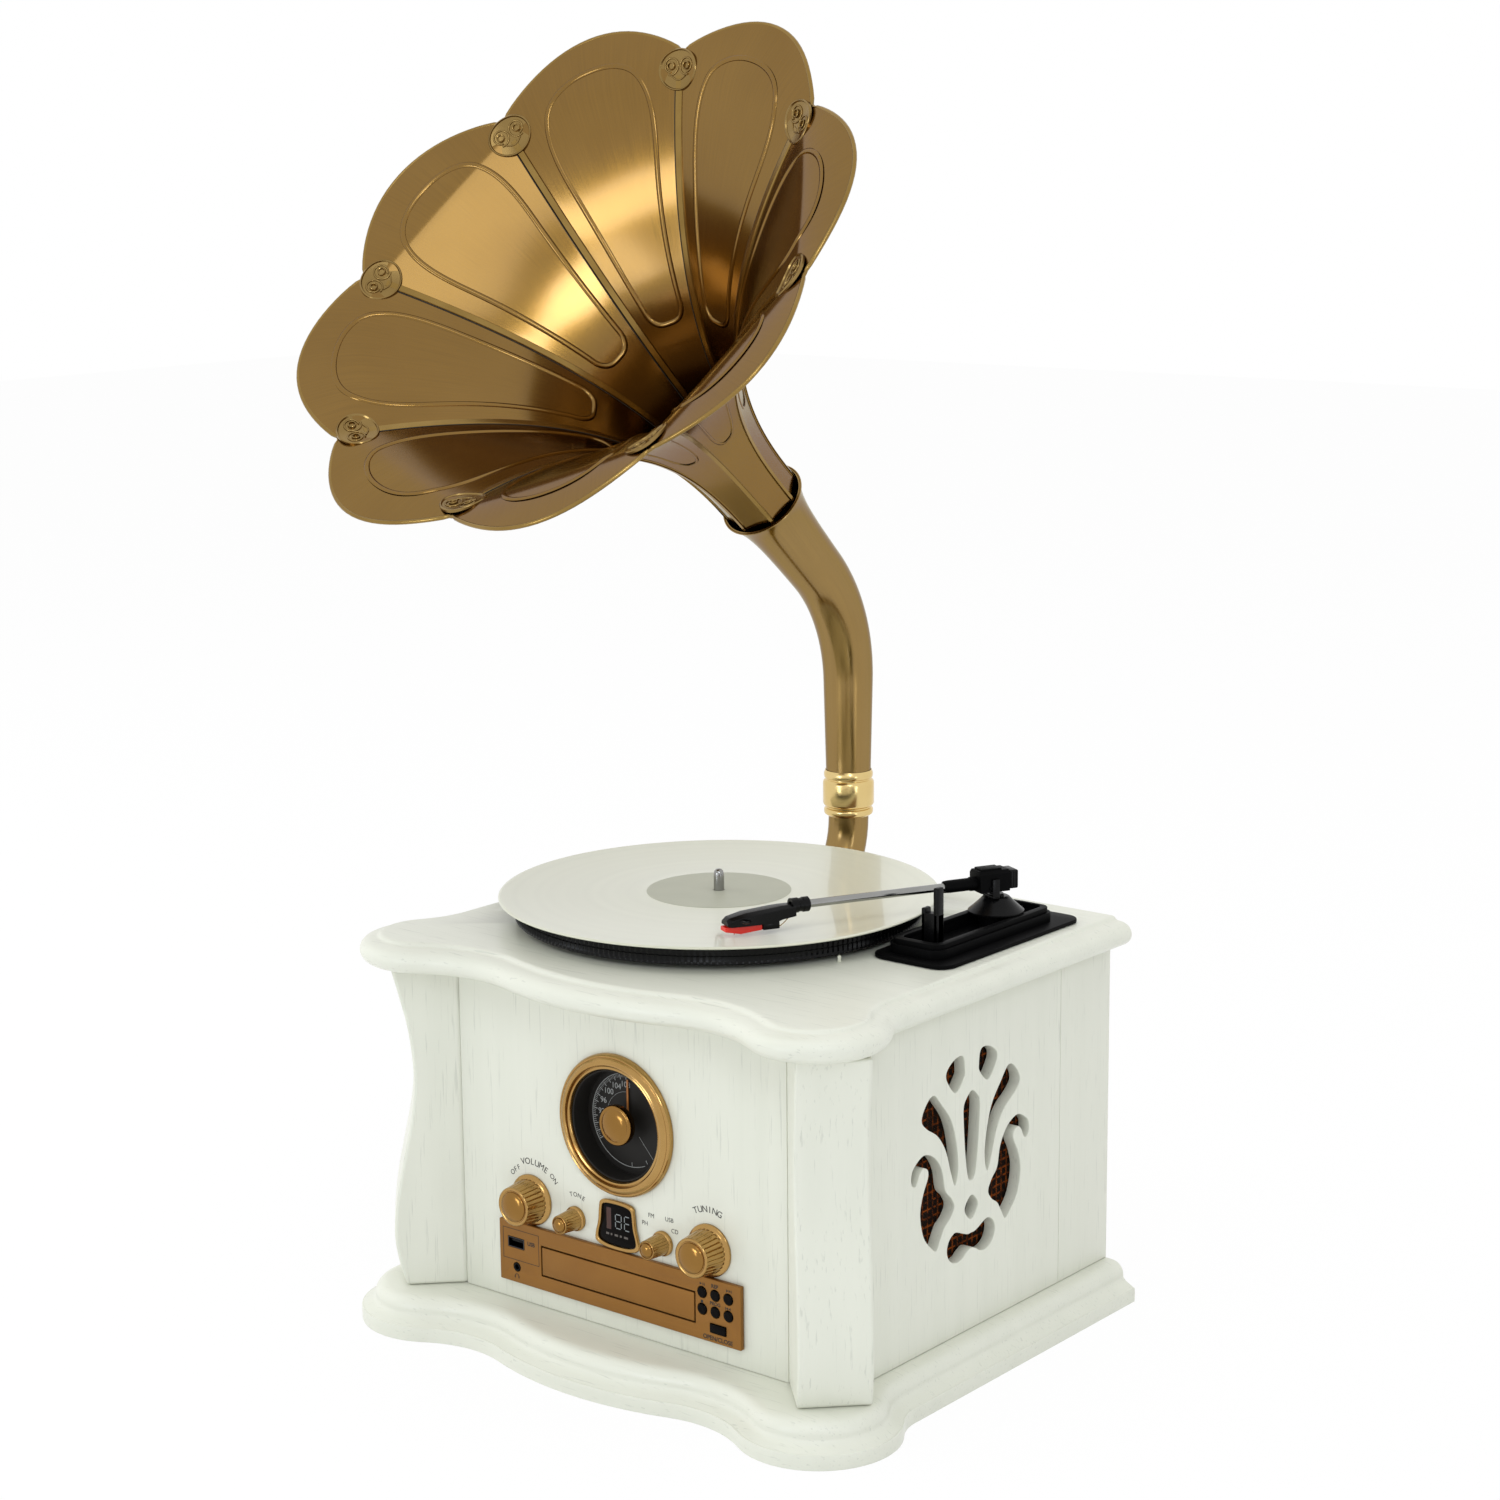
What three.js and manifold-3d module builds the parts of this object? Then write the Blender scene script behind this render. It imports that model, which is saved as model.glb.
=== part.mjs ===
// Retro record player: a painted wooden cabinet with a belt-driven turntable, a dial radio,
// a disc drawer and a petalled brass horn. Millimetres, +Z up, the front faces -Y.
// The origin is the middle of the cabinet's underside.
import * as THREE from 'three';
import { mergeVertices } from 'three/addons/utils/BufferGeometryUtils.js';
import Module from 'manifold-3d';

const wasm = await Module();
wasm.setup();

// Fits
const gap = 0.3;
const overrun = 2;
const weldDistance = 0.0001;

// Cabinet
const cabinetHalfWidth = 180;
const cabinetFront = 159;
const cabinetRear = 150;
const sideThickness = 9;
const frontThickness = 12;
const rearThickness = 9;
const postWidth = 38.8;
const postSideY = 130.3;
const postChamfer = 2;
const postSwell = 20.9;
const postSwellShares = [
  [0, 0.646], [0.071, 0.866], [0.168, 1], [0.296, 0.856], [0.42, 0.584],
  [0.549, 0.311], [0.668, 0.22], [0.801, 0.354], [0.898, 0.584], [1, 0.861],
];
const postRings = 12;

// Plan outline that the plinth and the top board share
const outlineOverhang = 23.8;
const bowFront = 211.2;
const bowRadius = 240;
const coveRadius = 77;
const coveInset = 82;
const lobeRadius = 54;
const lobeInset = 14;
const sideCoveRadius = 35;
const bowSteps = 4;
const coveSteps = 5;
const lobeSteps = 7;
const sideCoveSteps = 3;

// Plinth and floor of the cabinet
const plinthHeight = 27;
const plinthMoulding = 22;
const plinthRail = 20;
const plinthShares = [
  [0, 0], [0, 0.35], [0.16, 0.43], [0.38, 0.53], [0.436, 0.62],
  [0.436, 0.74], [0.52, 0.87], [0.74, 0.96], [1, 1],
];
const floorThickness = 9;

// Top board
const boardUnderside = 253;
const boardThickness = 21.3;
const boardInset = 7;
const boardLip = 17;
const boardShares = [
  [1, 0], [0.5, 0.11], [0.18, 0.26], [0, 0.45], [0, 0.62],
  [0.19, 0.775], [0.45, 0.84], [0.68, 0.873], [0.82, 1],
];

// Fretwork of the side panels: shares of its height, from its middle line and its foot
const fretHeight = 140;
const fretFoot = 77.5;
const fretMiddle = 14.5;
const fretPetalShares = [
  [0.057, 0.925], [0.068, 0.986], [0.104, 1], [0.161, 0.982],
  [0.204, 0.943], [0.193, 0.896], [0.129, 0.832], [0.064, 0.889],
];
const fretLeafShares = [
  [0.3, 0.861], [0.357, 0.836], [0.396, 0.768], [0.357, 0.718], [0.271, 0.661], [0.207, 0.575],
  [0.164, 0.454], [0.131, 0.385], [0.107, 0.461], [0.121, 0.582], [0.163, 0.704], [0.236, 0.796],
];
const fretStemShares = [
  [0, 0.811], [0.043, 0.782], [0.064, 0.746], [0.064, 0.682], [0.05, 0.518], [0.029, 0.4], [0, 0.375],
];
const fretVoluteShares = [
  [0.464, 0.471], [0.477, 0.511], [0.457, 0.556], [0.379, 0.596], [0.293, 0.561], [0.236, 0.482],
  [0.211, 0.382], [0.164, 0.332], [0.138, 0.282], [0.168, 0.236], [0.214, 0.204], [0.25, 0.15],
  [0.279, 0.109], [0.321, 0.136], [0.379, 0.204], [0.406, 0.314], [0.386, 0.404], [0.346, 0.481],
  [0.349, 0.521], [0.386, 0.536], [0.414, 0.511], [0.436, 0.471],
];
const fretBowShares = [
  [0, 0.116], [0.036, 0.118], [0.114, 0.149], [0.146, 0.148], [0.179, 0.125], [0.195, 0.086],
  [0.186, 0.046], [0.157, 0.016], [0.114, 0.002], [0.071, 0.009], [0.039, 0.029], [0, 0.042],
];
const fretSeedShares = [[0, 0.302], [0.054, 0.243], [0, 0.184]];
const clothThickness = 0.8;
const clothMargin = 6;

// Speakers behind the fretwork
const speakerRadius = 58;
const speakerCone = 45;
const speakerDepth = 42;
const speakerMagnet = 32;
const speakerCap = 11;
const speakerFlange = 2.2;
const speakerSides = 16;

// Rear panel fittings
const pipeInset = 73;
const pipeStandoff = 81;
const pipeRadius = 15.2;
const pipeWall = 1.5;
const pipeExitDrop = 31;
const pipeBend = 68;
const pipeStraight = 2;
const pipeSides = 16;
const wallFlangeRadius = 24;
const wallFlangeThickness = 4;
const wallFlangeNeck = 12;
const wallFlangeNeckWall = 2.6;
const inletInset = 62;
const inletZ = 62;
const inletWidth = 30;
const inletHeight = 24;
const inletBezel = 3;
const inletDepth = 16;
const inletSlotWidth = 18;
const inletSlotHeight = 12;

// Collar that joins the lower pipe to the elbow
const collarHeight = 35;
const collarRadius = 19.4;
const collarStep = 1.2;
const collarSeat = 19.7;
const collarLipWall = 0.6;
const collarPlay = 0.75;

// Elbow pipe
const elbowBend = 120;
const elbowSlope = THREE.MathUtils.degToRad(43);
const elbowRise = 156.4;
const elbowMouthRun = 84.9;
const elbowEndRadius = 16.65;
const elbowMouthRadius = 31.3;
const elbowSwell = 6.4;
const elbowFlareLength = 9;
const elbowSides = 16;

// Horn
const hornTilt = THREE.MathUtils.degToRad(40.6);
const hornTurn = THREE.MathUtils.degToRad(-0.5);
const hornRoll = THREE.MathUtils.degToRad(2.3);
const hornDepth = 253.5;
const hornInsert = 6;
const hornThroat = 28.6;
const hornTaper = 3.6;
const hornMouth = 182;
const hornFlarePower = 2.5;
const hornLip = 14;
const hornLipGain = 49;
const hornNotch = 4.5;
const hornSheet = 1.2;
const petalCrown = 2;
const petalCount = 8;
const petalSteps = 4;
const hornRings = 9;
const lipRings = 2;
const lobeFullness = 0.75;
const clipLength = 27;
const clipWidth = 20;
const clipThickness = 1.8;
const clipSink = 0.5;
const clipHalfSides = 5;
const rivetRadius = 2.6;
const rivetHeight = 1.1;
const rivetSides = 6;

// Dial
const dialZ = 169.5;
const dialRadius = 48.85;
const dialSleeve = 42.7;
const dialBore = 36.3;
const dialRingHeight = 6.5;
const dialRingShares = [[1, 0.45], [0.963, 0.85], [0.91, 1], [0.86, 0.92], [0.845, 0.68], [0.81, 0.68], [0.79, 0.4]];
const dialFaceDepth = 11.5;
const dialFaceThickness = 2.2;
const dialFaceRadius = 38.2;
const dialSides = 28;
const hubRadius = 11;
const hubHeight = 6.5;
const hubSet = 4.5;
const hubStem = 2.5;
const pointerLength = 28;
const pointerWidth = 1.6;
const pointerThickness = 1.2;
const pointerEye = 4.6;

// Knobs
const bigKnobX = 77.5;
const bigKnobZ = 101.5;
const smallKnobX = 38;
const smallKnobZ = 97;
const bigKnobFlange = 17.6;
const bigKnobRadius = 15;
const bigKnobNose = 13.3;
const bigKnobDepth = 21;
const bigKnobFlutes = 17;
const smallKnobFlange = 8.5;
const smallKnobRadius = 7.3;
const smallKnobNose = 6.4;
const smallKnobDepth = 18.5;
const smallKnobFlutes = 12;
const knobFlangeShare = 0.13;
const knobFluteShare = 0.07;
const knobShaft = 3;
const knobShaftLength = 22;
const shaftSides = 12;

// Display
const displayZ = 101;
const displayHalfWidth = 19;
const displayHeight = 34;
const displayRim = 2.6;
const displayRimHeight = 2.8;
const displayGlass = 1.4;
const displayShares = [
  [0, 1], [0.5, 0.985], [0.74, 0.93], [0.8, 0.8], [0.86, 0.5], [0.98, 0.25], [0.96, 0.1], [0.6, 0.02], [0, 0],
];
const displayWindowHalf = 12;
const displayPlay = 0.4;

// Disc drawer and its cover plate
const coverHalfWidth = 105.3;
const coverFoot = 40.7;
const coverHeight = 43;
const coverThickness = 3.4;
const coverSeat = 4.5;
const trayHalfWidth = 67.1;
const trayFoot = 50.9;
const trayHeight = 20.7;
const trayFrontThickness = 4.2;
const trayDepth = 130;
const trayBodyInset = 3;
const trayBodyFoot = 53.9;
const trayBodyHeight = 9;
const discRadius = 60.5;
const discRecess = 6;
const discSides = 32;
const drawerWall = 4;
const drawerRoof = 78;
const drawerLegFoot = 9.3;
const drawerClear = 12;

// Keys and front sockets
const keyRadius = 3.6;
const keyProud = 0.8;
const keyDepth = 6.1;
const keyFlange = 0.8;
const keyFlangeThickness = 1.6;
const keyFirstX = 73.3;
const keyPitch = 10.85;
const keyColumnCount = 3;
const keyTopZ = 73.1;
const keyRowPitch = 11.4;
const keyRowCount = 2;
const keySides = 12;
const openKeyX = 86.4;
const openKeyZ = 50.5;
const openKeyWidth = 13;
const openKeyHeight = 6;
const usbX = -90.3;
const usbZ = 68.8;
const usbWidth = 12.4;
const usbHeight = 5;
const usbWall = 1;
const usbDepth = 12;
const jackX = -90;
const jackZ = 51.7;
const jackRadius = 3;
const jackBore = 1.8;
const jackDepth = 12;
const jackSides = 12;

// Boards inside
const controlBoardY = 128;
const controlBoardThickness = 1.6;
const controlBoardHalfWidth = 92;
const controlBoardFoot = 86;
const controlBoardHeight = 104;
const potRadius = 8;
const bushRadius = 4.5;
const bushHole = 5.2;
const mainBoardWidth = 104;
const mainBoardDepth = 120;
const mainBoardHeight = 15;
const mainBoardThickness = 1.6;
const standoffRadius = 3;
const standoffInset = 6;
const heatSinkFins = 5;
const heatSinkLength = 60;
const heatSinkHeight = 18;
const heatSinkFin = 1.5;
const heatSinkPitch = 5;

// Turntable
const spindleX = -33;
const spindleY = -13;
const chassisRadius = 128;
const chassisThickness = 2.4;
const chassisSides = 32;
const bearingRadius = 9;
const bearingTop = 281;
const bearingDepth = 24;
const spindleRadius = 3.6;
const spindleTop = 307.8;
const spindleTip = 2.4;
const platterRadius = 140;
const platterFoot = 278;
const platterTop = 290.5;
const platterWall = 3;
const platterLip = 2;
const platterRing = 63;
const platterRingWall = 3;
const platterSides = 40;
const recordRadius = 151;
const recordThickness = 2;
const recordBead = 3;
const recordBeadHeight = 0.3;
const labelRadius = 50;
const motorDistance = 100;
const motorBearing = THREE.MathUtils.degToRad(127);
const motorRadius = 19;
const motorHeight = 34;
const motorHole = 21;
const motorShaft = 1;
const motorSides = 16;
const pulleyRadius = 6;
const pulleyRim = 1.2;
const pulleyTop = 286.4;
const beltThickness = 0.8;
const beltHeight = 4;
const beltFoot = 280.9;
const beltSteps = 20;

// Tonearm base
const armClearance = 32;
const armY = 71;
const baseFlangeHalfWidth = 31;
const baseFlangeHalfLength = 81;
const baseFlangeCorner = 12;
const baseFlangeOffset = 4;
const baseMiddleY = 44;
const baseFlangeHeight = 2.7;
const baseWallHalfWidth = 22;
const baseWallHalfLength = 68;
const baseWallCorner = 10;
const baseWallOffset = 2;
const baseWallMiddleY = 40;
const baseWallTop = 287;
const baseWellHalfWidth = 14.5;
const baseWellHalfLength = 61.5;
const baseWellCorner = 5;
const baseWellMiddleY = 41.5;
const baseWellFloor = 278;
const baseCornerSteps = 4;
const turretRadius = 19;
const turretSpigot = 12.1;
const turretSkirt = 1.2;
const turretTop = 298;
const turretNose = 6.4;
const turretBoreDepth = 14;
const turretSides = 24;
const restY = -2.5;
const restProngGap = 6.4;
const restInnerTop = 304.4;
const restOuterTop = 319;
const restInnerWidth = 3;
const restOuterWidth = 4;
const restLength = 7;
const restFoot = 3;

// Tonearm
const armTurn = THREE.MathUtils.degToRad(-27);
const liftForward = 5;
const liftZ = 308;
const yokePin = 3;
const yokePinLength = 11;
const yokeDisc = 5.4;
const yokeDiscThickness = 1.5;
const yokeCheek = 1.5;
const yokeCheekWidth = 5.5;
const yokeCheekTop = 311.5;
const yokeTrunnion = 1.5;
const blockHalfWidth = 8;
const blockForward = 16;
const blockBack = 6.5;
const blockFoot = 302.5;
const blockTop = 317;
const blockChamfer = 2.2;
const sleeveRadius = 4.8;
const sleeveLength = 23.5;
const tubeRadius = 2.7;
const tubeStart = 22;
const tubeEnd = 146;
const collarStart = 139;
const collarEnd = 150;
const shellEnd = 196;
const shellHalfWidth = 7.5;
const shellNoseShare = 0.62;
const shellFoot = 299.5;
const shellTop = 308.5;
const shellCollarRadius = 5;
const styliStart = 176;
const stylusReach = 192;
const stylusNose = 199;
const cartridgeHalfWidth = 5;
const cartridgeFoot = 296.3;
const stylusTip = 293.1;
const needleHalfWidth = 0.8;
const weightLength = 6.5;
const weightHalfWidth = 7;
const weightFoot = 303.2;
const weightTop = 316;
const roundSides = 12;

// Derived places
const postFrontX = cabinetHalfWidth - postWidth;
const outlineHalfWidth = cabinetHalfWidth + outlineOverhang;
const coveX = cabinetHalfWidth - coveInset;
const lobeX = cabinetHalfWidth - lobeInset;
const pipeX = pipeInset - cabinetHalfWidth;
const pipeY = cabinetRear + pipeStandoff;
const pipeExitHeight = boardUnderside - pipeExitDrop;
const collarFoot = pipeExitHeight + pipeBend + pipeStraight;
const elbowCorner = collarFoot + elbowRise;
const inletX = cabinetHalfWidth - inletInset;
const armX = spindleX + platterRadius + armClearance;
const baseMiddleX = armX + baseFlangeOffset;
const baseWallMiddleX = armX + baseWallOffset;
const keyColumns = Array.from({ length: keyColumnCount }, (_, i) => keyFirstX + i * keyPitch);
const keyRows = Array.from({ length: keyRowCount }, (_, i) => keyTopZ - i * keyRowPitch);
const boardTop = boardUnderside + boardThickness;
const panelFoot = plinthHeight + gap;
const panelTop = boardUnderside - gap;
const innerHalfWidth = cabinetHalfWidth - sideThickness;
const quarterTurn = Math.PI / 2;
const fullTurn = Math.PI * 2;

// Finishes
const finish = (color, roughness, metalness = 0) => new THREE.MeshStandardMaterial({ color, roughness, metalness });
const paintedWood = finish(0xe4e6dc, 0.5);
const brass = finish(0xa8813f, 0.32, 1);
const goldPlastic = finish(0xb07a35, 0.4, 0.7);
const blackPlastic = finish(0x141414, 0.42);
const darkGlass = finish(0x0a0a0c, 0.1);
const steel = finish(0xb9bcbf, 0.25, 1);
const vinyl = finish(0xe6e6dc, 0.25);
const clothFibre = finish(0x4a2412, 0.9);
const board = finish(0x9b7a50, 0.8);
const laminate = finish(0x1f5a34, 0.6);
const rubber = finish(0x1a1a1a, 0.9);
const redPlastic = finish(0xd8231a, 0.35);

// Geometry helpers
function volumeOf(position, index) {
  const [a, b, c] = [new THREE.Vector3(), new THREE.Vector3(), new THREE.Vector3()];
  let sixfold = 0;
  for (let i = 0; i < index.length; i += 3) {
    a.fromBufferAttribute(position, index[i]);
    b.fromBufferAttribute(position, index[i + 1]);
    c.fromBufferAttribute(position, index[i + 2]);
    sixfold += a.dot(b.cross(c));
  }
  return sixfold / 6;
}

// Merges shared corners, drops collapsed triangles and turns the faces outwards.
function closed(geometry) {
  const bare = new THREE.BufferGeometry();
  bare.setAttribute('position', geometry.getAttribute('position'));
  bare.setIndex(geometry.getIndex());
  const merged = mergeVertices(bare, weldDistance);
  const index = merged.getIndex().array;
  const kept = [];
  for (let i = 0; i < index.length; i += 3) {
    const [a, b, c] = [index[i], index[i + 1], index[i + 2]];
    if (a !== b && b !== c && c !== a) kept.push(a, b, c);
  }
  if (volumeOf(merged.getAttribute('position'), kept) < 0) kept.reverse();
  merged.setIndex(kept);
  return merged;
}

function solidOf(geometry) {
  const shape = closed(geometry);
  return new wasm.Manifold(new wasm.Mesh({
    numProp: 3,
    vertProperties: new Float32Array(shape.getAttribute('position').array),
    triVerts: new Uint32Array(shape.getIndex().array),
  }));
}

function geometryOf(solid) {
  const mesh = solid.getMesh();
  const geometry = new THREE.BufferGeometry();
  geometry.setAttribute('position', new THREE.BufferAttribute(new Float32Array(mesh.vertProperties), 3));
  geometry.setIndex(new THREE.BufferAttribute(new Uint32Array(mesh.triVerts), 1));
  return geometry;
}

function join(...geometries) {
  const solids = geometries.map(solidOf);
  return geometryOf(solids.reduce((whole, next) => whole.add(next)));
}

function cut(geometry, ...tools) {
  const solids = tools.map(solidOf);
  return geometryOf(solids.reduce((whole, tool) => whole.subtract(tool), solidOf(geometry)));
}

function moved(geometry, x, y, z) {
  return geometry.clone().translate(x, y, z);
}

// A closed profile of [radius, height] pairs turned about the Z axis.
function turned(profile, sides) {
  const points = profile.map(([radius, height]) => new THREE.Vector2(radius, height));
  const onAxis = profile[0][0] === 0 && profile[profile.length - 1][0] === 0;
  if (!onAxis) points.push(points[0].clone());
  return closed(new THREE.LatheGeometry(points, sides).rotateX(quarterTurn));
}

function disc(radius, foot, top, sides) {
  return turned([[0, foot], [radius, foot], [radius, top], [0, top]], sides);
}

function block(width, depth, height) {
  return new THREE.BoxGeometry(width, depth, height);
}

function boxBetween(x0, x1, y0, y1, z0, z1) {
  return moved(block(x1 - x0, y1 - y0, z1 - z0), (x0 + x1) / 2, (y0 + y1) / 2, (z0 + z1) / 2);
}

// A flat plate with holes: the outline lies in XY and the thickness runs along +Z.
function plate(outline, thickness, holes = []) {
  const shape = new THREE.Shape(THREE.ShapeUtils.isClockWise(outline) ? outline.slice().reverse() : outline);
  shape.holes = holes.map((hole) => new THREE.Path(hole));
  return closed(new THREE.ExtrudeGeometry(shape, { depth: thickness, bevelEnabled: false }));
}

function rectangle(x0, x1, y0, y1) {
  return [[x0, y0], [x1, y0], [x1, y1], [x0, y1]].map(([x, y]) => new THREE.Vector2(x, y));
}

function circle(radius, sides, x = 0, y = 0) {
  const at = (i) => (i / sides) * fullTurn;
  return Array.from({ length: sides }, (_, i) => new THREE.Vector2(x + radius * Math.cos(at(i)), y + radius * Math.sin(at(i))));
}

function roundedRectangle(halfWidth, halfHeight, radius, steps, x = 0, y = 0) {
  const points = [];
  for (const [sx, sy, start] of [[1, 1, 0], [-1, 1, 1], [-1, -1, 2], [1, -1, 3]]) {
    for (let i = 0; i <= steps; i += 1) {
      const angle = (start + i / steps) * quarterTurn;
      const cx = x + sx * (halfWidth - radius);
      const cy = y + sy * (halfHeight - radius);
      points.push(new THREE.Vector2(cx + radius * Math.cos(angle), cy + radius * Math.sin(angle)));
    }
  }
  return points;
}

function splineLoop(points, samples) {
  const curve = new THREE.CatmullRomCurve3(points.map((p) => new THREE.Vector3(p.x, p.y, 0)), true, 'centripetal');
  return curve.getPoints(samples).slice(0, -1).map((p) => new THREE.Vector2(p.x, p.y));
}

// Triangles of a flat end whose corners start at a given index, wound to suit its ring.
function endCap(ring, first, isBottom) {
  const flat = ring.map((p) => new THREE.Vector2(p.x, p.y));
  const backwards = isBottom !== THREE.ShapeUtils.isClockWise(flat);
  return THREE.ShapeUtils.triangulateShape(flat, []).flatMap(([a, b, c]) => (
    backwards ? [first + c, first + b, first + a] : [first + a, first + b, first + c]
  ));
}

// Skins a stack of rings. A wrapped stack closes on its first ring, an open one gets flat ends.
function skinned(rings, wrapped) {
  const columns = rings[0].length;
  const rows = wrapped ? rings.length : rings.length - 1;
  const index = [];
  for (let row = 0; row < rows; row += 1) {
    const next = (row + 1) % rings.length;
    for (let column = 0; column < columns; column += 1) {
      const beside = (column + 1) % columns;
      const [a, b] = [row * columns + column, row * columns + beside];
      const [c, d] = [next * columns + column, next * columns + beside];
      index.push(a, b, d, a, d, c);
    }
  }
  if (!wrapped) {
    index.push(...endCap(rings[0], 0, true));
    index.push(...endCap(rings[rings.length - 1], (rings.length - 1) * columns, false));
  }
  const geometry = new THREE.BufferGeometry();
  const corners = rings.flat().flatMap((p) => [p.x, p.y, p.z]);
  geometry.setAttribute('position', new THREE.Float32BufferAttribute(corners, 3));
  geometry.setIndex(index);
  return closed(geometry);
}

function shellOf(outer, inner) {
  return skinned([...outer, ...inner.slice().reverse()], true);
}

// Turns a piece drawn with its front towards +Z so that it faces the cabinet's front.
function facingFront(geometry) {
  return geometry.clone().rotateX(quarterTurn);
}

// Carries a plate drawn in XY into the YZ plane, with its thickness along +X.
function facingSide(geometry) {
  const turn = new THREE.Matrix4().makeBasis(
    new THREE.Vector3(0, 1, 0),
    new THREE.Vector3(0, 0, 1),
    new THREE.Vector3(1, 0, 0),
  );
  return geometry.clone().applyMatrix4(turn);
}

// Scene graph
const player = new THREE.Group();
const hornGroup = new THREE.Group();
const armGroup = new THREE.Group();
hornGroup.position.set(pipeX, pipeY, 0);
hornGroup.rotation.z = hornTurn;
armGroup.position.set(armX, armY, 0);
armGroup.rotation.z = armTurn;
player.add(hornGroup, armGroup);

function add(name, geometry, material, parent = player, place = [0, 0, 0]) {
  const mesh = new THREE.Mesh(closed(geometry), material);
  mesh.name = name;
  mesh.position.set(...place);
  parent.add(mesh);
  return mesh;
}

// Plan outline: straight sides, hollow, lobe, cove and a bowed front, drawn in by an inset.
function arcPoints(cx, cy, radius, start, end, steps) {
  const points = [];
  for (let i = 1; i <= steps; i += 1) {
    const angle = start + (end - start) * (i / steps);
    points.push([cx + radius * Math.cos(angle), cy + radius * Math.sin(angle)]);
  }
  return points;
}

function outlineCentres() {
  const bowY = bowRadius - bowFront;
  const coveY = bowY - Math.sqrt((bowRadius + coveRadius) ** 2 - coveX ** 2);
  const lobeY = coveY + Math.sqrt((coveRadius + lobeRadius) ** 2 - (lobeX - coveX) ** 2);
  const sideCoveX = outlineHalfWidth + sideCoveRadius;
  const sideCoveY = lobeY + Math.sqrt((lobeRadius + sideCoveRadius) ** 2 - (sideCoveX - lobeX) ** 2);
  return { bowY, coveY, lobeY, sideCoveX, sideCoveY };
}

function planOutline(inset) {
  const { bowY, coveY, lobeY, sideCoveX, sideCoveY } = outlineCentres();
  const lobeToSide = Math.atan2(sideCoveY - lobeY, sideCoveX - lobeX);
  const lobeToCove = Math.atan2(coveY - lobeY, coveX - lobeX);
  const coveToBow = Math.atan2(bowY - coveY, -coveX);
  const half = [[outlineHalfWidth - inset, cabinetRear], [outlineHalfWidth - inset, sideCoveY]];
  half.push(...arcPoints(sideCoveX, sideCoveY, sideCoveRadius + inset, Math.PI, Math.PI + lobeToSide, sideCoveSteps));
  half.push(...arcPoints(lobeX, lobeY, lobeRadius - inset, lobeToSide, lobeToCove, lobeSteps));
  half.push(...arcPoints(coveX, coveY, coveRadius + inset, lobeToCove + Math.PI, coveToBow, coveSteps));
  half.push(...arcPoints(0, bowY, bowRadius - inset, coveToBow - Math.PI, -quarterTurn, bowSteps));
  const mirrored = half.slice(0, -1).reverse().map(([x, y]) => [-x, y]);
  return [...half, ...mirrored];
}

function mouldedSlab(shares, width, foot, height, inset) {
  const ring = ([insetShare, heightShare]) => {
    const z = foot + heightShare * height;
    return planOutline(inset + insetShare * width).map(([x, y]) => new THREE.Vector3(x, y, z));
  };
  return skinned(shares.map(ring), false);
}

function buildPlinth() {
  const opening = boxBetween(
    -cabinetHalfWidth + plinthRail, cabinetHalfWidth - plinthRail,
    -cabinetFront + plinthRail, cabinetRear - plinthRail, -overrun, plinthHeight + overrun,
  );
  add('plinth', cut(mouldedSlab(plinthShares, plinthMoulding, 0, plinthHeight, 0), opening), paintedWood);
  const floor = boxBetween(
    -cabinetHalfWidth + plinthRail + gap, cabinetHalfWidth - plinthRail - gap,
    -cabinetFront + plinthRail + gap, cabinetRear - plinthRail - gap, 0, floorThickness,
  );
  add('bottom_board', floor, board);
}

function motorPlace() {
  return [spindleX + motorDistance * Math.cos(motorBearing), spindleY + motorDistance * Math.sin(motorBearing)];
}

function buildTopBoard() {
  const [motorX, motorY] = motorPlace();
  const below = boardUnderside - overrun;
  const above = boardTop + overrun;
  const slab = mouldedSlab(boardShares, boardLip, boardUnderside, boardThickness, boardInset);
  const bearingHole = moved(disc(bearingRadius + overrun, below, above, roundSides), spindleX, spindleY, 0);
  const motorOpening = moved(disc(motorHole, below, above, motorSides), motorX, motorY, 0);
  add('top_board', cut(slab, bearingHole, motorOpening), paintedWood);
}

// Corner post: a diagonal block whose face swells and draws in as an ogee.
function postSwellAt(share) {
  const points = postSwellShares.map(([height, swell]) => new THREE.Vector2(height, swell));
  return new THREE.SplineCurve(points).getPoint(share);
}

function postRing(share) {
  const { x: heightShare, y: swellShare } = postSwellAt(share);
  const z = panelFoot + heightShare * (panelTop - panelFoot);
  const reach = postSwell * swellShare;
  const faceSum = cabinetHalfWidth + cabinetFront + reach * Math.SQRT2;
  const outward = (x, y, back = 0) => {
    const run = (faceSum - (x + y)) / 2 - back;
    return [x + run, y + run];
  };
  const step = postChamfer / Math.SQRT2;
  const [ax, ay] = outward(postFrontX, cabinetFront);
  const [aBackX, aBackY] = outward(postFrontX, cabinetFront, step);
  const [bx, by] = outward(cabinetHalfWidth, postSideY);
  const [bBackX, bBackY] = outward(cabinetHalfWidth, postSideY, step);
  const corners = [
    [postFrontX, cabinetFront], [aBackX, aBackY], [ax + step, ay - step], [bx - step, by + step], [bBackX, bBackY],
    [cabinetHalfWidth, postSideY], [innerHalfWidth, postSideY],
    [innerHalfWidth, cabinetFront - frontThickness], [postFrontX, cabinetFront - frontThickness],
  ];
  return corners.map(([x, y]) => new THREE.Vector3(x, -y, z));
}

function buildPosts() {
  const rings = Array.from({ length: postRings }, (_, i) => postRing(i / (postRings - 1)));
  const right = skinned(rings, false);
  add('corner_post_right', right, paintedWood);
  add('corner_post_left', right.clone().scale(-1, 1, 1), paintedWood);
}

// Fretwork
function fretPoint([across, up], side) {
  return new THREE.Vector2(side * across * fretHeight - fretMiddle, fretFoot + up * fretHeight);
}

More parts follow.
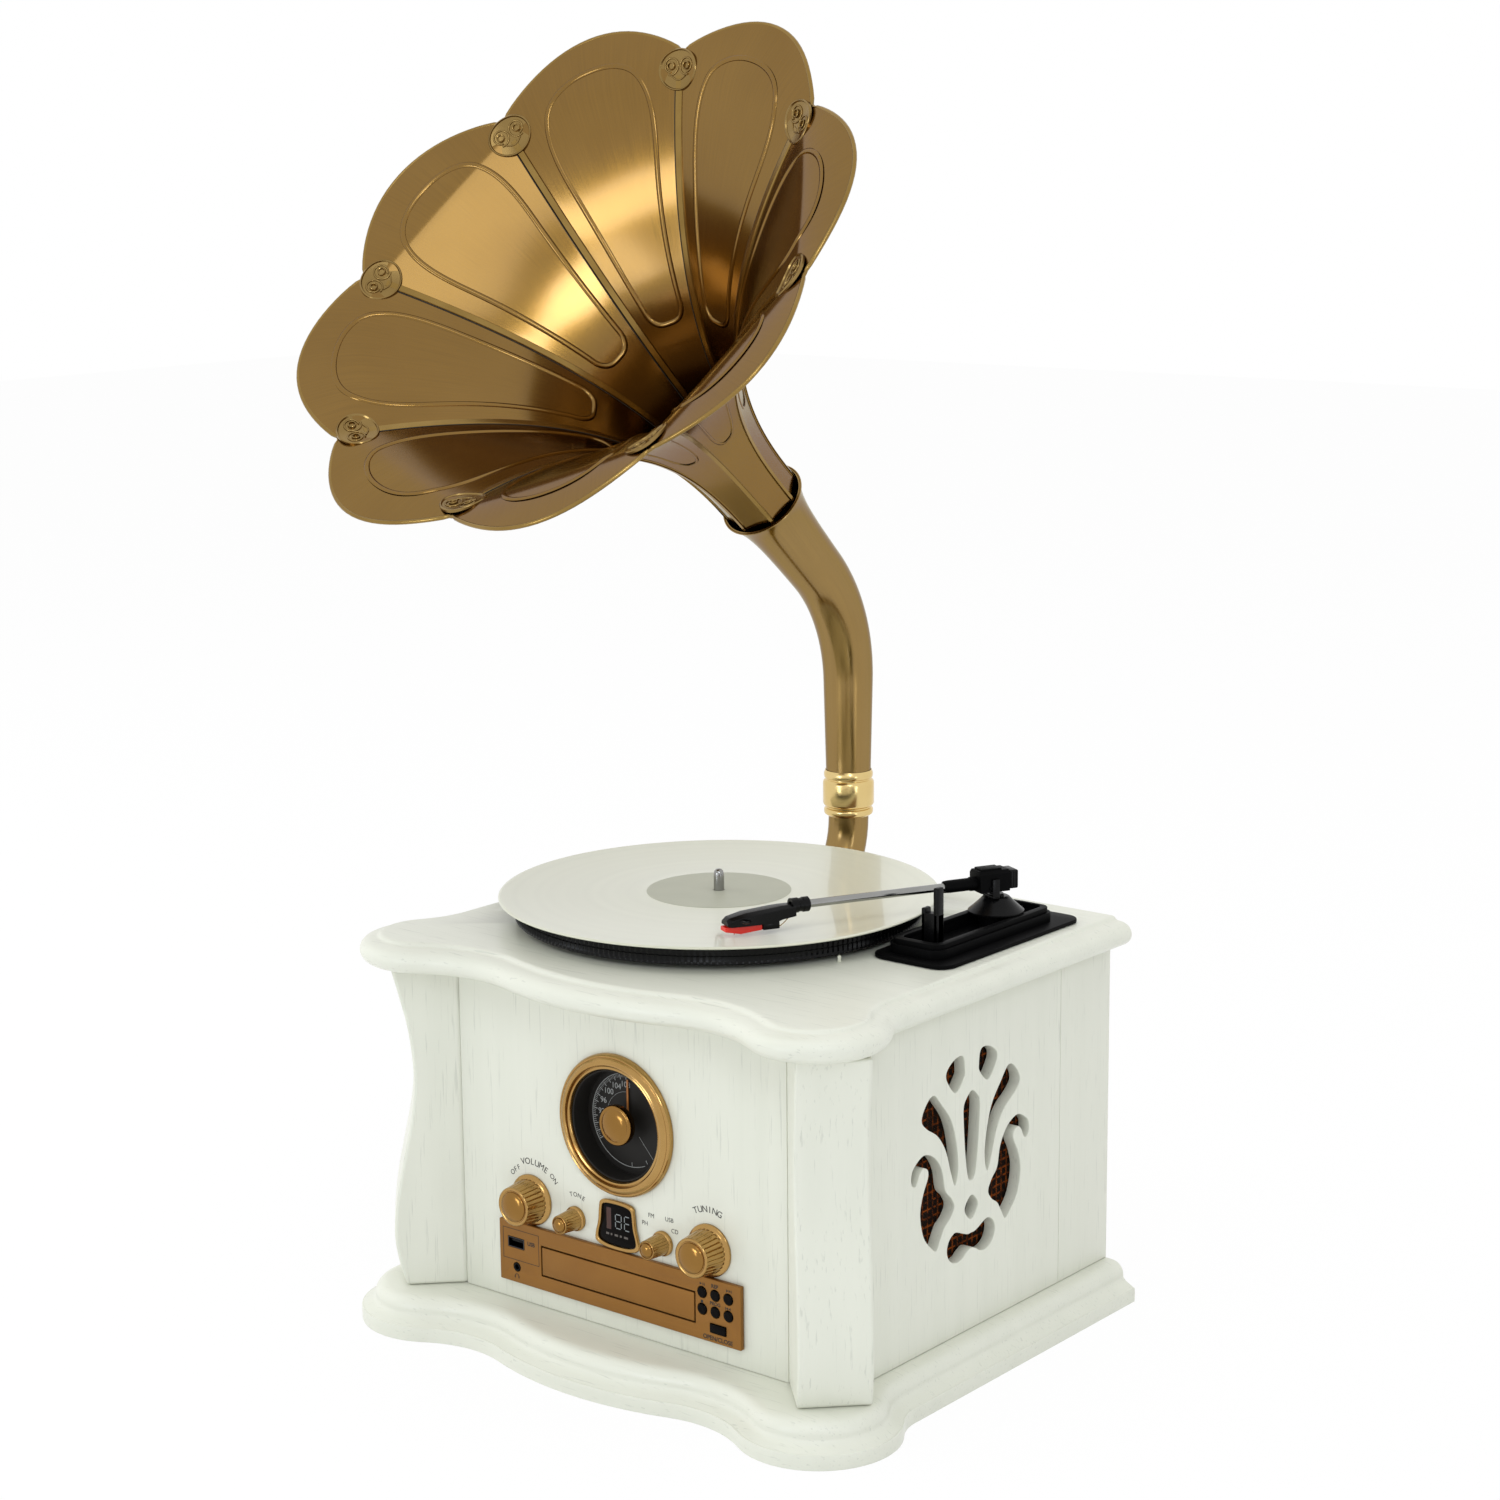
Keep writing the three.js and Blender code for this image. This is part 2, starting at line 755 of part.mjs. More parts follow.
function fretHoles() {
  const onSide = (shares, side) => shares.map((share) => fretPoint(share, side));
  const straddling = (shares) => {
    const right = shares.map((share) => fretPoint(share, 1));
    const left = shares.slice(1, -1).reverse().map((share) => fretPoint(share, -1));
    return [...right, ...left];
  };
  const holes = [fretStemShares, fretBowShares, fretSeedShares].map(straddling);
  for (const side of [-1, 1]) {
    for (const shares of [fretPetalShares, fretLeafShares, fretVoluteShares]) holes.push(onSide(shares, side));
  }
  return holes;
}

function buildSides() {
  const outline = rectangle(-postSideY + gap, cabinetRear, panelFoot, panelTop);
  const panel = facingSide(plate(outline, sideThickness, fretHoles()));
  add('side_panel_right', panel, paintedWood, player, [innerHalfWidth, 0, 0]);
  add('side_panel_left', panel, paintedWood, player, [-cabinetHalfWidth, 0, 0]);
  const half = fretHeight / 2 + clothMargin;
  const middle = fretFoot + fretHeight / 2;
  const clothOutline = rectangle(-fretMiddle - half, -fretMiddle + half, middle - half, middle + half);
  const cloth = facingSide(plate(clothOutline, clothThickness));
  add('grille_cloth_right', cloth, clothFibre, player, [innerHalfWidth - gap - clothThickness, 0, 0]);
  add('grille_cloth_left', cloth, clothFibre, player, [-innerHalfWidth + gap, 0, 0]);
}

function buildSpeakers() {
  const basketEdge = speakerCone + speakerFlange * 2;
  const waist = speakerMagnet - speakerFlange * 2;
  const capDepth = speakerDepth / 3;
  const magnetDepth = speakerDepth * 2 / 3;
  const body = turned([
    [0, -capDepth + speakerCap / 4], [speakerCap, -capDepth], [speakerCone, -speakerFlange], [basketEdge, 0],
    [speakerRadius, 0], [speakerRadius, -speakerFlange], [basketEdge, -speakerFlange * 2], [waist, -capDepth * 1.5],
    [waist, -magnetDepth], [speakerMagnet, -magnetDepth], [speakerMagnet, -speakerDepth], [0, -speakerDepth],
  ], speakerSides);
  const outwards = body.clone().rotateY(quarterTurn);
  const x = innerHalfWidth - gap * 2 - clothThickness;
  const z = fretFoot + fretHeight / 2;
  add('speaker_right', outwards, blackPlastic, player, [x, -fretMiddle, z]);
  add('speaker_left', outwards.clone().rotateZ(Math.PI), blackPlastic, player, [-x, -fretMiddle, z]);
}

// Rear panel with the mouth of the horn pipe and the power inlet
function buildRear() {
  const half = innerHalfWidth - gap;
  const outline = rectangle(-half, half, panelFoot, panelTop);
  const holes = [
    circle(pipeRadius - pipeWall, pipeSides, -pipeX, pipeExitHeight),
    rectangle(
      -inletX - inletWidth / 2 + inletBezel, -inletX + inletWidth / 2 - inletBezel,
      inletZ - inletHeight / 2 + inletBezel, inletZ + inletHeight / 2 - inletBezel,
    ),
  ];
  const panel = plate(outline, rearThickness, holes).rotateX(quarterTurn).rotateZ(Math.PI);
  add('back_panel', panel, board, player, [0, cabinetRear - rearThickness, 0]);

  const seat = pipeRadius + gap;
  const neck = seat + wallFlangeNeckWall;
  const flange = turned([
    [seat, 0], [wallFlangeRadius, 0], [wallFlangeRadius, wallFlangeThickness * 0.75],
    [wallFlangeRadius - wallFlangeThickness / 4, wallFlangeThickness], [neck + wallFlangeThickness / 4, wallFlangeThickness],
    [neck, wallFlangeThickness * 1.4], [neck, wallFlangeNeck], [seat, wallFlangeNeck],
  ], motorSides).rotateX(-quarterTurn);
  add('pipe_flange', flange, brass, player, [pipeX, cabinetRear + gap, pipeExitHeight]);

  const bezel = boxBetween(-inletWidth / 2, inletWidth / 2, gap, inletBezel, -inletHeight / 2, inletHeight / 2);
  const body = boxBetween(
    -inletWidth / 2 + inletBezel + gap, inletWidth / 2 - inletBezel - gap, -inletDepth, gap + overrun / 2,
    -inletHeight / 2 + inletBezel + gap, inletHeight / 2 - inletBezel - gap,
  );
  const slot = boxBetween(
    -inletSlotWidth / 2, inletSlotWidth / 2, -inletDepth + inletBezel, inletBezel + overrun,
    -inletSlotHeight / 2, inletSlotHeight / 2,
  );
  add('power_inlet', cut(join(bezel, body), slot), blackPlastic, player, [inletX, cabinetRear, inletZ]);
}

// Rings of a round pipe along a path that stays in the YZ plane.
function pipeRings(path, radii, sides) {
  return path.map(([y, z, slope], i) => Array.from({ length: sides }, (_, k) => {
    const angle = (k / sides) * fullTurn;
    const across = radii[i] * Math.cos(angle);
    const along = radii[i] * Math.sin(angle);
    return new THREE.Vector3(across, y + along * Math.sin(slope), z - along * Math.cos(slope));
  }));
}

function pipeShell(path, radii, wall, sides) {
  return shellOf(pipeRings(path, radii, sides), pipeRings(path, radii.map((radius) => radius - wall), sides));
}

function buildLowerPipe() {
  const bendSteps = 6;
  const bendFoot = pipeExitHeight + pipeBend;
  const path = [[pipeY, collarFoot + collarSeat - gap, -quarterTurn], [pipeY, bendFoot, -quarterTurn]];
  for (let i = 1; i <= bendSteps; i += 1) {
    const angle = quarterTurn * (i / bendSteps);
    const y = pipeY - pipeBend * (1 - Math.cos(angle));
    path.push([y, bendFoot - pipeBend * Math.sin(angle), -quarterTurn - angle]);
  }
  path.push([cabinetRear + gap * 2, pipeExitHeight, -Math.PI]);
  const frames = path.map(([y, z, slope]) => [y, z, slope]);
  add('lower_pipe', pipeShell(frames, frames.map(() => pipeRadius), pipeWall, pipeSides), brass, player, [pipeX, 0, 0]);
}

function buildCollar() {
  const foot = collarFoot;
  const top = collarFoot + collarHeight;
  const seat = collarFoot + collarSeat;
  const ring = collarRadius - collarStep;
  const bore = pipeRadius + gap;
  const socket = elbowEndRadius + collarPlay;
  const at = (share) => foot + collarHeight * share;
  add('pipe_collar', turned([
    [bore, foot], [ring - collarStep, foot], [ring, at(0.06)], [ring, at(0.16)], [ring - collarStep, at(0.19)],
    [ring, at(0.25)], [collarRadius, at(0.3)], [collarRadius, at(0.74)], [ring, at(0.8)],
    [ring - collarStep / 2, at(0.86)], [ring, at(0.9)], [ring, at(0.98)], [socket + collarLipWall, top],
    [socket, top], [socket, seat], [bore, seat],
  ], speakerSides), brass, player, [pipeX, pipeY, 0]);
}

// Elbow: up from the collar, round a quarter bend and along the slope of the horn.
function elbowPath() {
  const turn = quarterTurn - elbowSlope;
  const tangent = elbowBend * Math.tan(turn / 2);
  const bendFoot = elbowCorner - tangent;
  const bendSteps = 6;
  const path = [[0, collarFoot + collarSeat + gap, -quarterTurn]];
  path.push([0, (collarFoot + collarSeat + bendFoot) / 2, -quarterTurn]);
  for (let i = 0; i <= bendSteps; i += 1) {
    const angle = turn * (i / bendSteps);
    path.push([-elbowBend * (1 - Math.cos(angle)), bendFoot + elbowBend * Math.sin(angle), -quarterTurn + angle]);
  }
  const [startY, startZ] = path[path.length - 1];
  for (const share of [0.5, 0.75, 0.92, 1]) {
    const run = elbowMouthRun * share;
    path.push([startY - run * Math.cos(elbowSlope), startZ + run * Math.sin(elbowSlope), -elbowSlope]);
  }
  return path;
}

function elbowRadii(path) {
  const runs = [0];
  for (let i = 1; i < path.length; i += 1) {
    runs.push(runs[i - 1] + Math.hypot(path[i][0] - path[i - 1][0], path[i][1] - path[i - 1][1]));
  }
  const length = runs[runs.length - 1];
  const flare = elbowMouthRadius - elbowEndRadius - elbowSwell;
  return runs.map((run) => {
    const swell = elbowSwell * (run / length);
    return elbowEndRadius + swell + flare * Math.exp((run - length) / (elbowFlareLength * 2));
  });
}

function buildElbow() {
  const path = elbowPath();
  add('horn_elbow', pipeShell(path, elbowRadii(path), pipeWall, elbowSides), brass, hornGroup);
}

// Horn: the seam radius at a depth behind the ring of clips, negative depths being the lip.
function seamRadius(depth, drawIn) {
  const slope = hornFlarePower * (hornMouth - hornThroat) / hornDepth;
  if (depth < 0) {
    const out = -depth / hornLip;
    const curl = hornLipGain - slope * hornLip;
    return hornMouth + slope * hornLip * out + curl * out ** 2 - drawIn;
  }
  if (depth > hornDepth) return hornThroat - hornTaper * (depth - hornDepth) / hornInsert - drawIn;
  return hornThroat + (hornMouth - hornThroat) * (1 - depth / hornDepth) ** hornFlarePower - drawIn;
}

function hornRing(depthAt, inside) {
  const points = [];
  for (let petal = 0; petal < petalCount; petal += 1) {
    for (let step = 0; step < petalSteps; step += 1) {
      const across = step / petalSteps;
      const fromSeam = 1 - Math.abs(across * 2 - 1);
      const depth = depthAt(fromSeam);
      const ahead = hornSheet;
      const rise = seamRadius(depth - ahead, 0) - seamRadius(depth, 0);
      const slant = Math.hypot(rise, ahead);
      const radius = seamRadius(depth, 0) - (inside ? hornSheet * ahead / slant : 0);
      const z = -depth + (inside ? hornSheet * rise / slant : 0);
      const half = Math.PI / petalCount;
      const offCentre = half * (1 - fromSeam);
      const chord = radius * Math.cos(half) / Math.cos(offCentre);
      const crown = petalCrown * fromSeam * (radius / hornMouth);
      const angle = (petal + across) * 2 * half;
      points.push(new THREE.Vector3((chord + crown) * Math.cos(angle), (chord + crown) * Math.sin(angle), z));
    }
  }
  return points;
}

function hornRingsOn(inside) {
  const rings = [hornRing(() => hornDepth + hornInsert, inside)];
  for (let i = 0; i <= hornRings; i += 1) {
    const depth = hornDepth * (1 - i / hornRings) ** 0.9;
    rings.push(hornRing(() => depth, inside));
  }
  for (let i = 1; i <= lipRings; i += 1) {
    const reach = (fromSeam) => hornNotch + (hornLip - hornNotch) * Math.sin(quarterTurn * fromSeam) ** lobeFullness;
    rings.push(hornRing((fromSeam) => -reach(fromSeam) * (i / lipRings), inside));
  }
  return rings;
}

function hornPlace() {
  const path = elbowPath();
  const [y, z] = path[path.length - 1];
  return [y - hornDepth * Math.cos(hornTilt), z + hornDepth * Math.sin(hornTilt)];
}

function buildHorn() {
  const [y, z] = hornPlace();
  const bell = new THREE.Group();
  bell.position.set(0, y, z);
  bell.rotation.x = quarterTurn - hornTilt;
  const rolled = new THREE.Group();
  rolled.rotation.z = hornRoll;
  bell.add(rolled);
  hornGroup.add(bell);
  const clip = hornClip();
  const clips = Array.from({ length: petalCount }, (_, i) => clip.clone().rotateZ(i * fullTurn / petalCount));
  add('horn', join(shellOf(hornRingsOn(false), hornRingsOn(true)), ...clips), brass, rolled);
}

// Clip of a seam: an oval plate folded along the seam, with a rivet in each wing.
function hornClip() {
  const slope = Math.atan2(hornFlarePower * (hornMouth - hornThroat), hornDepth);
  const fold = Math.atan(Math.tan(Math.PI / petalCount) * Math.cos(slope));
  const outline = Array.from({ length: clipHalfSides + 1 }, (_, i) => {
    const angle = Math.PI * (i / clipHalfSides);
    return new THREE.Vector2(clipWidth / 2 * Math.cos(angle), clipLength / 2 * Math.sin(angle));
  });
  const rivet = moved(
    disc(rivetRadius, 0, clipThickness + rivetHeight, rivetSides), 0, clipLength / 4, 0,
  );
  const wing = join(plate(outline, clipThickness), rivet).rotateX(fold);
  const bent = join(wing, wing.clone().rotateZ(Math.PI));
  return moved(moved(bent, 0, 0, hornSheet - clipSink).rotateY(slope - quarterTurn), hornMouth, 0, 0);
}

// Front panel and the dial
function buildFrontPanel() {
  const half = postFrontX - gap;
  const outline = rectangle(-half, half, panelFoot, panelTop);
  const drawer = coverHalfWidth - coverSeat;
  const holes = [
    circle(dialSleeve + gap, dialSides, 0, dialZ),
    rectangle(-displayWindowHalf, displayWindowHalf, displayZ - displayWindowHalf, displayZ + displayWindowHalf),
    rectangle(-drawer, drawer, coverFoot + coverSeat, coverFoot + coverHeight - coverSeat),
  ];
  for (const side of [-1, 1]) {
    holes.push(circle(bushHole, roundSides, side * bigKnobX, bigKnobZ));
    holes.push(circle(bushHole, roundSides, side * smallKnobX, smallKnobZ));
  }
  const panel = facingFront(plate(outline, frontThickness, holes));
  add('front_panel', panel, paintedWood, player, [0, -cabinetFront + frontThickness, 0]);
}

function addToFront(name, geometry, material, x, z) {
  return add(name, facingFront(geometry), material, player, [x, -cabinetFront, z]);
}

function buildDial() {
  const lip = dialBore;
  const recess = dialFaceRadius + gap;
  const back = -dialFaceDepth - dialFaceThickness - gap * 2;
  const front = dialRingShares.map(([radius, height]) => [radius * dialRadius, height * dialRingHeight]);
  addToFront('dial_ring', turned([
    [lip, front[front.length - 1][1]], [lip, -dialFaceDepth], [recess, -dialFaceDepth], [recess, back],
    [dialSleeve, back], [dialSleeve, gap], [dialRadius, gap], ...front,
  ], dialSides), goldPlastic, 0, dialZ);
  const faceTop = -dialFaceDepth - gap;
  addToFront('dial_face', turned([
    [hubStem + gap, faceTop - dialFaceThickness], [dialFaceRadius, faceTop - dialFaceThickness],
    [dialFaceRadius, faceTop], [hubStem + gap, faceTop],
  ], dialSides), blackPlastic, 0, dialZ);
  const pointerFoot = faceTop + gap * 2;
  const pointerTop = pointerFoot + pointerThickness;
  const bar = boxBetween(-pointerWidth / 2, pointerWidth / 2, 0, pointerLength, pointerFoot, pointerTop);
  const eye = disc(pointerEye, pointerFoot, pointerTop, roundSides);
  const hubFoot = -hubSet;
  const at = (share) => hubFoot + hubHeight * share;
  const stemEnd = faceTop - dialFaceThickness - frontThickness;
  const hub = turned([
    [0, stemEnd], [hubStem, stemEnd], [hubStem, hubFoot], [hubRadius * 0.9, hubFoot], [hubRadius, at(0.2)],
    [hubRadius * 0.97, at(0.5)], [hubRadius * 0.8, at(0.8)], [hubRadius * 0.45, at(0.96)], [0, at(1)],
  ], speakerSides);
  addToFront('dial_pointer', join(bar, eye, hub), goldPlastic, 0, dialZ);
}

function knobRing(radius, z, flutes, depth) {
  return Array.from({ length: flutes * 2 }, (_, i) => {
    const angle = (i / (flutes * 2)) * fullTurn;
    const reach = i % 2 ? radius - depth : radius;
    return new THREE.Vector3(reach * Math.cos(angle), reach * Math.sin(angle), z);
  });
}

// Fluted knob: back flange, tapering fluted grip, bead and domed cap.
function knob(flange, radius, nose, depth, flutes) {
  const at = (share) => gap + depth * share;
  const flute = radius * knobFluteShare;
  const grip = knobFlangeShare;
  const rings = [
    [flange, 0, 0], [flange, grip * 0.7, 0], [flange * 0.95, grip, 0], [radius, grip, flute],
    [nose, 0.85, flute], [nose * 0.94, 0.93, 0], [nose * 0.78, 0.93, 0], [nose * 0.72, 0.9, 0],
    [nose * 0.55, 0.97, 0], [nose * 0.28, 1, 0],
  ];
  const body = skinned(rings.map(([r, share, dent]) => knobRing(r, at(share), flutes, dent)), false);
  return join(body, disc(knobShaft, gap - knobShaftLength, gap + overrun / 2, shaftSides));
}

function buildKnobs() {
  const big = knob(bigKnobFlange, bigKnobRadius, bigKnobNose, bigKnobDepth, bigKnobFlutes);
  const small = knob(smallKnobFlange, smallKnobRadius, smallKnobNose, smallKnobDepth, smallKnobFlutes);
  addToFront('volume_knob', big, goldPlastic, -bigKnobX, bigKnobZ);
  addToFront('tuning_knob', big, goldPlastic, bigKnobX, bigKnobZ);
  addToFront('tone_knob', small, goldPlastic, -smallKnobX, smallKnobZ);
  addToFront('function_knob', small, goldPlastic, smallKnobX, smallKnobZ);
}

function buildDisplay() {
  const outline = (drawIn) => {
    const width = displayHalfWidth - drawIn;
    const height = displayHeight - drawIn * 2;
    const right = displayShares.map(([x, y]) => new THREE.Vector2(x * width, (y - 0.5) * height));
    const left = right.slice(1, -1).reverse().map((p) => new THREE.Vector2(-p.x, p.y));
    return splineLoop([...right, ...left], (right.length + left.length) * 2);
  };
  const rim = plate(outline(0), displayRimHeight, [outline(displayRim)]);
  addToFront('display_bezel', moved(rim, 0, 0, gap), goldPlastic, 0, displayZ);
  const glass = plate(outline(displayRim + displayPlay), displayGlass);
  addToFront('display_window', moved(glass, 0, 0, gap), darkGlass, 0, displayZ);
}

// Cover plate of the disc drawer, with the keys and the sockets that show through it
function buildCover() {
  const trayTop = trayFoot + trayHeight;
  const outline = rectangle(-coverHalfWidth, coverHalfWidth, coverFoot, coverFoot + coverHeight);
  const usbHalf = usbWidth / 2 + usbWall + gap;
  const usbRise = usbHeight / 2 + usbWall + gap;
  const holes = [
    rectangle(-trayHalfWidth - gap, trayHalfWidth + gap, trayFoot - gap, trayTop + gap),
    rectangle(usbX - usbHalf, usbX + usbHalf, usbZ - usbRise, usbZ + usbRise),
    circle(jackRadius + gap, jackSides, jackX, jackZ),
    rectangle(
      openKeyX - openKeyWidth / 2 - gap, openKeyX + openKeyWidth / 2 + gap,
      openKeyZ - openKeyHeight / 2 - gap, openKeyZ + openKeyHeight / 2 + gap,
    ),
  ];
  for (const x of keyColumns) for (const z of keyRows) holes.push(circle(keyRadius + gap, keySides, x, z));
  const cover = moved(plate(outline, coverThickness, holes), 0, 0, gap);
  addToFront('cd_faceplate', cover, goldPlastic, 0, 0);
}

function buildKeys() {
  const front = gap + coverThickness + keyProud;
  const back = front - keyDepth;
  const key = join(
    disc(keyRadius, back, front, keySides),
    disc(keyRadius + keyFlange, back, back + keyFlangeThickness, keySides),
  );
  const names = ['play_key', 'repeat_key', 'next_key', 'stop_key', 'program_key', 'previous_key'];
  names.forEach((name, i) => {
    addToFront(name, key, blackPlastic, keyColumns[i % keyColumns.length], keyRows[Math.floor(i / keyColumns.length)]);
  });
  const halfWidth = openKeyWidth / 2;
  const halfHeight = openKeyHeight / 2;
  const openKey = join(
    boxBetween(-halfWidth, halfWidth, -halfHeight, halfHeight, back, front),
    boxBetween(
      -halfWidth - keyFlange, halfWidth + keyFlange,
      -halfHeight - keyFlange, halfHeight + keyFlange, back, back + keyFlangeThickness,
    ),
  );
  addToFront('open_close_key', openKey, blackPlastic, openKeyX, openKeyZ);
}

function buildFrontSockets() {
  const front = gap + coverThickness;
  const halfWidth = usbWidth / 2;
  const halfHeight = usbHeight / 2;
  const shell = boxBetween(
    -halfWidth - usbWall, halfWidth + usbWall, -halfHeight - usbWall, halfHeight + usbWall, front - usbDepth, front,
  );
  const mouth = boxBetween(-halfWidth, halfWidth, -halfHeight, halfHeight, front - usbDepth + usbWall, front + overrun);
  addToFront('usb_socket', cut(shell, mouth), steel, usbX, usbZ);
  addToFront('headphone_socket', turned([
    [0, front - jackDepth], [jackRadius, front - jackDepth], [jackRadius, front], [jackBore, front],
    [jackBore, front - jackDepth + usbWall], [0, front - jackDepth + usbWall],
  ], jackSides), blackPlastic, jackX, jackZ);
}

// Drawer: a tray with a round recess, sliding in an open-fronted housing on two legs
function buildDrawer() {
  const front = -cabinetFront - gap - coverThickness;
  const back = front + trayFrontThickness;
  const bodyHalf = trayHalfWidth - trayBodyInset;
  const bodyTop = trayBodyFoot + trayBodyHeight;
  const face = boxBetween(-trayHalfWidth, trayHalfWidth, front, back, trayFoot, trayFoot + trayHeight);
  const body = boxBetween(-bodyHalf, bodyHalf, back - overrun / 2, back + trayDepth, trayBodyFoot, bodyTop);
  const recess = disc(discRadius, bodyTop - discRecess, bodyTop + overrun, discSides);
  const recessY = back + trayDepth / 2;
  add('cd_tray', cut(join(face, body), moved(recess, 0, recessY, 0)), goldPlastic);

  const inner = bodyHalf + gap;
  const outer = inner + drawerWall;
  const houseFront = -cabinetFront + gap * 2 + frontThickness - drawerClear;
  const houseBack = back + trayDepth + drawerClear + drawerWall;
  const house = boxBetween(-outer, outer, houseFront, houseBack, trayBodyFoot - gap - drawerWall, drawerRoof);
  const bay = boxBetween(-inner, inner, houseFront - overrun, houseBack - drawerWall, trayBodyFoot - gap, drawerRoof - drawerWall);
  const faceRoom = boxBetween(
    -outer - overrun, outer + overrun, houseFront - overrun, back + gap,
    trayFoot - drawerWall - overrun, drawerRoof + overrun,
  );
  const legs = [-1, 1].map((side) => boxBetween(
    side > 0 ? inner : -outer, side > 0 ? outer : -inner,
    houseBack / 2 - trayDepth / 2, houseBack - drawerWall, drawerLegFoot, trayBodyFoot,
  ));
  add('cd_mechanism', cut(join(house, ...legs), bay, faceRoom), steel);
}

// Control board behind the front panel: four potentiometers and the bush of the dial
function buildControlBoard() {
  const front = -controlBoardY;
  const plateSolid = boxBetween(
    -controlBoardHalfWidth, controlBoardHalfWidth, front, front + controlBoardThickness,
    controlBoardFoot, controlBoardFoot + controlBoardHeight,
  );
  const panelBack = -cabinetFront + frontThickness;
  const towardsFront = (radius, from, to, x, z) => (
    moved(facingFront(disc(radius, -from, -to, roundSides)), x, 0, z)
  );
  const solids = [plateSolid];
  const bores = [];
  const knobs = [[bigKnobX, bigKnobZ], [-bigKnobX, bigKnobZ], [smallKnobX, smallKnobZ], [-smallKnobX, smallKnobZ]];
  for (const [x, z] of knobs) {
    solids.push(towardsFront(potRadius, front + controlBoardThickness / 2, panelBack + gap, x, z));
    solids.push(towardsFront(bushRadius, front, -cabinetFront + overrun, x, z));
    bores.push(towardsFront(knobShaft + gap, -cabinetFront + knobShaftLength + gap, -cabinetFront - overrun, x, z));
  }
  const faceBack = -cabinetFront + dialFaceDepth + dialFaceThickness + gap * 2;
  const hubEnd = faceBack + frontThickness + gap;
  solids.push(towardsFront(bushRadius, front, faceBack + gap, 0, dialZ));
  bores.push(towardsFront(hubStem + gap, hubEnd, faceBack - overrun, 0, dialZ));
  add('control_board', cut(join(...solids), ...bores), laminate);
}

function buildMainBoard() {
  const half = mainBoardWidth / 2;
  const depth = mainBoardDepth / 2;
  const solids = [boxBetween(-half, half, -depth, depth, mainBoardHeight, mainBoardHeight + mainBoardThickness)];
  for (const sx of [-1, 1]) {
    for (const sy of [-1, 1]) {
      const leg = disc(standoffRadius, floorThickness + gap, mainBoardHeight + mainBoardThickness / 2, shaftSides);
      solids.push(moved(leg, sx * (half - standoffInset), sy * (depth - standoffInset), 0));
    }
  }
  const sinkFoot = mainBoardHeight + mainBoardThickness / 2;
  const span = heatSinkPitch * heatSinkFins;
  solids.push(boxBetween(0, heatSinkLength / 2, 0, span, sinkFoot, sinkFoot + mainBoardThickness + heatSinkFin));
  for (let i = 0; i < heatSinkFins; i += 1) {
    const y = i * heatSinkPitch;
    solids.push(boxBetween(0, heatSinkLength / 2, y, y + heatSinkFin, sinkFoot, sinkFoot + heatSinkHeight));
  }
  add('main_board', join(...solids), laminate);
}

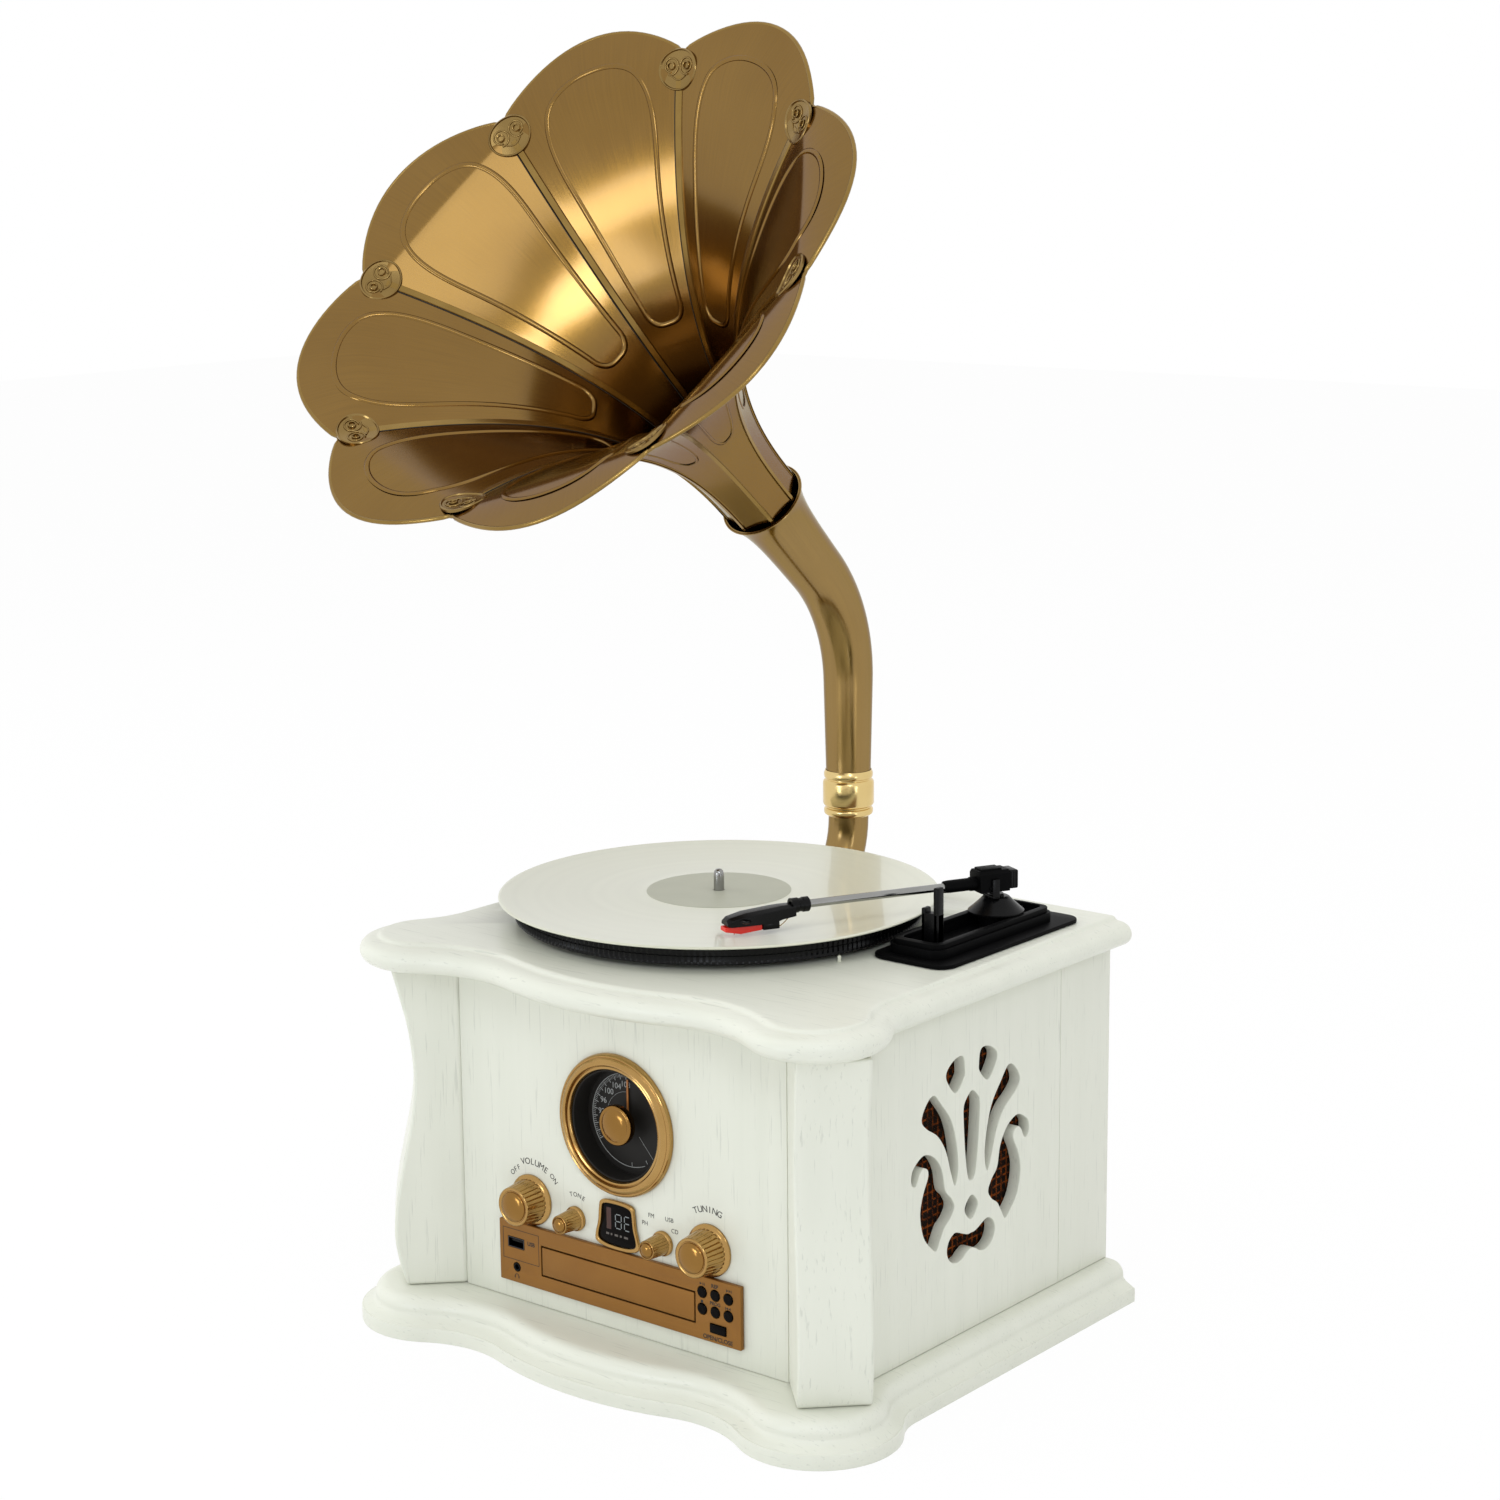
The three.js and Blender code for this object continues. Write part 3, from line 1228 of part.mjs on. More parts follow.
// Turntable: chassis and bearing, platter, record, spindle, motor, pulley and belt
function buildTurntable() {
  const place = [spindleX, spindleY, 0];
  const [motorX, motorY] = motorPlace();
  const chassisFoot = boardTop + gap;
  const chassisTop = chassisFoot + chassisThickness;
  const bore = spindleRadius + gap;
  const bearingFoot = chassisFoot - bearingDepth;
  const chassis = turned([
    [bore, bearingFoot + overrun], [bore, bearingTop], [bearingRadius, bearingTop], [bearingRadius, chassisTop],
    [chassisRadius, chassisTop], [chassisRadius, chassisFoot], [bearingRadius, chassisFoot],
    [bearingRadius, bearingFoot], [0, bearingFoot], [0, bearingFoot + overrun],
  ], chassisSides);
  const pulleyHole = moved(
    disc(pulleyRadius + pulleyRim + overrun, chassisFoot - overrun, chassisTop + overrun, roundSides),
    motorX - spindleX, motorY - spindleY, 0,
  );
  add('deck_chassis', cut(chassis, pulleyHole), blackPlastic, player, place);

  const hubFoot = bearingTop + gap;
  const deck = platterTop - platterWall;
  const ringFoot = platterFoot + overrun / 2;
  const rim = platterRadius - platterWall;
  add('platter', turned([
    [bore, hubFoot], [bearingRadius, hubFoot], [bearingRadius, deck], [platterRing - platterRingWall, deck],
    [platterRing - platterRingWall, ringFoot], [platterRing, ringFoot], [platterRing, deck], [rim, deck],
    [rim, platterFoot], [platterRadius, platterFoot], [platterRadius, platterTop - platterLip],
    [platterRadius - platterLip, platterTop], [bore, platterTop],
  ], platterSides), blackPlastic, player, place);

  const recordFoot = platterTop + gap;
  const recordTop = recordFoot + recordThickness;
  const grooves = recordTop - recordBeadHeight;
  add('record', turned([
    [bore, recordFoot], [recordRadius - recordBead, recordFoot], [recordRadius, recordFoot + recordBeadHeight],
    [recordRadius, grooves], [recordRadius - recordBead / 2, recordTop], [recordRadius - recordBead, grooves],
    [labelRadius, grooves], [bore, recordTop],
  ], platterSides), vinyl, player, place);

  const spindleFoot = bearingFoot + overrun + gap;
  add('spindle', turned([
    [0, spindleFoot], [spindleRadius, spindleFoot], [spindleRadius, spindleTop - spindleTip * 1.5],
    [spindleRadius * 0.9, spindleTop - spindleTip / 2], [spindleRadius * 0.5, spindleTop], [0, spindleTop],
  ], roundSides), steel, player, place);

  const motorTop = chassisFoot - gap;
  const shaftFoot = motorTop - motorHeight / 3;
  add('motor', turned([
    [motorShaft + gap, shaftFoot], [motorShaft + gap, motorTop], [motorRadius, motorTop], [motorRadius, motorTop - motorHeight],
    [0, motorTop - motorHeight], [0, shaftFoot],
  ], motorSides), steel, player, [motorX, motorY, 0]);
  const flangeTop = beltFoot - gap;
  add('motor_pulley', turned([
    [0, shaftFoot + gap], [motorShaft, shaftFoot + gap], [motorShaft, flangeTop - pulleyRim],
    [pulleyRadius + pulleyRim, flangeTop - pulleyRim], [pulleyRadius + pulleyRim, flangeTop - pulleyRim / 2],
    [pulleyRadius, flangeTop], [pulleyRadius, pulleyTop], [0, pulleyTop],
  ], roundSides), steel, player, [motorX, motorY, 0]);
  buildBelt(motorX, motorY);
}

// The belt runs straight between the platter's inner ring and the motor pulley.
function beltLoop(extra) {
  const pulleySteps = beltSteps / 4;
  const lean = Math.acos((platterRing - pulleyRadius) / motorDistance);
  const bigStep = (fullTurn - lean * 2) / beltSteps;
  const smallStep = (lean * 2) / pulleySteps;
  const big = (platterRing + gap) / Math.cos(bigStep / 2) + extra;
  const small = (pulleyRadius + gap) / Math.cos(smallStep / 2) + extra;
  const points = [];
  for (let i = 0; i <= beltSteps; i += 1) {
    const angle = lean + bigStep * i;
    points.push(new THREE.Vector2(big * Math.cos(angle), big * Math.sin(angle)));
  }
  for (let i = 0; i <= pulleySteps; i += 1) {
    const angle = -lean + smallStep * i;
    points.push(new THREE.Vector2(motorDistance + small * Math.cos(angle), small * Math.sin(angle)));
  }
  return points;
}

function buildBelt() {
  const belt = plate(beltLoop(beltThickness), beltHeight, [beltLoop(0)]).rotateZ(motorBearing);
  add('drive_belt', belt, rubber, player, [spindleX, spindleY, beltFoot]);
}

// Tonearm base: flange and raised wall round a well, the turret and the arm rest
function buildArmBase() {
  const foot = boardTop + gap;
  const flangeOutline = roundedRectangle(
    baseFlangeHalfWidth, baseFlangeHalfLength, baseFlangeCorner, baseCornerSteps, baseMiddleX, baseMiddleY,
  );
  const flange = plate(flangeOutline, baseFlangeHeight);
  const wallOutline = roundedRectangle(
    baseWallHalfWidth, baseWallHalfLength, baseWallCorner, baseCornerSteps, baseWallMiddleX, baseWallMiddleY,
  );
  const wall = plate(wallOutline, baseWallTop - foot);
  const wellOutline = roundedRectangle(
    baseWellHalfWidth, baseWellHalfLength, baseWellCorner, baseCornerSteps, baseWallMiddleX, baseWellMiddleY,
  );
  const well = moved(plate(wellOutline, baseWallTop), 0, 0, baseWellFloor);
  const body = join(moved(flange, 0, 0, foot), moved(wall, 0, 0, foot));
  add('tonearm_base', cut(body, well), blackPlastic);

  const top = turretTop;
  const at = (share) => baseWallTop + gap + (top - baseWallTop - gap) * share;
  const boreFoot = top - turretBoreDepth;
  add('tonearm_turret', turned([
    [yokePin + gap, boreFoot], [yokePin + gap, top], [turretNose, top], [turretNose * 1.25, at(0.75)],
    [turretRadius * 0.66, at(0.4)], [turretRadius, at(0) + turretSkirt], [turretRadius, at(0)],
    [turretSpigot, at(0)], [turretSpigot, baseWellFloor + gap], [0, baseWellFloor + gap], [0, boreFoot],
  ], turretSides), blackPlastic, player, [armX, armY, 0]);

  const restX0 = armX - restProngGap / 2 - restInnerWidth;
  const restX1 = armX + restProngGap / 2 + restOuterWidth;
  const y0 = restY - restLength / 2;
  const y1 = restY + restLength / 2;
  const sill = restInnerTop - restFoot;
  const innerProng = boxBetween(restX0, restX0 + restInnerWidth, y0, y1, baseWellFloor + gap, restInnerTop);
  const outerProng = boxBetween(restX1 - restOuterWidth, restX1, y0, y1, baseWellFloor + gap, restOuterTop);
  const web = boxBetween(restX0, restX1, y0, y1, baseWellFloor + gap, sill);
  add('arm_rest', join(innerProng, outerProng, web), blackPlastic);
}

// Tonearm, drawn pointing along -Y from its turret and turned with its group
function buildArm() {
  const discFoot = turretTop + gap;
  const discTop = discFoot + yokeDiscThickness;
  const cheekInner = blockHalfWidth + gap;
  const cheekOuter = cheekInner + yokeCheek;
  const cheek = (side) => boxBetween(
    side > 0 ? cheekInner : -cheekOuter, side > 0 ? cheekOuter : -cheekInner,
    -liftForward - yokeCheekWidth / 2, -liftForward + yokeCheekWidth / 2, discFoot, yokeCheekTop,
  );
  const bridge = boxBetween(
    -cheekOuter, cheekOuter, -liftForward - yokeCheekWidth / 2, -liftForward + yokeCheekWidth / 2, discFoot, discTop,
  );
  const trunnion = (side) => {
    const pin = disc(yokeTrunnion, -cheekInner / 2, yokeCheek / 2, shaftSides).rotateY(quarterTurn * side);
    return moved(pin, side * cheekInner, -liftForward, liftZ);
  };
  add('tonearm_yoke', join(
    disc(yokeDisc, discFoot, discTop, roundSides), disc(yokePin, discFoot - yokePinLength, discTop, roundSides),
    bridge, cheek(-1), cheek(1), trunnion(-1), trunnion(1),
  ), blackPlastic, armGroup);

  const profile = [
    [-blockHalfWidth, blockFoot], [blockHalfWidth, blockFoot], [blockHalfWidth, blockTop - blockChamfer],
    [blockHalfWidth - blockChamfer, blockTop], [blockChamfer - blockHalfWidth, blockTop],
    [-blockHalfWidth, blockTop - blockChamfer],
  ].map(([x, z]) => new THREE.Vector2(x, z));
  const body = moved(plate(profile, blockForward + blockBack).rotateX(quarterTurn), 0, blockBack, 0);
  const alongArm = (radius, from, to, sides) => moved(
    disc(radius, from, to, sides).rotateX(quarterTurn), 0, 0, liftZ,
  );
  const sleeveEnd = blockForward + sleeveLength;
  const sleeve = alongArm(sleeveRadius, blockForward - overrun, sleeveEnd, roundSides);
  const bore = alongArm(tubeRadius + gap, tubeStart - gap, sleeveEnd + overrun, roundSides);
  const seats = [-1, 1].map((side) => {
    const hole = disc(yokeTrunnion + gap, -cheekInner / 2 - gap, yokeCheek, shaftSides).rotateY(quarterTurn * side);
    return moved(hole, side * cheekInner, -liftForward, liftZ);
  });
  add('tonearm_block', cut(join(body, sleeve), bore, ...seats), blackPlastic, armGroup);
  add('tonearm_tube', alongArm(tubeRadius, tubeStart, tubeEnd, roundSides), steel, armGroup);

  const weight = boxBetween(
    -weightHalfWidth, weightHalfWidth, blockBack + gap, blockBack + gap + weightLength, weightFoot, weightTop,
  );
  add('counterweight', weight, blackPlastic, armGroup);
  buildHeadshell(alongArm);
}

function buildHeadshell(alongArm) {
  const nose = shellHalfWidth * shellNoseShare;
  const outline = [
    [-shellHalfWidth, -collarEnd], [shellHalfWidth, -collarEnd],
    [shellHalfWidth, -(collarEnd + shellEnd) / 2], [nose, -shellEnd], [-nose, -shellEnd],
    [-shellHalfWidth, -(collarEnd + shellEnd) / 2],
  ].map(([x, y]) => new THREE.Vector2(x, y));
  const body = moved(plate(outline, shellTop - shellFoot), 0, 0, shellFoot);
  const slopeCut = boxBetween(-shellHalfWidth - overrun, shellHalfWidth + overrun, -shellEnd, 0, 0, shellTop - shellFoot);
  const lean = Math.atan2(shellTop - shellFoot, shellEnd - collarEnd) / 2;
  const wedge = moved(slopeCut, 0, shellEnd, 0).rotateX(lean);
  const collar = alongArm(shellCollarRadius, collarStart, collarEnd + overrun, roundSides);
  const bore = alongArm(tubeRadius + gap, collarStart - overrun, tubeEnd + gap, roundSides);
  const cutFrom = (shellTop + shellFoot) / 2;
  const trimmed = cut(body, moved(wedge, 0, -shellEnd, cutFrom));
  add('headshell', cut(join(trimmed, collar), bore), blackPlastic, armGroup);

  const cartridge = boxBetween(
    -cartridgeHalfWidth, cartridgeHalfWidth, -stylusNose, -styliStart, cartridgeFoot, shellFoot - gap,
  );
  const needle = skinned([
    rectangle(-needleHalfWidth / 4, needleHalfWidth / 4, -stylusReach - needleHalfWidth / 4, -stylusReach + needleHalfWidth / 4),
    rectangle(-needleHalfWidth, needleHalfWidth, -stylusReach - needleHalfWidth, -stylusReach + needleHalfWidth),
  ].map((ring, i) => ring.map((p) => new THREE.Vector3(p.x, p.y, i ? cartridgeFoot + gap : stylusTip))), false);
  add('stylus_cartridge', join(cartridge, needle), redPlastic, armGroup);
}

buildPlinth();
buildTopBoard();
buildPosts();
buildSides();
buildSpeakers();
buildRear();
buildLowerPipe();
buildCollar();
buildElbow();
buildHorn();
buildFrontPanel();
buildDial();
buildKnobs();
buildDisplay();
buildCover();
buildKeys();
buildFrontSockets();
buildDrawer();
buildControlBoard();
buildMainBoard();
buildTurntable();
buildArmBase();
buildArm();

export default player;
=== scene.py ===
"""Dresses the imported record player: moulded white cabinet, pierced sides, brass horn, radio front and deck.

Sizes are in millimetres in the part's own frame: +X right, -Y front, +Z up, the origin under the cabinet.
"""

import logging
from contextlib import contextmanager
from dataclasses import dataclass
from enum import Enum
from math import atan2, copysign, cos, degrees, exp, hypot, pi, radians, sin, sqrt, tan, tau
from typing import Any, Callable, Iterator, Optional, Sequence

import bmesh
import bpy
from mathutils import Matrix, Vector

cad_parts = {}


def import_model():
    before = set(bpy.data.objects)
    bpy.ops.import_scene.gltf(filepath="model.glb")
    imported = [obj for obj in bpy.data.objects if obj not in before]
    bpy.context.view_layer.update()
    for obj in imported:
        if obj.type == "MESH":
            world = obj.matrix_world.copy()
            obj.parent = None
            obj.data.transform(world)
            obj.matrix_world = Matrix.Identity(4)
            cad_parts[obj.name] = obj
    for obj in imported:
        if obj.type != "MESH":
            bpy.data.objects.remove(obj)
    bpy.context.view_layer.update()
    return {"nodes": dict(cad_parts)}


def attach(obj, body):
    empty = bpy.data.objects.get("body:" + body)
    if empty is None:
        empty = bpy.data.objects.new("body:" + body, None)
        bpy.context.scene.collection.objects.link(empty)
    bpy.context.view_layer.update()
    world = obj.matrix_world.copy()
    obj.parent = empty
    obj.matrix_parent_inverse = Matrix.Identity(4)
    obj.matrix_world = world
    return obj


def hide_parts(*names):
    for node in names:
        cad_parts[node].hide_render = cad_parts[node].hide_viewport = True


Piece = bpy.types.Object
Material = bpy.types.Material
Flat = tuple[float, float]
Colour = tuple[float, float, float, float]
Ring = list[Vector]
Output = bpy.types.NodeSocket

MM = 0.001
# The bell's brass reads this attribute to lay its painted shade on the inner faces alone.
MOUTHWARD = "mouthward"  # the attribute that the brass of the bell reads

# Places that several pieces share, in millimetres. A piece on a CAD face stands proud of it by LIFT.
LIFT = 0.3
FRONT_FACE = -159.0
DIAL_HEIGHT = 169.5
KNOBS = {"volume": (-77.5, 101.5), "tuning": (77.5, 101.5), "tone": (-38.0, 97.0), "function": (38.0, 97.0)}
SPINDLE = (-33.0, -13.0)
MOTOR = (-93.18, 66.86)
ARM_PIVOT = (139.0, 71.0)
PIPE = (-107.0, 231.0)

logging.basicConfig(level=logging.INFO, format="%(message)s")
log = logging.getLogger("record_player")


class Slot(Enum):
    """The material slots."""

    WOOD = "painted_wood"
    BRASS = "antique_brass"
    BRONZE = "bronze_plastic"
    BLACK = "black_plastic"
    WINDOW = "dark_window"
    STEEL = "steel"
    CHROME = "chrome"
    VINYL = "white_vinyl"
    CLOTH = "grille_cloth"
    RED = "red_plastic"


class Grain(Enum):
    """Which way the grain of a wooden piece runs."""

    UPRIGHT = (1.0, 1.0, 0.045)
    ALONG_FRONT = (0.045, 1.0, 1.0)


# Modelling helpers


def turn_about(axis: str, angle: float) -> Matrix:
    """Gives the matrix of a turn in degrees about a main axis."""
    return Matrix.Rotation(radians(angle), 4, axis)


def moved(x: float, y: float, z: float) -> Matrix:
    """Gives the matrix of a move in millimetres."""
    return Matrix.Translation(Vector((x, y, z)) * MM)


# Matrices that lay a piece on the front, on a side, along the parked arm, about the spindle and about the pipe.
FRONT = moved(0, FRONT_FACE, 0) @ turn_about("X", 90)
SIDEWAYS = Matrix(((0, 0, 1, 0), (1, 0, 0, 0), (0, 1, 0, 0), (0, 0, 0, 1)))
ARM = moved(*ARM_PIVOT, 0) @ turn_about("Z", -27)
DECK = moved(*SPINDLE, 0)
HORN_GROUP = moved(*PIPE, 0) @ turn_about("Z", -0.5)


def select(*pieces: Piece) -> None:
    """Selects just these pieces, the first of them active.

    Args:
        *pieces: the pieces, the first of which becomes active.
    """
    bpy.ops.object.select_all(action="DESELECT")
    for piece in pieces:
        piece.select_set(True)
    bpy.context.view_layer.objects.active = pieces[0]


def named(name: str) -> Piece:
    """Names the object that an operator has just added.

    Args:
        name: the object's and its mesh's new name.

    Returns:
        The object.
    """
    piece = bpy.context.view_layer.objects.active
    piece.name = name
    piece.data.name = name
    return piece


@contextmanager
def editing(piece: Piece) -> Iterator[bmesh.types.BMesh]:
    """Opens a piece in edit mode with nothing selected.

    Args:
        piece: the mesh object to edit.

    Returns:
        Its edit mesh, for selecting by place.
    """
    select(piece)
    bpy.ops.object.mode_set(mode="EDIT")
    bpy.ops.mesh.select_all(action="DESELECT")
    yield bmesh.from_edit_mesh(piece.data)
    bpy.ops.object.mode_set(mode="OBJECT")


def modify(piece: Piece, kind: str, **settings: Any) -> Piece:
    """Adds a modifier and applies it.

    Args:
        piece: the piece to change.
        kind: the modifier's type.
        **settings: its settings.

    Returns:
        The same piece.
    """
    select(piece)
    bpy.ops.object.modifier_add(type=kind)
    modifier = piece.modifiers[-1]
    for key, value in settings.items():
        setattr(modifier, key, value)
    bpy.ops.object.modifier_apply(modifier=modifier.name)
    return piece


def rounded(piece: Piece, width: float, segments: int = 2, angle: float = 30) -> Piece:
    """Bevels the sharp edges by a width in millimetres."""
    return modify(piece, "BEVEL", width=width * MM, segments=segments, limit_method="ANGLE",
        angle_limit=radians(angle), use_clamp_overlap=True)


def smoothed(piece: Piece, angle: float = 35) -> Piece:
    """Shades smooth all but the edges sharper than an angle.

    Args:
        piece: the piece to shade.
        angle: the angle in degrees above which an edge stays sharp.

    Returns:
        The same piece.
    """
    select(piece)
    bpy.ops.object.shade_smooth_by_angle(angle=radians(angle))
    return piece


def welded(piece: Piece, capped: bool = False, outward: bool = True) -> Piece:
    """Merges doubles, closes open ends and turns the faces outwards.

    Args:
        piece: the mesh to weld.
        capped: whether its open ends are filled.
        outward: whether the normals are worked out afresh.

    Returns:
        The same piece.
    """
    with editing(piece):
        bpy.ops.mesh.select_all(action="SELECT")
        bpy.ops.mesh.remove_doubles(threshold=0.002 * MM)
        if capped:
            bpy.ops.mesh.fill_holes(sides=0)
            bpy.ops.mesh.select_all(action="SELECT")
        if outward:
            bpy.ops.mesh.normals_make_consistent(inside=False)
    return piece


def placed(piece: Piece, matrix: Matrix) -> Piece:
    """Puts a piece in place, with the place in its mesh.

    Args:
        piece: the piece to place.
        matrix: its place.

    Returns:
        The same piece.
    """
    piece.matrix_world = matrix
    select(piece)
    bpy.ops.object.transform_apply(location=True, rotation=True, scale=True)
    return piece


def copied(piece: Piece, name: str, matrix: Matrix) -> Piece:
    """Copies a finished piece with its own mesh and moves the copy.

    Args:
        piece: the piece that is repeated.
        name: the copy's name.
        matrix: the copy's move from the first one.

    Returns:
        The copy.
    """
    select(piece)
    bpy.ops.object.duplicate(linked=False)
    return placed(named(name), matrix)


def joined(name: str, pieces: Sequence[Piece]) -> Piece:
    """Joins pieces into one object.

    Args:
        name: the joined piece's name.
        pieces: what is joined, the first taking in the rest.

    Returns:
        The joined piece.
    """
    select(*pieces)
    if len(pieces) > 1:
        bpy.ops.object.join()
    return named(name)


def carved(piece: Piece, *cutters: Piece) -> Piece:
    """Cuts other solids out of a piece and deletes them.

    Args:
        piece: the piece to cut.
        *cutters: the solids that are cut out of it.

    Returns:
        The same piece.
    """
    for cutter in cutters:
        modify(piece, "BOOLEAN", operation="DIFFERENCE", solver="EXACT", object=cutter)
        select(cutter)
        bpy.ops.object.delete()
    return piece


def turned(name: str, profile: Sequence[Flat], steps: int = 64, ring: bool = False,
        shape: Optional[Callable[[Vector], float]] = None) -> Piece:
    """Turns a profile about the Z axis, as on a lathe.

    Args:
        name: the piece's name.
        profile: radius and height of its points, in millimetres.
        steps: how many flats the turn has.
        ring: whether the profile closes on itself.
        shape: gives the factor by which a point's radius changes.

    Returns:
        The turned piece.
    """
    bpy.ops.object.select_all(action="DESELECT")
    bpy.ops.mesh.primitive_plane_add(size=MM)
    piece = named(name)
    points = [Vector((radius, 0, height)) * MM for radius, height in profile]
    if ring:
        points.append(points[0])
    with editing(piece):
        bpy.ops.mesh.select_all(action="SELECT")
        bpy.ops.mesh.merge(type="CENTER")
        bpy.ops.transform.translate(value=points[0])
        for start, end in zip(points, points[1:]):
            bpy.ops.mesh.extrude_region_move(TRANSFORM_OT_translate={"value": end - start})
        bpy.ops.mesh.select_all(action="SELECT")
        bpy.ops.mesh.spin(steps=steps, angle=tau, center=(0, 0, 0), axis=(0, 0, 1))
    if shape:
        for vertex in piece.data.vertices:
            factor = shape(vertex.co)
            vertex.co.x *= factor
            vertex.co.y *= factor
    return smoothed(welded(piece))


def lofted(name: str, rows: Sequence[Ring], closed: bool = True, capped: bool = False) -> Piece:
    """Lays a grid over rows of points, its own UV map running with it.

    Args:
        name: the piece's name.
        rows: rows of points in millimetres, all of one length.
        closed: whether each row closes on itself.
        capped: whether the first and last row are filled.

    Returns:
        The sheet or solid.
    """
    count = len(rows[0])
    columns = count if closed else count - 1
    bpy.ops.object.select_all(action="DESELECT")
    bpy.ops.mesh.primitive_grid_add(x_subdivisions=columns, y_subdivisions=len(rows) - 1, size=1)
    piece = named(name)
    for vertex in piece.data.vertices:
        column = round((vertex.co.x + 0.5) * columns)
        row = round((vertex.co.y + 0.5) * (len(rows) - 1))
        vertex.co = rows[row][column % count] * MM
    return smoothed(welded(piece, capped, outward=capped))


def flat_curve(name: str, loops: Sequence[Sequence[Flat]]) -> Piece:
    """Makes a filled flat curve of closed outlines, the inner ones being holes.

    Args:
        name: the curve's name.
        loops: the outline and the holes, in millimetres.

    Returns:
        The curve.
    """
    curve = bpy.data.curves.new(name, "CURVE")
    curve.dimensions = "2D"
    curve.fill_mode = "BOTH"
    for loop in loops:
        spline = curve.splines.new("POLY")
        spline.points.add(len(loop) - 1)
        spline.use_cyclic_u = True
        for point, (x, y) in zip(spline.points, loop):
            point.co = (x * MM, y * MM, 0, 1)
    piece = bpy.data.objects.new(name, curve)
    bpy.context.collection.objects.link(piece)
    return piece


def sawn(name: str, loops: Sequence[Sequence[Flat]], thickness: float, arris: float) -> Piece:
    """Saws a board with holes and rounds its edges.

    Args:
        name: the piece's name.
        loops: the outline and the holes, in millimetres.
        thickness: the board's thickness, from z zero up.
        arris: how far the edges are rounded.

    Returns:
        The board, lying flat.
    """
    piece = flat_curve(name, loops)
    piece.data.extrude = (thickness / 2 - arris) * MM
    piece.data.bevel_depth = arris * MM
    piece.data.bevel_resolution = 2
    piece.data.offset = -arris * MM
    select(piece)
    bpy.ops.object.convert(target="MESH")
    piece = named(name)
    return smoothed(welded(placed(piece, moved(0, 0, thickness / 2))), 40)


def wire(name: str, points: Ring, radius: float, closed: bool = False) -> Piece:
    """Bends a round wire along points in millimetres.

    Args:
        name: the wire's name.
        points: where it runs.
        radius: half its thickness.
        closed: whether it ends where it starts.

    Returns:
        The wire.
    """
    curve = bpy.data.curves.new(name, "CURVE")
    curve.dimensions = "3D"
    curve.bevel_depth = radius * MM
    curve.bevel_resolution = 2
    curve.use_fill_caps = not closed
    spline = curve.splines.new("POLY")
    spline.points.add(len(points) - 1)
    spline.use_cyclic_u = closed
    for point, place in zip(spline.points, points):
        point.co = (*(place * MM), 1)
    piece = bpy.data.objects.new(name, curve)
    bpy.context.collection.objects.link(piece)
    select(piece)
    bpy.ops.object.convert(target="MESH")
    return smoothed(welded(named(name)), 60)


def block(name: str, low: Sequence[float], high: Sequence[float], arris: float = 0.4, segments: int = 2) -> Piece:
    """Makes a block with rounded edges between two corners.

    Args:
        name: the piece's name.
        low: its lowest corner in millimetres.
        high: its highest corner.
        arris: how far the edges are rounded.
        segments: how many flats a rounding has.

    Returns:
        The block.
    """
    bpy.ops.object.select_all(action="DESELECT")
    bpy.ops.mesh.primitive_cube_add(size=1)
    piece = named(name)
    middle = [(a + b) / 2 for a, b in zip(low, high)]
    size = Vector([b - a for a, b in zip(low, high)]) * MM
    placed(piece, moved(*middle) @ Matrix.Diagonal((*size, 1)))
    return smoothed(rounded(piece, arris, segments)) if arris else piece


def lettered(text: str, size: float, x: float, y: float, lean: float = 0, bold: float = 0.0) -> Piece:
    """Prints one run of plain letters, flat and centred on a point.

    Args:
        text: the letters.
        size: their height.
        x: the middle, across.
        y: the middle, up.
        lean: the turn in degrees.
        bold: how far each stroke swells, as a share of the size.

    Returns:
        The letters as one piece.
    """
    bpy.ops.object.select_all(action="DESELECT")
    bpy.ops.object.text_add()
    piece = named("letters")
    piece.data.body = text
    piece.data.size = size * MM
    piece.data.extrude = 0.03 * MM
    piece.data.offset = bold * size * MM
    piece.data.align_x = "CENTER"
    piece.data.align_y = "CENTER"
    bpy.ops.object.convert(target="MESH")
    return placed(piece, moved(x, y, 0) @ turn_about("Z", lean))


def lettered_arc(text: str, size: float, centre: Flat, radius: float, middle: float, pitch: float) -> list[Piece]:
    """Prints letters on an arc.

    Args:
        text: the word.
        size: the height of its letters.
        centre: the centre of the arc.
        radius: the arc's radius.
        middle: the angle of the word's middle, clockwise from the top, in degrees.
        pitch: degrees from letter to letter.

    Returns:
        One piece for each letter.
    """
    letters = []
    for i, letter in enumerate(text):
        angle = middle + (i - (len(text) - 1) / 2) * pitch
        x = centre[0] + radius * sin(radians(angle))
        y = centre[1] + radius * cos(radians(angle))
        letters.append(lettered(letter, size, x, y, -angle))
    return letters


def smooth_run(points: Sequence[Flat], steps: int, closed: bool = False) -> list[Flat]:
    """Draws a smooth line through points.

    Args:
        points: the points that it passes.
        steps: how many points it gets from one to the next.
        closed: whether it comes back to its start.

    Returns:
        The points of the smooth line.
    """
    count = len(points)
    spans = count if closed else count - 1

    def pick(i: int) -> Flat:
        """Gives a point by its number, going round or stopping at the ends."""
        return points[i % count] if closed else points[min(max(i, 0), count - 1)]

    run = []
    for i in range(spans):
        a, b, c, d = pick(i - 1), pick(i), pick(i + 1), pick(i + 2)
        for step in range(steps):
            t = step / steps
            run.append(tuple(
                0.5 * (2 * q + (r - p) * t + (2 * p - 5 * q + 4 * r - s) * t * t + (3 * q - p - 3 * r + s) * t ** 3)
                for p, q, r, s in zip(a, b, c, d)
            ))
    if not closed:
        run.append(tuple(points[-1]))
    return run


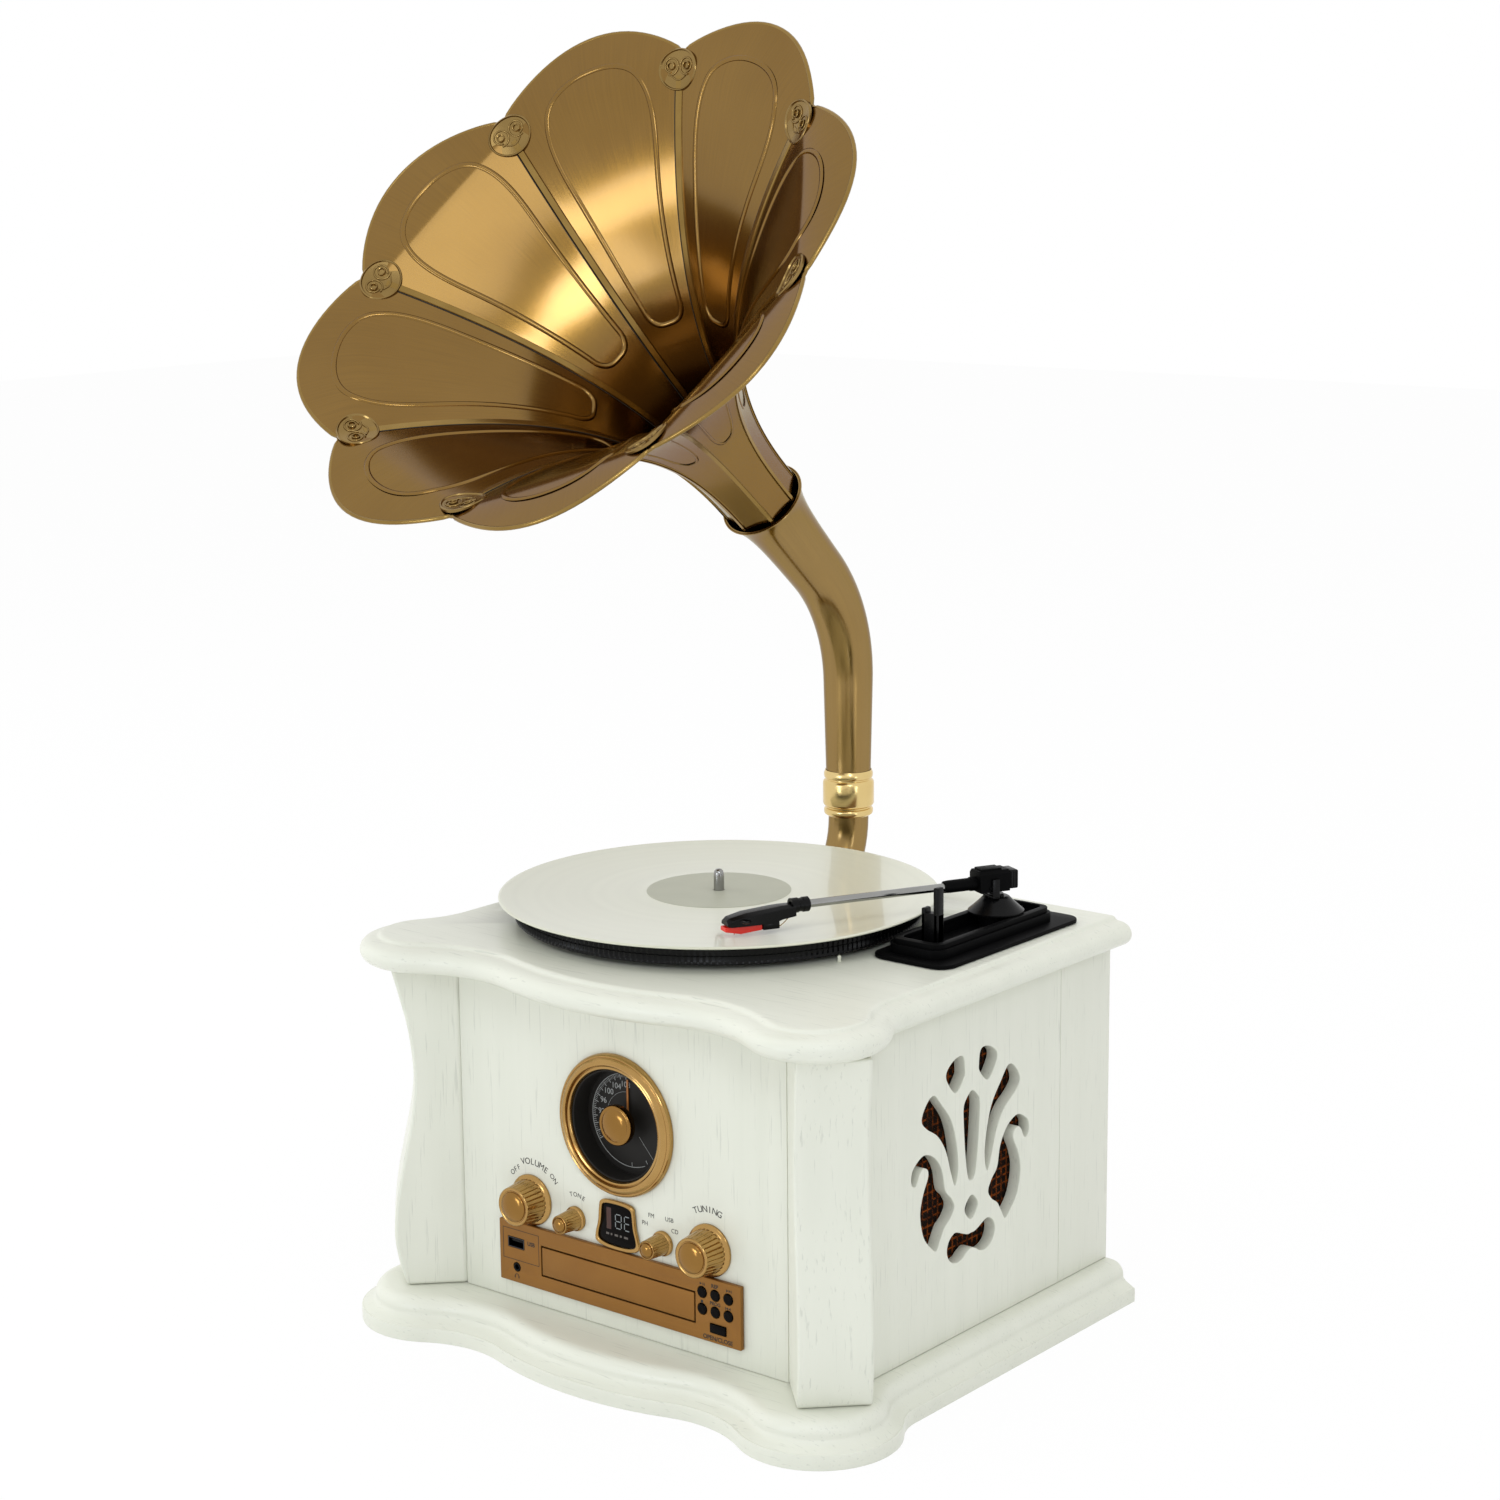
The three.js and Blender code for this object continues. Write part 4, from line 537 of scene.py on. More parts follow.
def circle(x: float, y: float, radius: float, steps: int = 48) -> list[Flat]:
    """Gives the points of a circle."""
    turns = [tau * i / steps for i in range(steps)]
    return [(x + radius * cos(a), y + radius * sin(a)) for a in turns]


def rectangle(left: float, right: float, low: float, high: float, corner: float = 0) -> list[Flat]:
    """Gives the points of a rectangle with round corners.

    Args:
        left: its left side.
        right: its right side.
        low: its foot.
        high: its top.
        corner: the radius of its corners.

    Returns:
        Its points, anticlockwise.
    """
    if not corner:
        return [(left, low), (right, low), (right, high), (left, high)]
    centres = [(right - corner, high - corner, 0), (left + corner, high - corner, 90),
        (left + corner, low + corner, 180), (right - corner, low + corner, 270)]
    points = []
    for x, y, start in centres:
        for step in range(7):
            angle = radians(start + step * 15)
            points.append((x + corner * cos(angle), y + corner * sin(angle)))
    return points


def faced(piece: Piece, axis: Vector) -> Piece:
    """Stores how far each face of a piece looks along an axis, which the brass of the bell reads to lay its painted
    shade.

    Args:
        piece: the placed piece.
        axis: the direction that counts as towards the mouth.

    Returns:
        The same piece.
    """
    facing = piece.data.attributes.new(name=MOUTHWARD, type="FLOAT", domain="FACE")
    facing.data.foreach_set("value", [max(0.0, face.normal.dot(axis)) for face in piece.data.polygons])
    return piece


@dataclass(frozen=True)
class Finish:
    """A material with the slot that it fills."""

    material: Material
    slot: Slot


def dressed(piece: Piece, finish: Finish, *nodes: str, body: str = "cabinet", slot: Optional[Slot] = None) -> Piece:
    """Gives a piece its finish and its body, and hides the CAD nodes that it stands for.

    Args:
        piece: the finished piece.
        finish: its material and slot.
        *nodes: the CAD nodes that it replaces.
        body: the body it moves with.
        slot: not used.

    Returns:
        The same piece.
    """
    piece.data.materials.clear()
    piece.data.materials.append(finish.material)
    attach(piece, body)
    if nodes:
        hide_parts(*nodes)
    return piece


# Materials


def srgb(code: str) -> Colour:
    """Turns an sRGB hex value into a linear colour.

    Args:
        code: the value, as # and six figures.

    Returns:
        The colour for a socket.
    """
    channels = [int(code[i:i + 2], 16) / 255 for i in (1, 3, 5)]
    linear = [c / 12.92 if c <= 0.04045 else ((c + 0.055) / 1.055) ** 2.4 for c in channels]
    return (*linear, 1.0)


def grey(level: float) -> Colour:
    """Gives a grey of a linear level."""
    return (level, level, level, 1.0)


class Nodes:
    """The nodes of one material or world, all added in one way."""

    def __init__(self, tree: bpy.types.NodeTree) -> None:
        """Empties a node tree and keeps it."""
        self.tree = tree
        tree.nodes.clear()

    def add(self, kind: str, sockets: Optional[dict] = None, out: Any = 0, stops: Sequence = (),
            **settings: Any) -> Output:
        """Adds a node with its settings and links.

        Args:
            kind: the node's type, without the words ShaderNode.
            sockets: input name or number, with a value or the output that it takes.
            out: the name or number of the output that is wanted.
            stops: position and colour of each stop of a ramp.
            **settings: the node's own settings.

        Returns:
            The node's output.
        """
        node = self.tree.nodes.new("ShaderNode" + kind)
        for key, value in settings.items():
            setattr(node, key, value)
        for key, value in (sockets or {}).items():
            if isinstance(value, bpy.types.NodeSocket):
                self.tree.links.new(value, node.inputs[key])
            else:
                node.inputs[key].default_value = value
        if stops:
            ramp = node.color_ramp
            for element, (position, colour) in zip(ramp.elements, (stops[0], stops[-1])):
                element.position, element.color = position, colour
            for position, colour in stops[1:-1]:
                ramp.elements.new(position).color = colour
        return node.outputs[out] if node.outputs else None


class Graph(Nodes):
    """The nodes of one material, with its shader ready."""

    def __init__(self, name: str, **sockets: Any) -> None:
        """Starts a material.

        Args:
            name: the material's name.
            **sockets: values of the shader's sockets, with _ for a space.
        """
        self.material = bpy.data.materials.new(name)
        self.material.use_nodes = True
        super().__init__(self.material.node_tree)
        values = {key.replace("_", " "): value for key, value in sockets.items()}
        self.surface = self.add("BsdfPrincipled", values)
        self.add("OutputMaterial", {"Surface": self.surface})

    def set(self, **links: Output) -> Material:
        """Links outputs to the shader's sockets and gives the material.

        Args:
            **links: the output for each socket, with _ for a space.

        Returns:
            The material.
        """
        for key, output in links.items():
            self.tree.links.new(output, self.surface.node.inputs[key.replace("_", " ")])
        return self.material


@dataclass(frozen=True)
class PaintedWood:
    """Satin white lacquer sprayed over open-grained veneer: soft gloss, fine pores and a faint shadow in them.

    A real pore is about 0.2 mm wide. It is drawn 1.7 mm wide, as coarse as it needs to show.
    """

    grain: Grain
    paint: str = "#dfe0d3"
    shade: str = "#d6d8ca"
    pore: str = "#cccec1"
    pore_width: float = 1.7
    figures_per_metre: float = 60.0

    def material(self) -> Material:
        """Builds the material.

        Returns:
            The material.
        """
        graph = Graph(f"white_lacquer_{self.grain.name.lower()}", Roughness=0.36, Coat_Weight=0.12, Coat_Roughness=0.2)
        add = graph.add
        place = add("TexCoord", out="Object")
        along = add("Mapping", {0: place, 3: self.grain.value})
        pores = add("TexNoise", {"Vector": along, "Scale": 1 / (self.pore_width * MM),
            "Detail": 3.0, "Roughness": 0.55})
        open_pore = add("ValToRGB", {0: pores}, stops=[(0.3, grey(1)), (0.39, grey(0))])
        figure = add("TexNoise", {"Vector": along, "Scale": self.figures_per_metre, "Detail": 4.0})
        coat = add("Mix", {0: figure, 6: srgb(self.shade), 7: srgb(self.paint)}, 2, data_type="RGBA")
        colour = add("Mix", {0: open_pore, 6: coat, 7: srgb(self.pore)}, 2, data_type="RGBA")
        bump = add("Bump", {"Height": pores, "Strength": 0.12, "Distance": 0.3 * MM})
        return graph.set(Base_Color=colour, Normal=bump)


@dataclass(frozen=True)
class BrushedBrass:
    """Brushed and lacquered antique brass: streaks along the sheet, warm highlights, and a painted brown shade where
    the bell is deep.

    The brush leaves lines of about 0.1 mm. They are drawn 1 mm wide or more, as coarse as they need to show.
    The painted shade lies inside the bell alone, where the attribute says that the sheet looks towards the mouth, and
    darkens towards the throat.
    """

    name: str
    throat: tuple[float, float, float] = (0.0, 0.0, 0.0)
    axis: tuple[float, float, float] = (0.0, 0.0, 0.0)
    # The colour of the painted shade inside the bell, darkest at the throat.
    deep: str = "#241202"
    body: str = "#7b5a1d"
    bright: str = "#8b692b"
    edge: str = "#b4a56c"
    roughness: float = 0.16
    streaks: float = 900.0
    along: float = 6.0
    relief: float = 0.12
    clouds_per_metre: float = 14.0

    def material(self) -> Material:
        """Builds the material.

        Returns:
            The material.
        """
        graph = Graph(self.name, Metallic=1.0, Coat_Weight=0.6, Coat_Roughness=0.12, Specular_Tint=srgb(self.edge))
        add = graph.add
        lay = add("TexCoord", out="UV")
        place = add("TexCoord", out="Object")
        stretched = add("Mapping", {0: lay, 3: (self.streaks, self.along, 1.0)})
        streak = add("TexNoise", {"Vector": stretched, "Scale": 1.0, "Detail": 4.0, "Roughness": 0.6})
        cloud = add("TexNoise", {"Vector": place, "Scale": self.clouds_per_metre, "Detail": 3.0})
        from_throat = add("VectorMath", {0: place, 1: self.throat}, operation="SUBTRACT")
        share = add("VectorMath", {0: from_throat, 1: self.axis}, operation="DOT_PRODUCT", out="Value")
        sheet = add("Mix", {0: cloud, 6: srgb(self.body), 7: srgb(self.bright)}, 2, data_type="RGBA")
        # Painted shade: the inner faces darken from the middle of the bell down into the throat.
        depth = add("ValToRGB", {0: share}, stops=[(0.1, grey(1)), (0.62, grey(0))])
        facing = add("Attribute", attribute_name=MOUTHWARD, out="Fac")
        inside = add("MapRange", {0: facing, 1: 0.0, 2: 0.04})
        shaded = add("Math", {0: depth, 1: inside}, operation="MULTIPLY")
        sheet_with_painted_shade = add("Mix", {0: shaded, 6: sheet, 7: srgb(self.deep)}, 2, data_type="RGBA")
        fade = add("MapRange", {0: streak, 3: 0.82, 4: 1.12})
        colour = add("Mix", {0: 1.0, 6: sheet_with_painted_shade, 7: fade}, 2, data_type="RGBA", blend_type="MULTIPLY")
        rough = add("MapRange", {0: streak, 3: self.roughness - 0.06, 4: self.roughness + 0.08})
        bump = add("Bump", {"Height": streak, "Strength": self.relief, "Distance": 0.1 * MM})
        return graph.set(Base_Color=colour, Roughness=rough, Normal=bump)


@dataclass(frozen=True)
class SatinCoat:
    """A metal, plastic, paint or paper with a fine even texture and slight clouding.

    The texture is the width of one grain of the surface in millimetres, from the mould, the grit or the fibres.
    """

    name: str
    colour: str
    shade: str
    metallic: float
    roughness: float
    texture: float
    relief: float
    specular: float = 0.5
    clouds_per_metre: float = 45.0

    def material(self) -> Material:
        """Builds the material.

        Returns:
            The material.
        """
        graph = Graph(self.name, Metallic=self.metallic, Specular_IOR_Level=self.specular)
        add = graph.add
        place = add("TexCoord", out="Object")
        cloud = add("TexNoise", {"Vector": place, "Scale": self.clouds_per_metre, "Detail": 3.0})
        fine = add("TexNoise", {"Vector": place, "Scale": 1 / (self.texture * MM), "Detail": 2.0})
        colour = add("Mix", {0: cloud, 6: srgb(self.shade), 7: srgb(self.colour)}, 2, data_type="RGBA")
        rough = add("MapRange", {0: fine, 3: self.roughness - 0.06, 4: self.roughness + 0.06})
        bump = add("Bump", {"Height": fine, "Strength": self.relief, "Distance": 0.1 * MM})
        return graph.set(Base_Color=colour, Roughness=rough, Normal=bump)


@dataclass(frozen=True)
class PressedVinyl:
    """Pressed white vinyl: glossy, with bands of fine grooves about the spindle.

    Real grooves lie about 0.1 mm apart. They are drawn 0.9 mm apart, as coarse as they need to show.
    """

    centre: Flat
    colour: str = "#d7d8c4"
    shade: str = "#cecfbc"
    groove: float = 0.9
    bands_per_metre: float = 90.0

    def material(self) -> Material:
        """Builds the material.

        Returns:
            The material.
        """
        graph = Graph("pressed_white_vinyl", Roughness=0.3, Coat_Weight=0.42, Coat_Roughness=0.03)
        add = graph.add
        place = add("TexCoord", out="Object")
        spot = (-self.centre[0] * MM, -self.centre[1] * MM, 0.0)
        centred = add("Mapping", {0: place, 1: spot, 3: (1.0, 1.0, 0.0)})
        radius = add("VectorMath", {0: centred}, operation="LENGTH", out="Value")
        turns = add("Math", {0: radius, 1: tau / (self.groove * MM)}, operation="MULTIPLY")
        groove = add("Math", {0: turns}, operation="SINE")
        bands = add("TexNoise", {"W": radius, "Scale": self.bands_per_metre, "Detail": 1.0},
            noise_dimensions="1D")
        tone = add("Mix", {0: bands, 6: srgb(self.shade), 7: srgb(self.colour)}, 2, data_type="RGBA")
        bump = add("Bump", {"Height": groove, "Strength": 0.06, "Distance": 0.1 * MM})
        return graph.set(Base_Color=tone, Normal=bump)


@dataclass(frozen=True)
class BasketWeave:
    """Loudspeaker cloth: a fine near-black basket weave with a broken check of orange threads, and painted shade
    between the strands.

    The real threads lie about 0.6 mm apart. They are drawn 1.3 mm apart, as coarse as they need to show.
    """

    pitch: float = 1.3
    check: float = 5.6
    patch: float = 3.92
    dark: str = "#160c06"
    orange: str = "#93460f"

    def material(self) -> Material:
        """Builds the material.

        Returns:
            The material.
        """
        graph = Graph("basket_weave_cloth", Roughness=0.9, Specular_IOR_Level=0.1)
        add = graph.add
        place = add("TexCoord", out="Object")

        def wave(axis: int, width: float) -> Output:
            """Adds a sine wave that crosses zero at every width.

            Args:
                axis: the number of the axis it runs along.
                width: the width of one strand in millimetres.

            Returns:
                The wave's value.
            """
            turns = add("Math", {0: add("SeparateXYZ", {0: place}, out=axis), 1: pi / (width * MM)},
                operation="MULTIPLY")
            return add("Math", {0: turns}, operation="SINE")

        waves = [wave(axis, self.pitch) for axis in (1, 2)]
        over = add("Math", {0: waves[0], 1: waves[1]}, operation="MULTIPLY")
        warp, weft = [add("Math", {0: bow}, operation="ABSOLUTE") for bow in waves]
        up = add("Math", {0: over, 1: 0.0}, operation="GREATER_THAN")
        height = add("Mix", {0: up, 2: warp, 3: weft}, data_type="FLOAT")
        checks = [add("Math", {0: wave(axis, self.check)}, operation="ABSOLUTE") for axis in (1, 2)]
        line = add("Math", {0: checks[0], 1: checks[1]}, operation="MINIMUM")
        drawn = add("ValToRGB", {0: line}, stops=[(0.3, grey(1)), (0.46, grey(0))])
        patch = add("TexNoise", {"Vector": place, "Scale": 1 / (self.patch * MM), "Detail": 2.0})
        lit = add("ValToRGB", {0: patch}, stops=[(0.4, grey(0.05)), (0.62, grey(0.9))])
        orange = add("Math", {0: lit, 1: drawn}, operation="MULTIPLY")
        thread = add("Mix", {0: orange, 6: srgb(self.dark), 7: srgb(self.orange)}, 2, data_type="RGBA")
        # Painted shade: the weave goes near black where each strand dips beside its neighbour.
        painted_strand_shade = add("ValToRGB", {0: height}, stops=[(0.1, grey(0.06)), (0.55, grey(1))])
        colour = add("Mix", {0: 1.0, 6: thread, 7: painted_strand_shade}, 2, data_type="RGBA", blend_type="MULTIPLY")
        bump = add("Bump", {"Height": height, "Strength": 0.8, "Distance": 0.8 * MM})
        return graph.set(Base_Color=colour, Normal=bump)


@dataclass(frozen=True)
class LitSegment:
    """A printed or back-lit mark behind dark plastic, dim and even, with the grain of a thin ink; on a printed mark the
    dim glow is painted light.
    """

    name: str
    colour: str
    glow: float
    grains_per_metre: float = 3000.0

    def material(self) -> Material:
        """Builds the material.

        Returns:
            The material.
        """
        graph = Graph(self.name, Base_Color=srgb(self.colour), Roughness=0.5, Emission_Color=srgb(self.colour),
            Emission_Strength=self.glow)
        add = graph.add
        place = add("TexCoord", out="Object")
        fine = add("TexNoise", {"Vector": place, "Scale": self.grains_per_metre})
        bump = add("Bump", {"Height": fine, "Strength": 0.05, "Distance": 0.05 * MM})
        return graph.set(Normal=bump)


class Finishes:
    """All the finishes, each made once. The numbers of a coat are metallic, roughness, texture, relief, specular."""

    def __init__(self) -> None:
        """Builds the materials."""
        # Lacquered veneer: the same soft white, with its pores upright on the panels and along the boards.
        self.upright = Finish(PaintedWood(Grain.UPRIGHT).material(), Slot.WOOD)
        self.lying = Finish(PaintedWood(Grain.ALONG_FRONT).material(), Slot.WOOD)
        # Drawn and lacquered brass tube: long soft streaks down the pipe and a clear warm shine.
        tube = BrushedBrass("brushed_brass_pipe", body="#8c6e36", bright="#9a7c44", streaks=120, along=3, roughness=0.2,
            relief=0.03)
        self.pipe = Finish(tube.material(), Slot.BRASS)

        def coat(slot: Slot, name: str, colour: str, shade: str, *numbers: float) -> Finish:
            """Builds one coat."""
            return Finish(SatinCoat(name, colour, shade, *numbers).material(), slot)

        # Pressed brass strip: an even warm glint, a little darker in its clouds.
        self.trim = coat(Slot.BRASS, "brass_trim", "#a1854d", "#816533", 1.0, 0.22, 0.5, 0.08)
        # Stamped and aged brass: the same glint, duller than the sheet round it.
        self.clip = coat(Slot.BRASS, "antique_brass_clip", "#9c8150", "#80683c", 1.0, 0.22, 0.5, 0.08)
        # Turned and polished brass: pale yellow with sharp rings of light; the pale colour is partly the polished
        # brass's own and partly a painted reflection of the lamps in front.
        self.collar = coat(Slot.BRASS, "bright_brass_collar_painted_reflection", "#e6cc90", "#d4b878", 1.0, 0.2, 0.5, 0.05)
        # Bronze vacuum metallising on moulded ABS: nearly as sharp as metal, with a brown cast.
        self.bronze = coat(Slot.BRONZE, "bronze_coat", "#b8945a", "#a4804a", 0.95, 0.15, 0.3, 0.03)
        # Brushed and anodised aluminium: an even satin copper brown without clear reflections.
        self.plate = coat(Slot.BRONZE, "bronze_anodised_plate", "#93672e", "#875c28", 0.7, 0.42, 0.25, 0.12)
        # Polished bronze-coloured metal: a smooth cap with one round highlight.
        self.polished = coat(Slot.BRONZE, "polished_bronze_cap", "#9c7640", "#8a6532", 1.0, 0.17, 0.6, 0.02)
        # Moulded black ABS: near black with soft narrow highlights.
        self.black = coat(Slot.BLACK, "moulded_black_abs", "#0b0b0c", "#070707", 0.0, 0.26, 0.5, 0.1, 0.14)
        # Spark-eroded black ABS: a grain that breaks up the light and keeps the base dark.
        self.grained = coat(Slot.BLACK, "grained_black_abs", "#0a0a0b", "#060606", 0.0, 0.42, 0.9, 0.3, 0.03)
        # Polished black acrylic: a clear dark window and keys with a hard small gloss.
        self.gloss = coat(Slot.BLACK, "polished_black_acrylic", "#0d0a08", "#080605", 0.0, 0.1, 0.6, 0.02, 0.05)
        # Black silk-screened tinplate: a flat warm black behind the scale.
        self.face = coat(Slot.BLACK, "dial_black", "#24221f", "#1a1816", 0.0, 0.5, 0.4, 0.05, 0.2)
        # Screen-printed inks: thin, matt and even.
        self.ink = coat(Slot.WOOD, "printed_grey_ink", "#2a2a26", "#22221f", 0.0, 0.6, 0.3, 0.02)
        self.dark_ink = coat(Slot.BRONZE, "printed_dark_ink", "#1e130a", "#160e07", 0.0, 0.6, 0.3, 0.02)
        self.scale_ink = coat(Slot.BLACK, "dial_scale_ink", "#a5a7a4", "#8f918e", 0.0, 0.6, 0.3, 0.02)
        # Ground and polished steel: a bright neutral mirror with a slight haze.
        self.chrome = coat(Slot.CHROME, "polished_steel", "#a2a2a0", "#8c8c8a", 1.0, 0.16, 0.6, 0.02)
        # Plain zinc-plated steel: a dull dark grey for screws and the parts inside.
        self.steel = coat(Slot.STEEL, "plain_steel", "#55565a", "#45464a", 1.0, 0.3, 0.4, 0.1)
        self.vinyl = Finish(PressedVinyl(SPINDLE).material(), Slot.VINYL)
        # Uncoated label paper: a flat pale grey with a trace of fibre.
        self.paper = coat(Slot.VINYL, "grey_label_paper", "#b9baa8", "#aeb09e", 0.0, 0.5, 0.4, 0.06)
        self.cloth = Finish(BasketWeave().material(), Slot.CLOTH)
        # Bare medium-density fibreboard: a mottled brown felted surface without gloss.
        self.fibre = coat(Slot.BLACK, "bare_fibreboard", "#8a6a45", "#74573a", 0.0, 0.8, 0.8, 0.6)
        # Pressed paper pulp of a speaker cone: rough dark grey.
        self.cone = coat(Slot.BLACK, "paper_cone", "#26262a", "#1b1b1e", 0.0, 0.8, 0.7, 0.5)
        # Solder-masked glass laminate: a half-gloss green.
        self.laminate = coat(Slot.BLACK, "green_laminate", "#1f5c38", "#184a2d", 0.0, 0.4, 0.5, 0.1)
        # Moulded neoprene: a dead black without highlights.
        self.rubber = coat(Slot.BLACK, "belt_rubber", "#141414", "#0d0d0d", 0.0, 0.7, 0.4, 0.3)
        # Moulded red ABS: a bright clean red with a soft gloss.
        self.red = coat(Slot.RED, "moulded_red_abs", "#ea2412", "#d61c0c", 0.0, 0.3, 0.5, 0.05)
        # Marks with a dim glow, so that they read in the dark of the dial and the window: back-lit in the display's
        # window, painted light on the dial's pointer.
        self.pointer = Finish(LitSegment("orange_pointer", "#a8682a", 0.05).material(), Slot.BRONZE)
        self.digit = Finish(LitSegment("grey_digit", "#7c8282", 0.04).material(), Slot.WINDOW)
        self.bar = Finish(LitSegment("dim_red_bar", "#3a1c14", 0.03).material(), Slot.WINDOW)
        self.mark = Finish(LitSegment("dim_mark", "#56504a", 0.03).material(), Slot.WINDOW)


@dataclass
class Assembly:
    """A sub-assembly, which dresses its pieces with the shared finishes."""

    finishes: Finishes


# Horn


@dataclass
class Bell(Assembly):
    """The petalled bell: eight sheets seamed together, with pressed outlines, a rolled rim and riveted clips."""

    throat: float = 28.6
    taper: float = 3.6
    insert: float = 6.0
    mouth: float = 182.0
    depth: float = 253.5
    power: float = 2.5
    lip: float = 14.0
    lip_gain: float = 49.0
    notch: float = 4.5
    fullness: float = 0.75
    crown: float = 2.0
    sheet: float = 1.2
    petals: int = 8
    columns: int = 26
    foot_y: float = 0.0
    foot_z: float = 0.0
    tilt: float = 40.6
    roll: float = 2.3
    rim_radius: float = 1.5
    tongue_inner: float = 62.0
    tongue_outer: float = 203.0
    tongue_half: Flat = (0.27, 0.39)
    clip_length: float = 33.0
    clip_width: float = 29.0
    clip_over: float = 2.6
    clip_bend: float = 1.6

    def place(self) -> Matrix:
        """Gives the bell's place on the elbow's mouth.

        Returns:
            The matrix of the place.
        """
        lean = radians(self.tilt)
        y = self.foot_y - self.depth * cos(lean)
        z = self.foot_z + self.depth * sin(lean)
        return HORN_GROUP @ moved(0, y, z) @ turn_about("X", 90 - self.tilt) @ turn_about("Z", self.roll)

    def radius(self, depth: float) -> float:
        """Gives the seam radius at a depth behind the clips, the lip having negative depths.

        Args:
            depth: the depth behind the clips.

        Returns:
            The radius at a seam.
        """
        slope = self.power * (self.mouth - self.throat) / self.depth
        if depth < 0:
            out = -depth / self.lip
            return self.mouth + slope * self.lip * out + (self.lip_gain - slope * self.lip) * out ** 2
        if depth > self.depth:
            return self.throat - self.taper * (depth - self.depth) / self.insert
        return self.throat + (self.mouth - self.throat) * (1 - depth / self.depth) ** self.power

    def depth_at(self, turn: float, run: float) -> float:
        """Gives the depth for a run of 0 at the neck, 1 at the clips and 2 at the rim.

        Args:
            turn: the place round the bell, a petal being 1.
            run: the place along the sheet.

        Returns:
            The depth behind the clips.
        """
        if run <= 1:
            return (self.depth + self.insert) * (1 - run)
        from_seam = 1 - abs((turn % 1) * 2 - 1)
        reach = self.notch + (self.lip - self.notch) * sin(pi / 2 * from_seam) ** self.fullness
        return -reach * (run - 1)

    def at(self, turn: float, run: float) -> Vector:
        """Gives a point of the sheet's outer face, with the seams at whole turns.

        Args:
            turn: the place round the bell, a petal being 1.
            run: the place along the sheet.

        Returns:
            The point.
        """
        depth = self.depth_at(turn, run)
        from_seam = 1 - abs((turn % 1) * 2 - 1)
        half = pi / self.petals
        radius = self.radius(depth)
        chord = radius * cos(half) / cos(half * (1 - from_seam))
        chord += self.crown * sin(pi / 2 * from_seam) * radius / self.mouth
        angle = turn * 2 * half
        return Vector((chord * cos(angle), chord * sin(angle), -depth))

    def above(self, turn: float, run: float, height: float) -> Vector:
        """Gives a point above the inner face, or below the outer one for a negative height.

        Args:
            turn: the place round the bell.
            run: the place along the sheet.
            height: how far it stands off.

        Returns:
            The point.
        """
        step = 0.004
        across = self.at(turn + step, run) - self.at(turn - step, run)
        along = self.at(turn, run + step) - self.at(turn, run - step)
        inward = -across.cross(along).normalized()
        return self.at(turn, run) + inward * (height + (self.sheet if height > 0 else 0))

    def run_for(self, turn: float, radius: float) -> float:
        """Finds the run at which the seam radius is a given one.

        Args:
            turn: the place round the bell.
            radius: the seam radius to find.

        Returns:
            The run.
        """
        low, high = 0.0, 2.0
        for _ in range(30):
            middle = (low + high) / 2
            if self.radius(self.depth_at(turn, middle)) < radius:
                low = middle
            else:
                high = middle
        return (low + high) / 2

    def petal_sheet(self) -> Piece:
        """Forms the eight petals as one sheet with a wall.

        Returns:
            The sheet.
        """
        runs = [(i / 64) ** 0.8 for i in range(65)] + [1 + i / 8 for i in range(1, 9)]
        count = self.petals * self.columns
        rows = [[self.at(i / self.columns, run) for i in range(count)] for run in runs]
        sheet = lofted("horn_petals", rows)
        return smoothed(modify(sheet, "SOLIDIFY", thickness=self.sheet * MM, offset=-1), 18)

    def rim(self) -> Piece:
        """Rolls a wire edge round the petals.

        Returns:
            The wire.
        """
        count = self.petals * self.columns
        points = [self.at(i / self.columns, 2.0) for i in range(count)]
        return wire("rolled_rim", points, self.rim_radius, closed=True)

    def seam(self, side: int, width: float, height: float) -> Piece:
        """Lays the flat lap over one seam.

        Args:
            side: 1 for the inner face, -1 for the outer.
            width: the lap's width.
            height: how far it stands out.

        Returns:
            A strip that runs from the neck to the clips.
        """
        rows = []
        for i in range(49):
            run = 0.02 + 0.97 * i / 48
            half = width / 2 * self.petals / (tau * self.radius(self.depth_at(0, run)))
            low = [self.above(half * share, run, 0.01 * side) for share in (-1, -0.85, 0.85, 1)]
            high = [self.above(half * share, run, height * side) for share in (-0.85, 0.85)]
            foot = [self.above(half * share, run, -0.3 * side) for share in (0.5, -0.5)]
            rows.append([low[0], *high, low[3], *foot])
        return welded(lofted("seam", rows, closed=True, capped=True))

    def painted_lap_shadow(self) -> Piece:
        """Draws the painted shadow in the narrow gap beside the lap of one seam, as a thin dark wire.

        Returns:
            The thin dark line of painted shadow.
        """
        points = []
        for i in range(60):
            run = 0.05 + 0.93 * i / 59
            turn = 3.4 * self.petals / (tau * self.radius(self.depth_at(0, run)))
            points.append(self.above(turn, run, 0.02))
        return wire("painted_lap_shadow", points, 0.42)

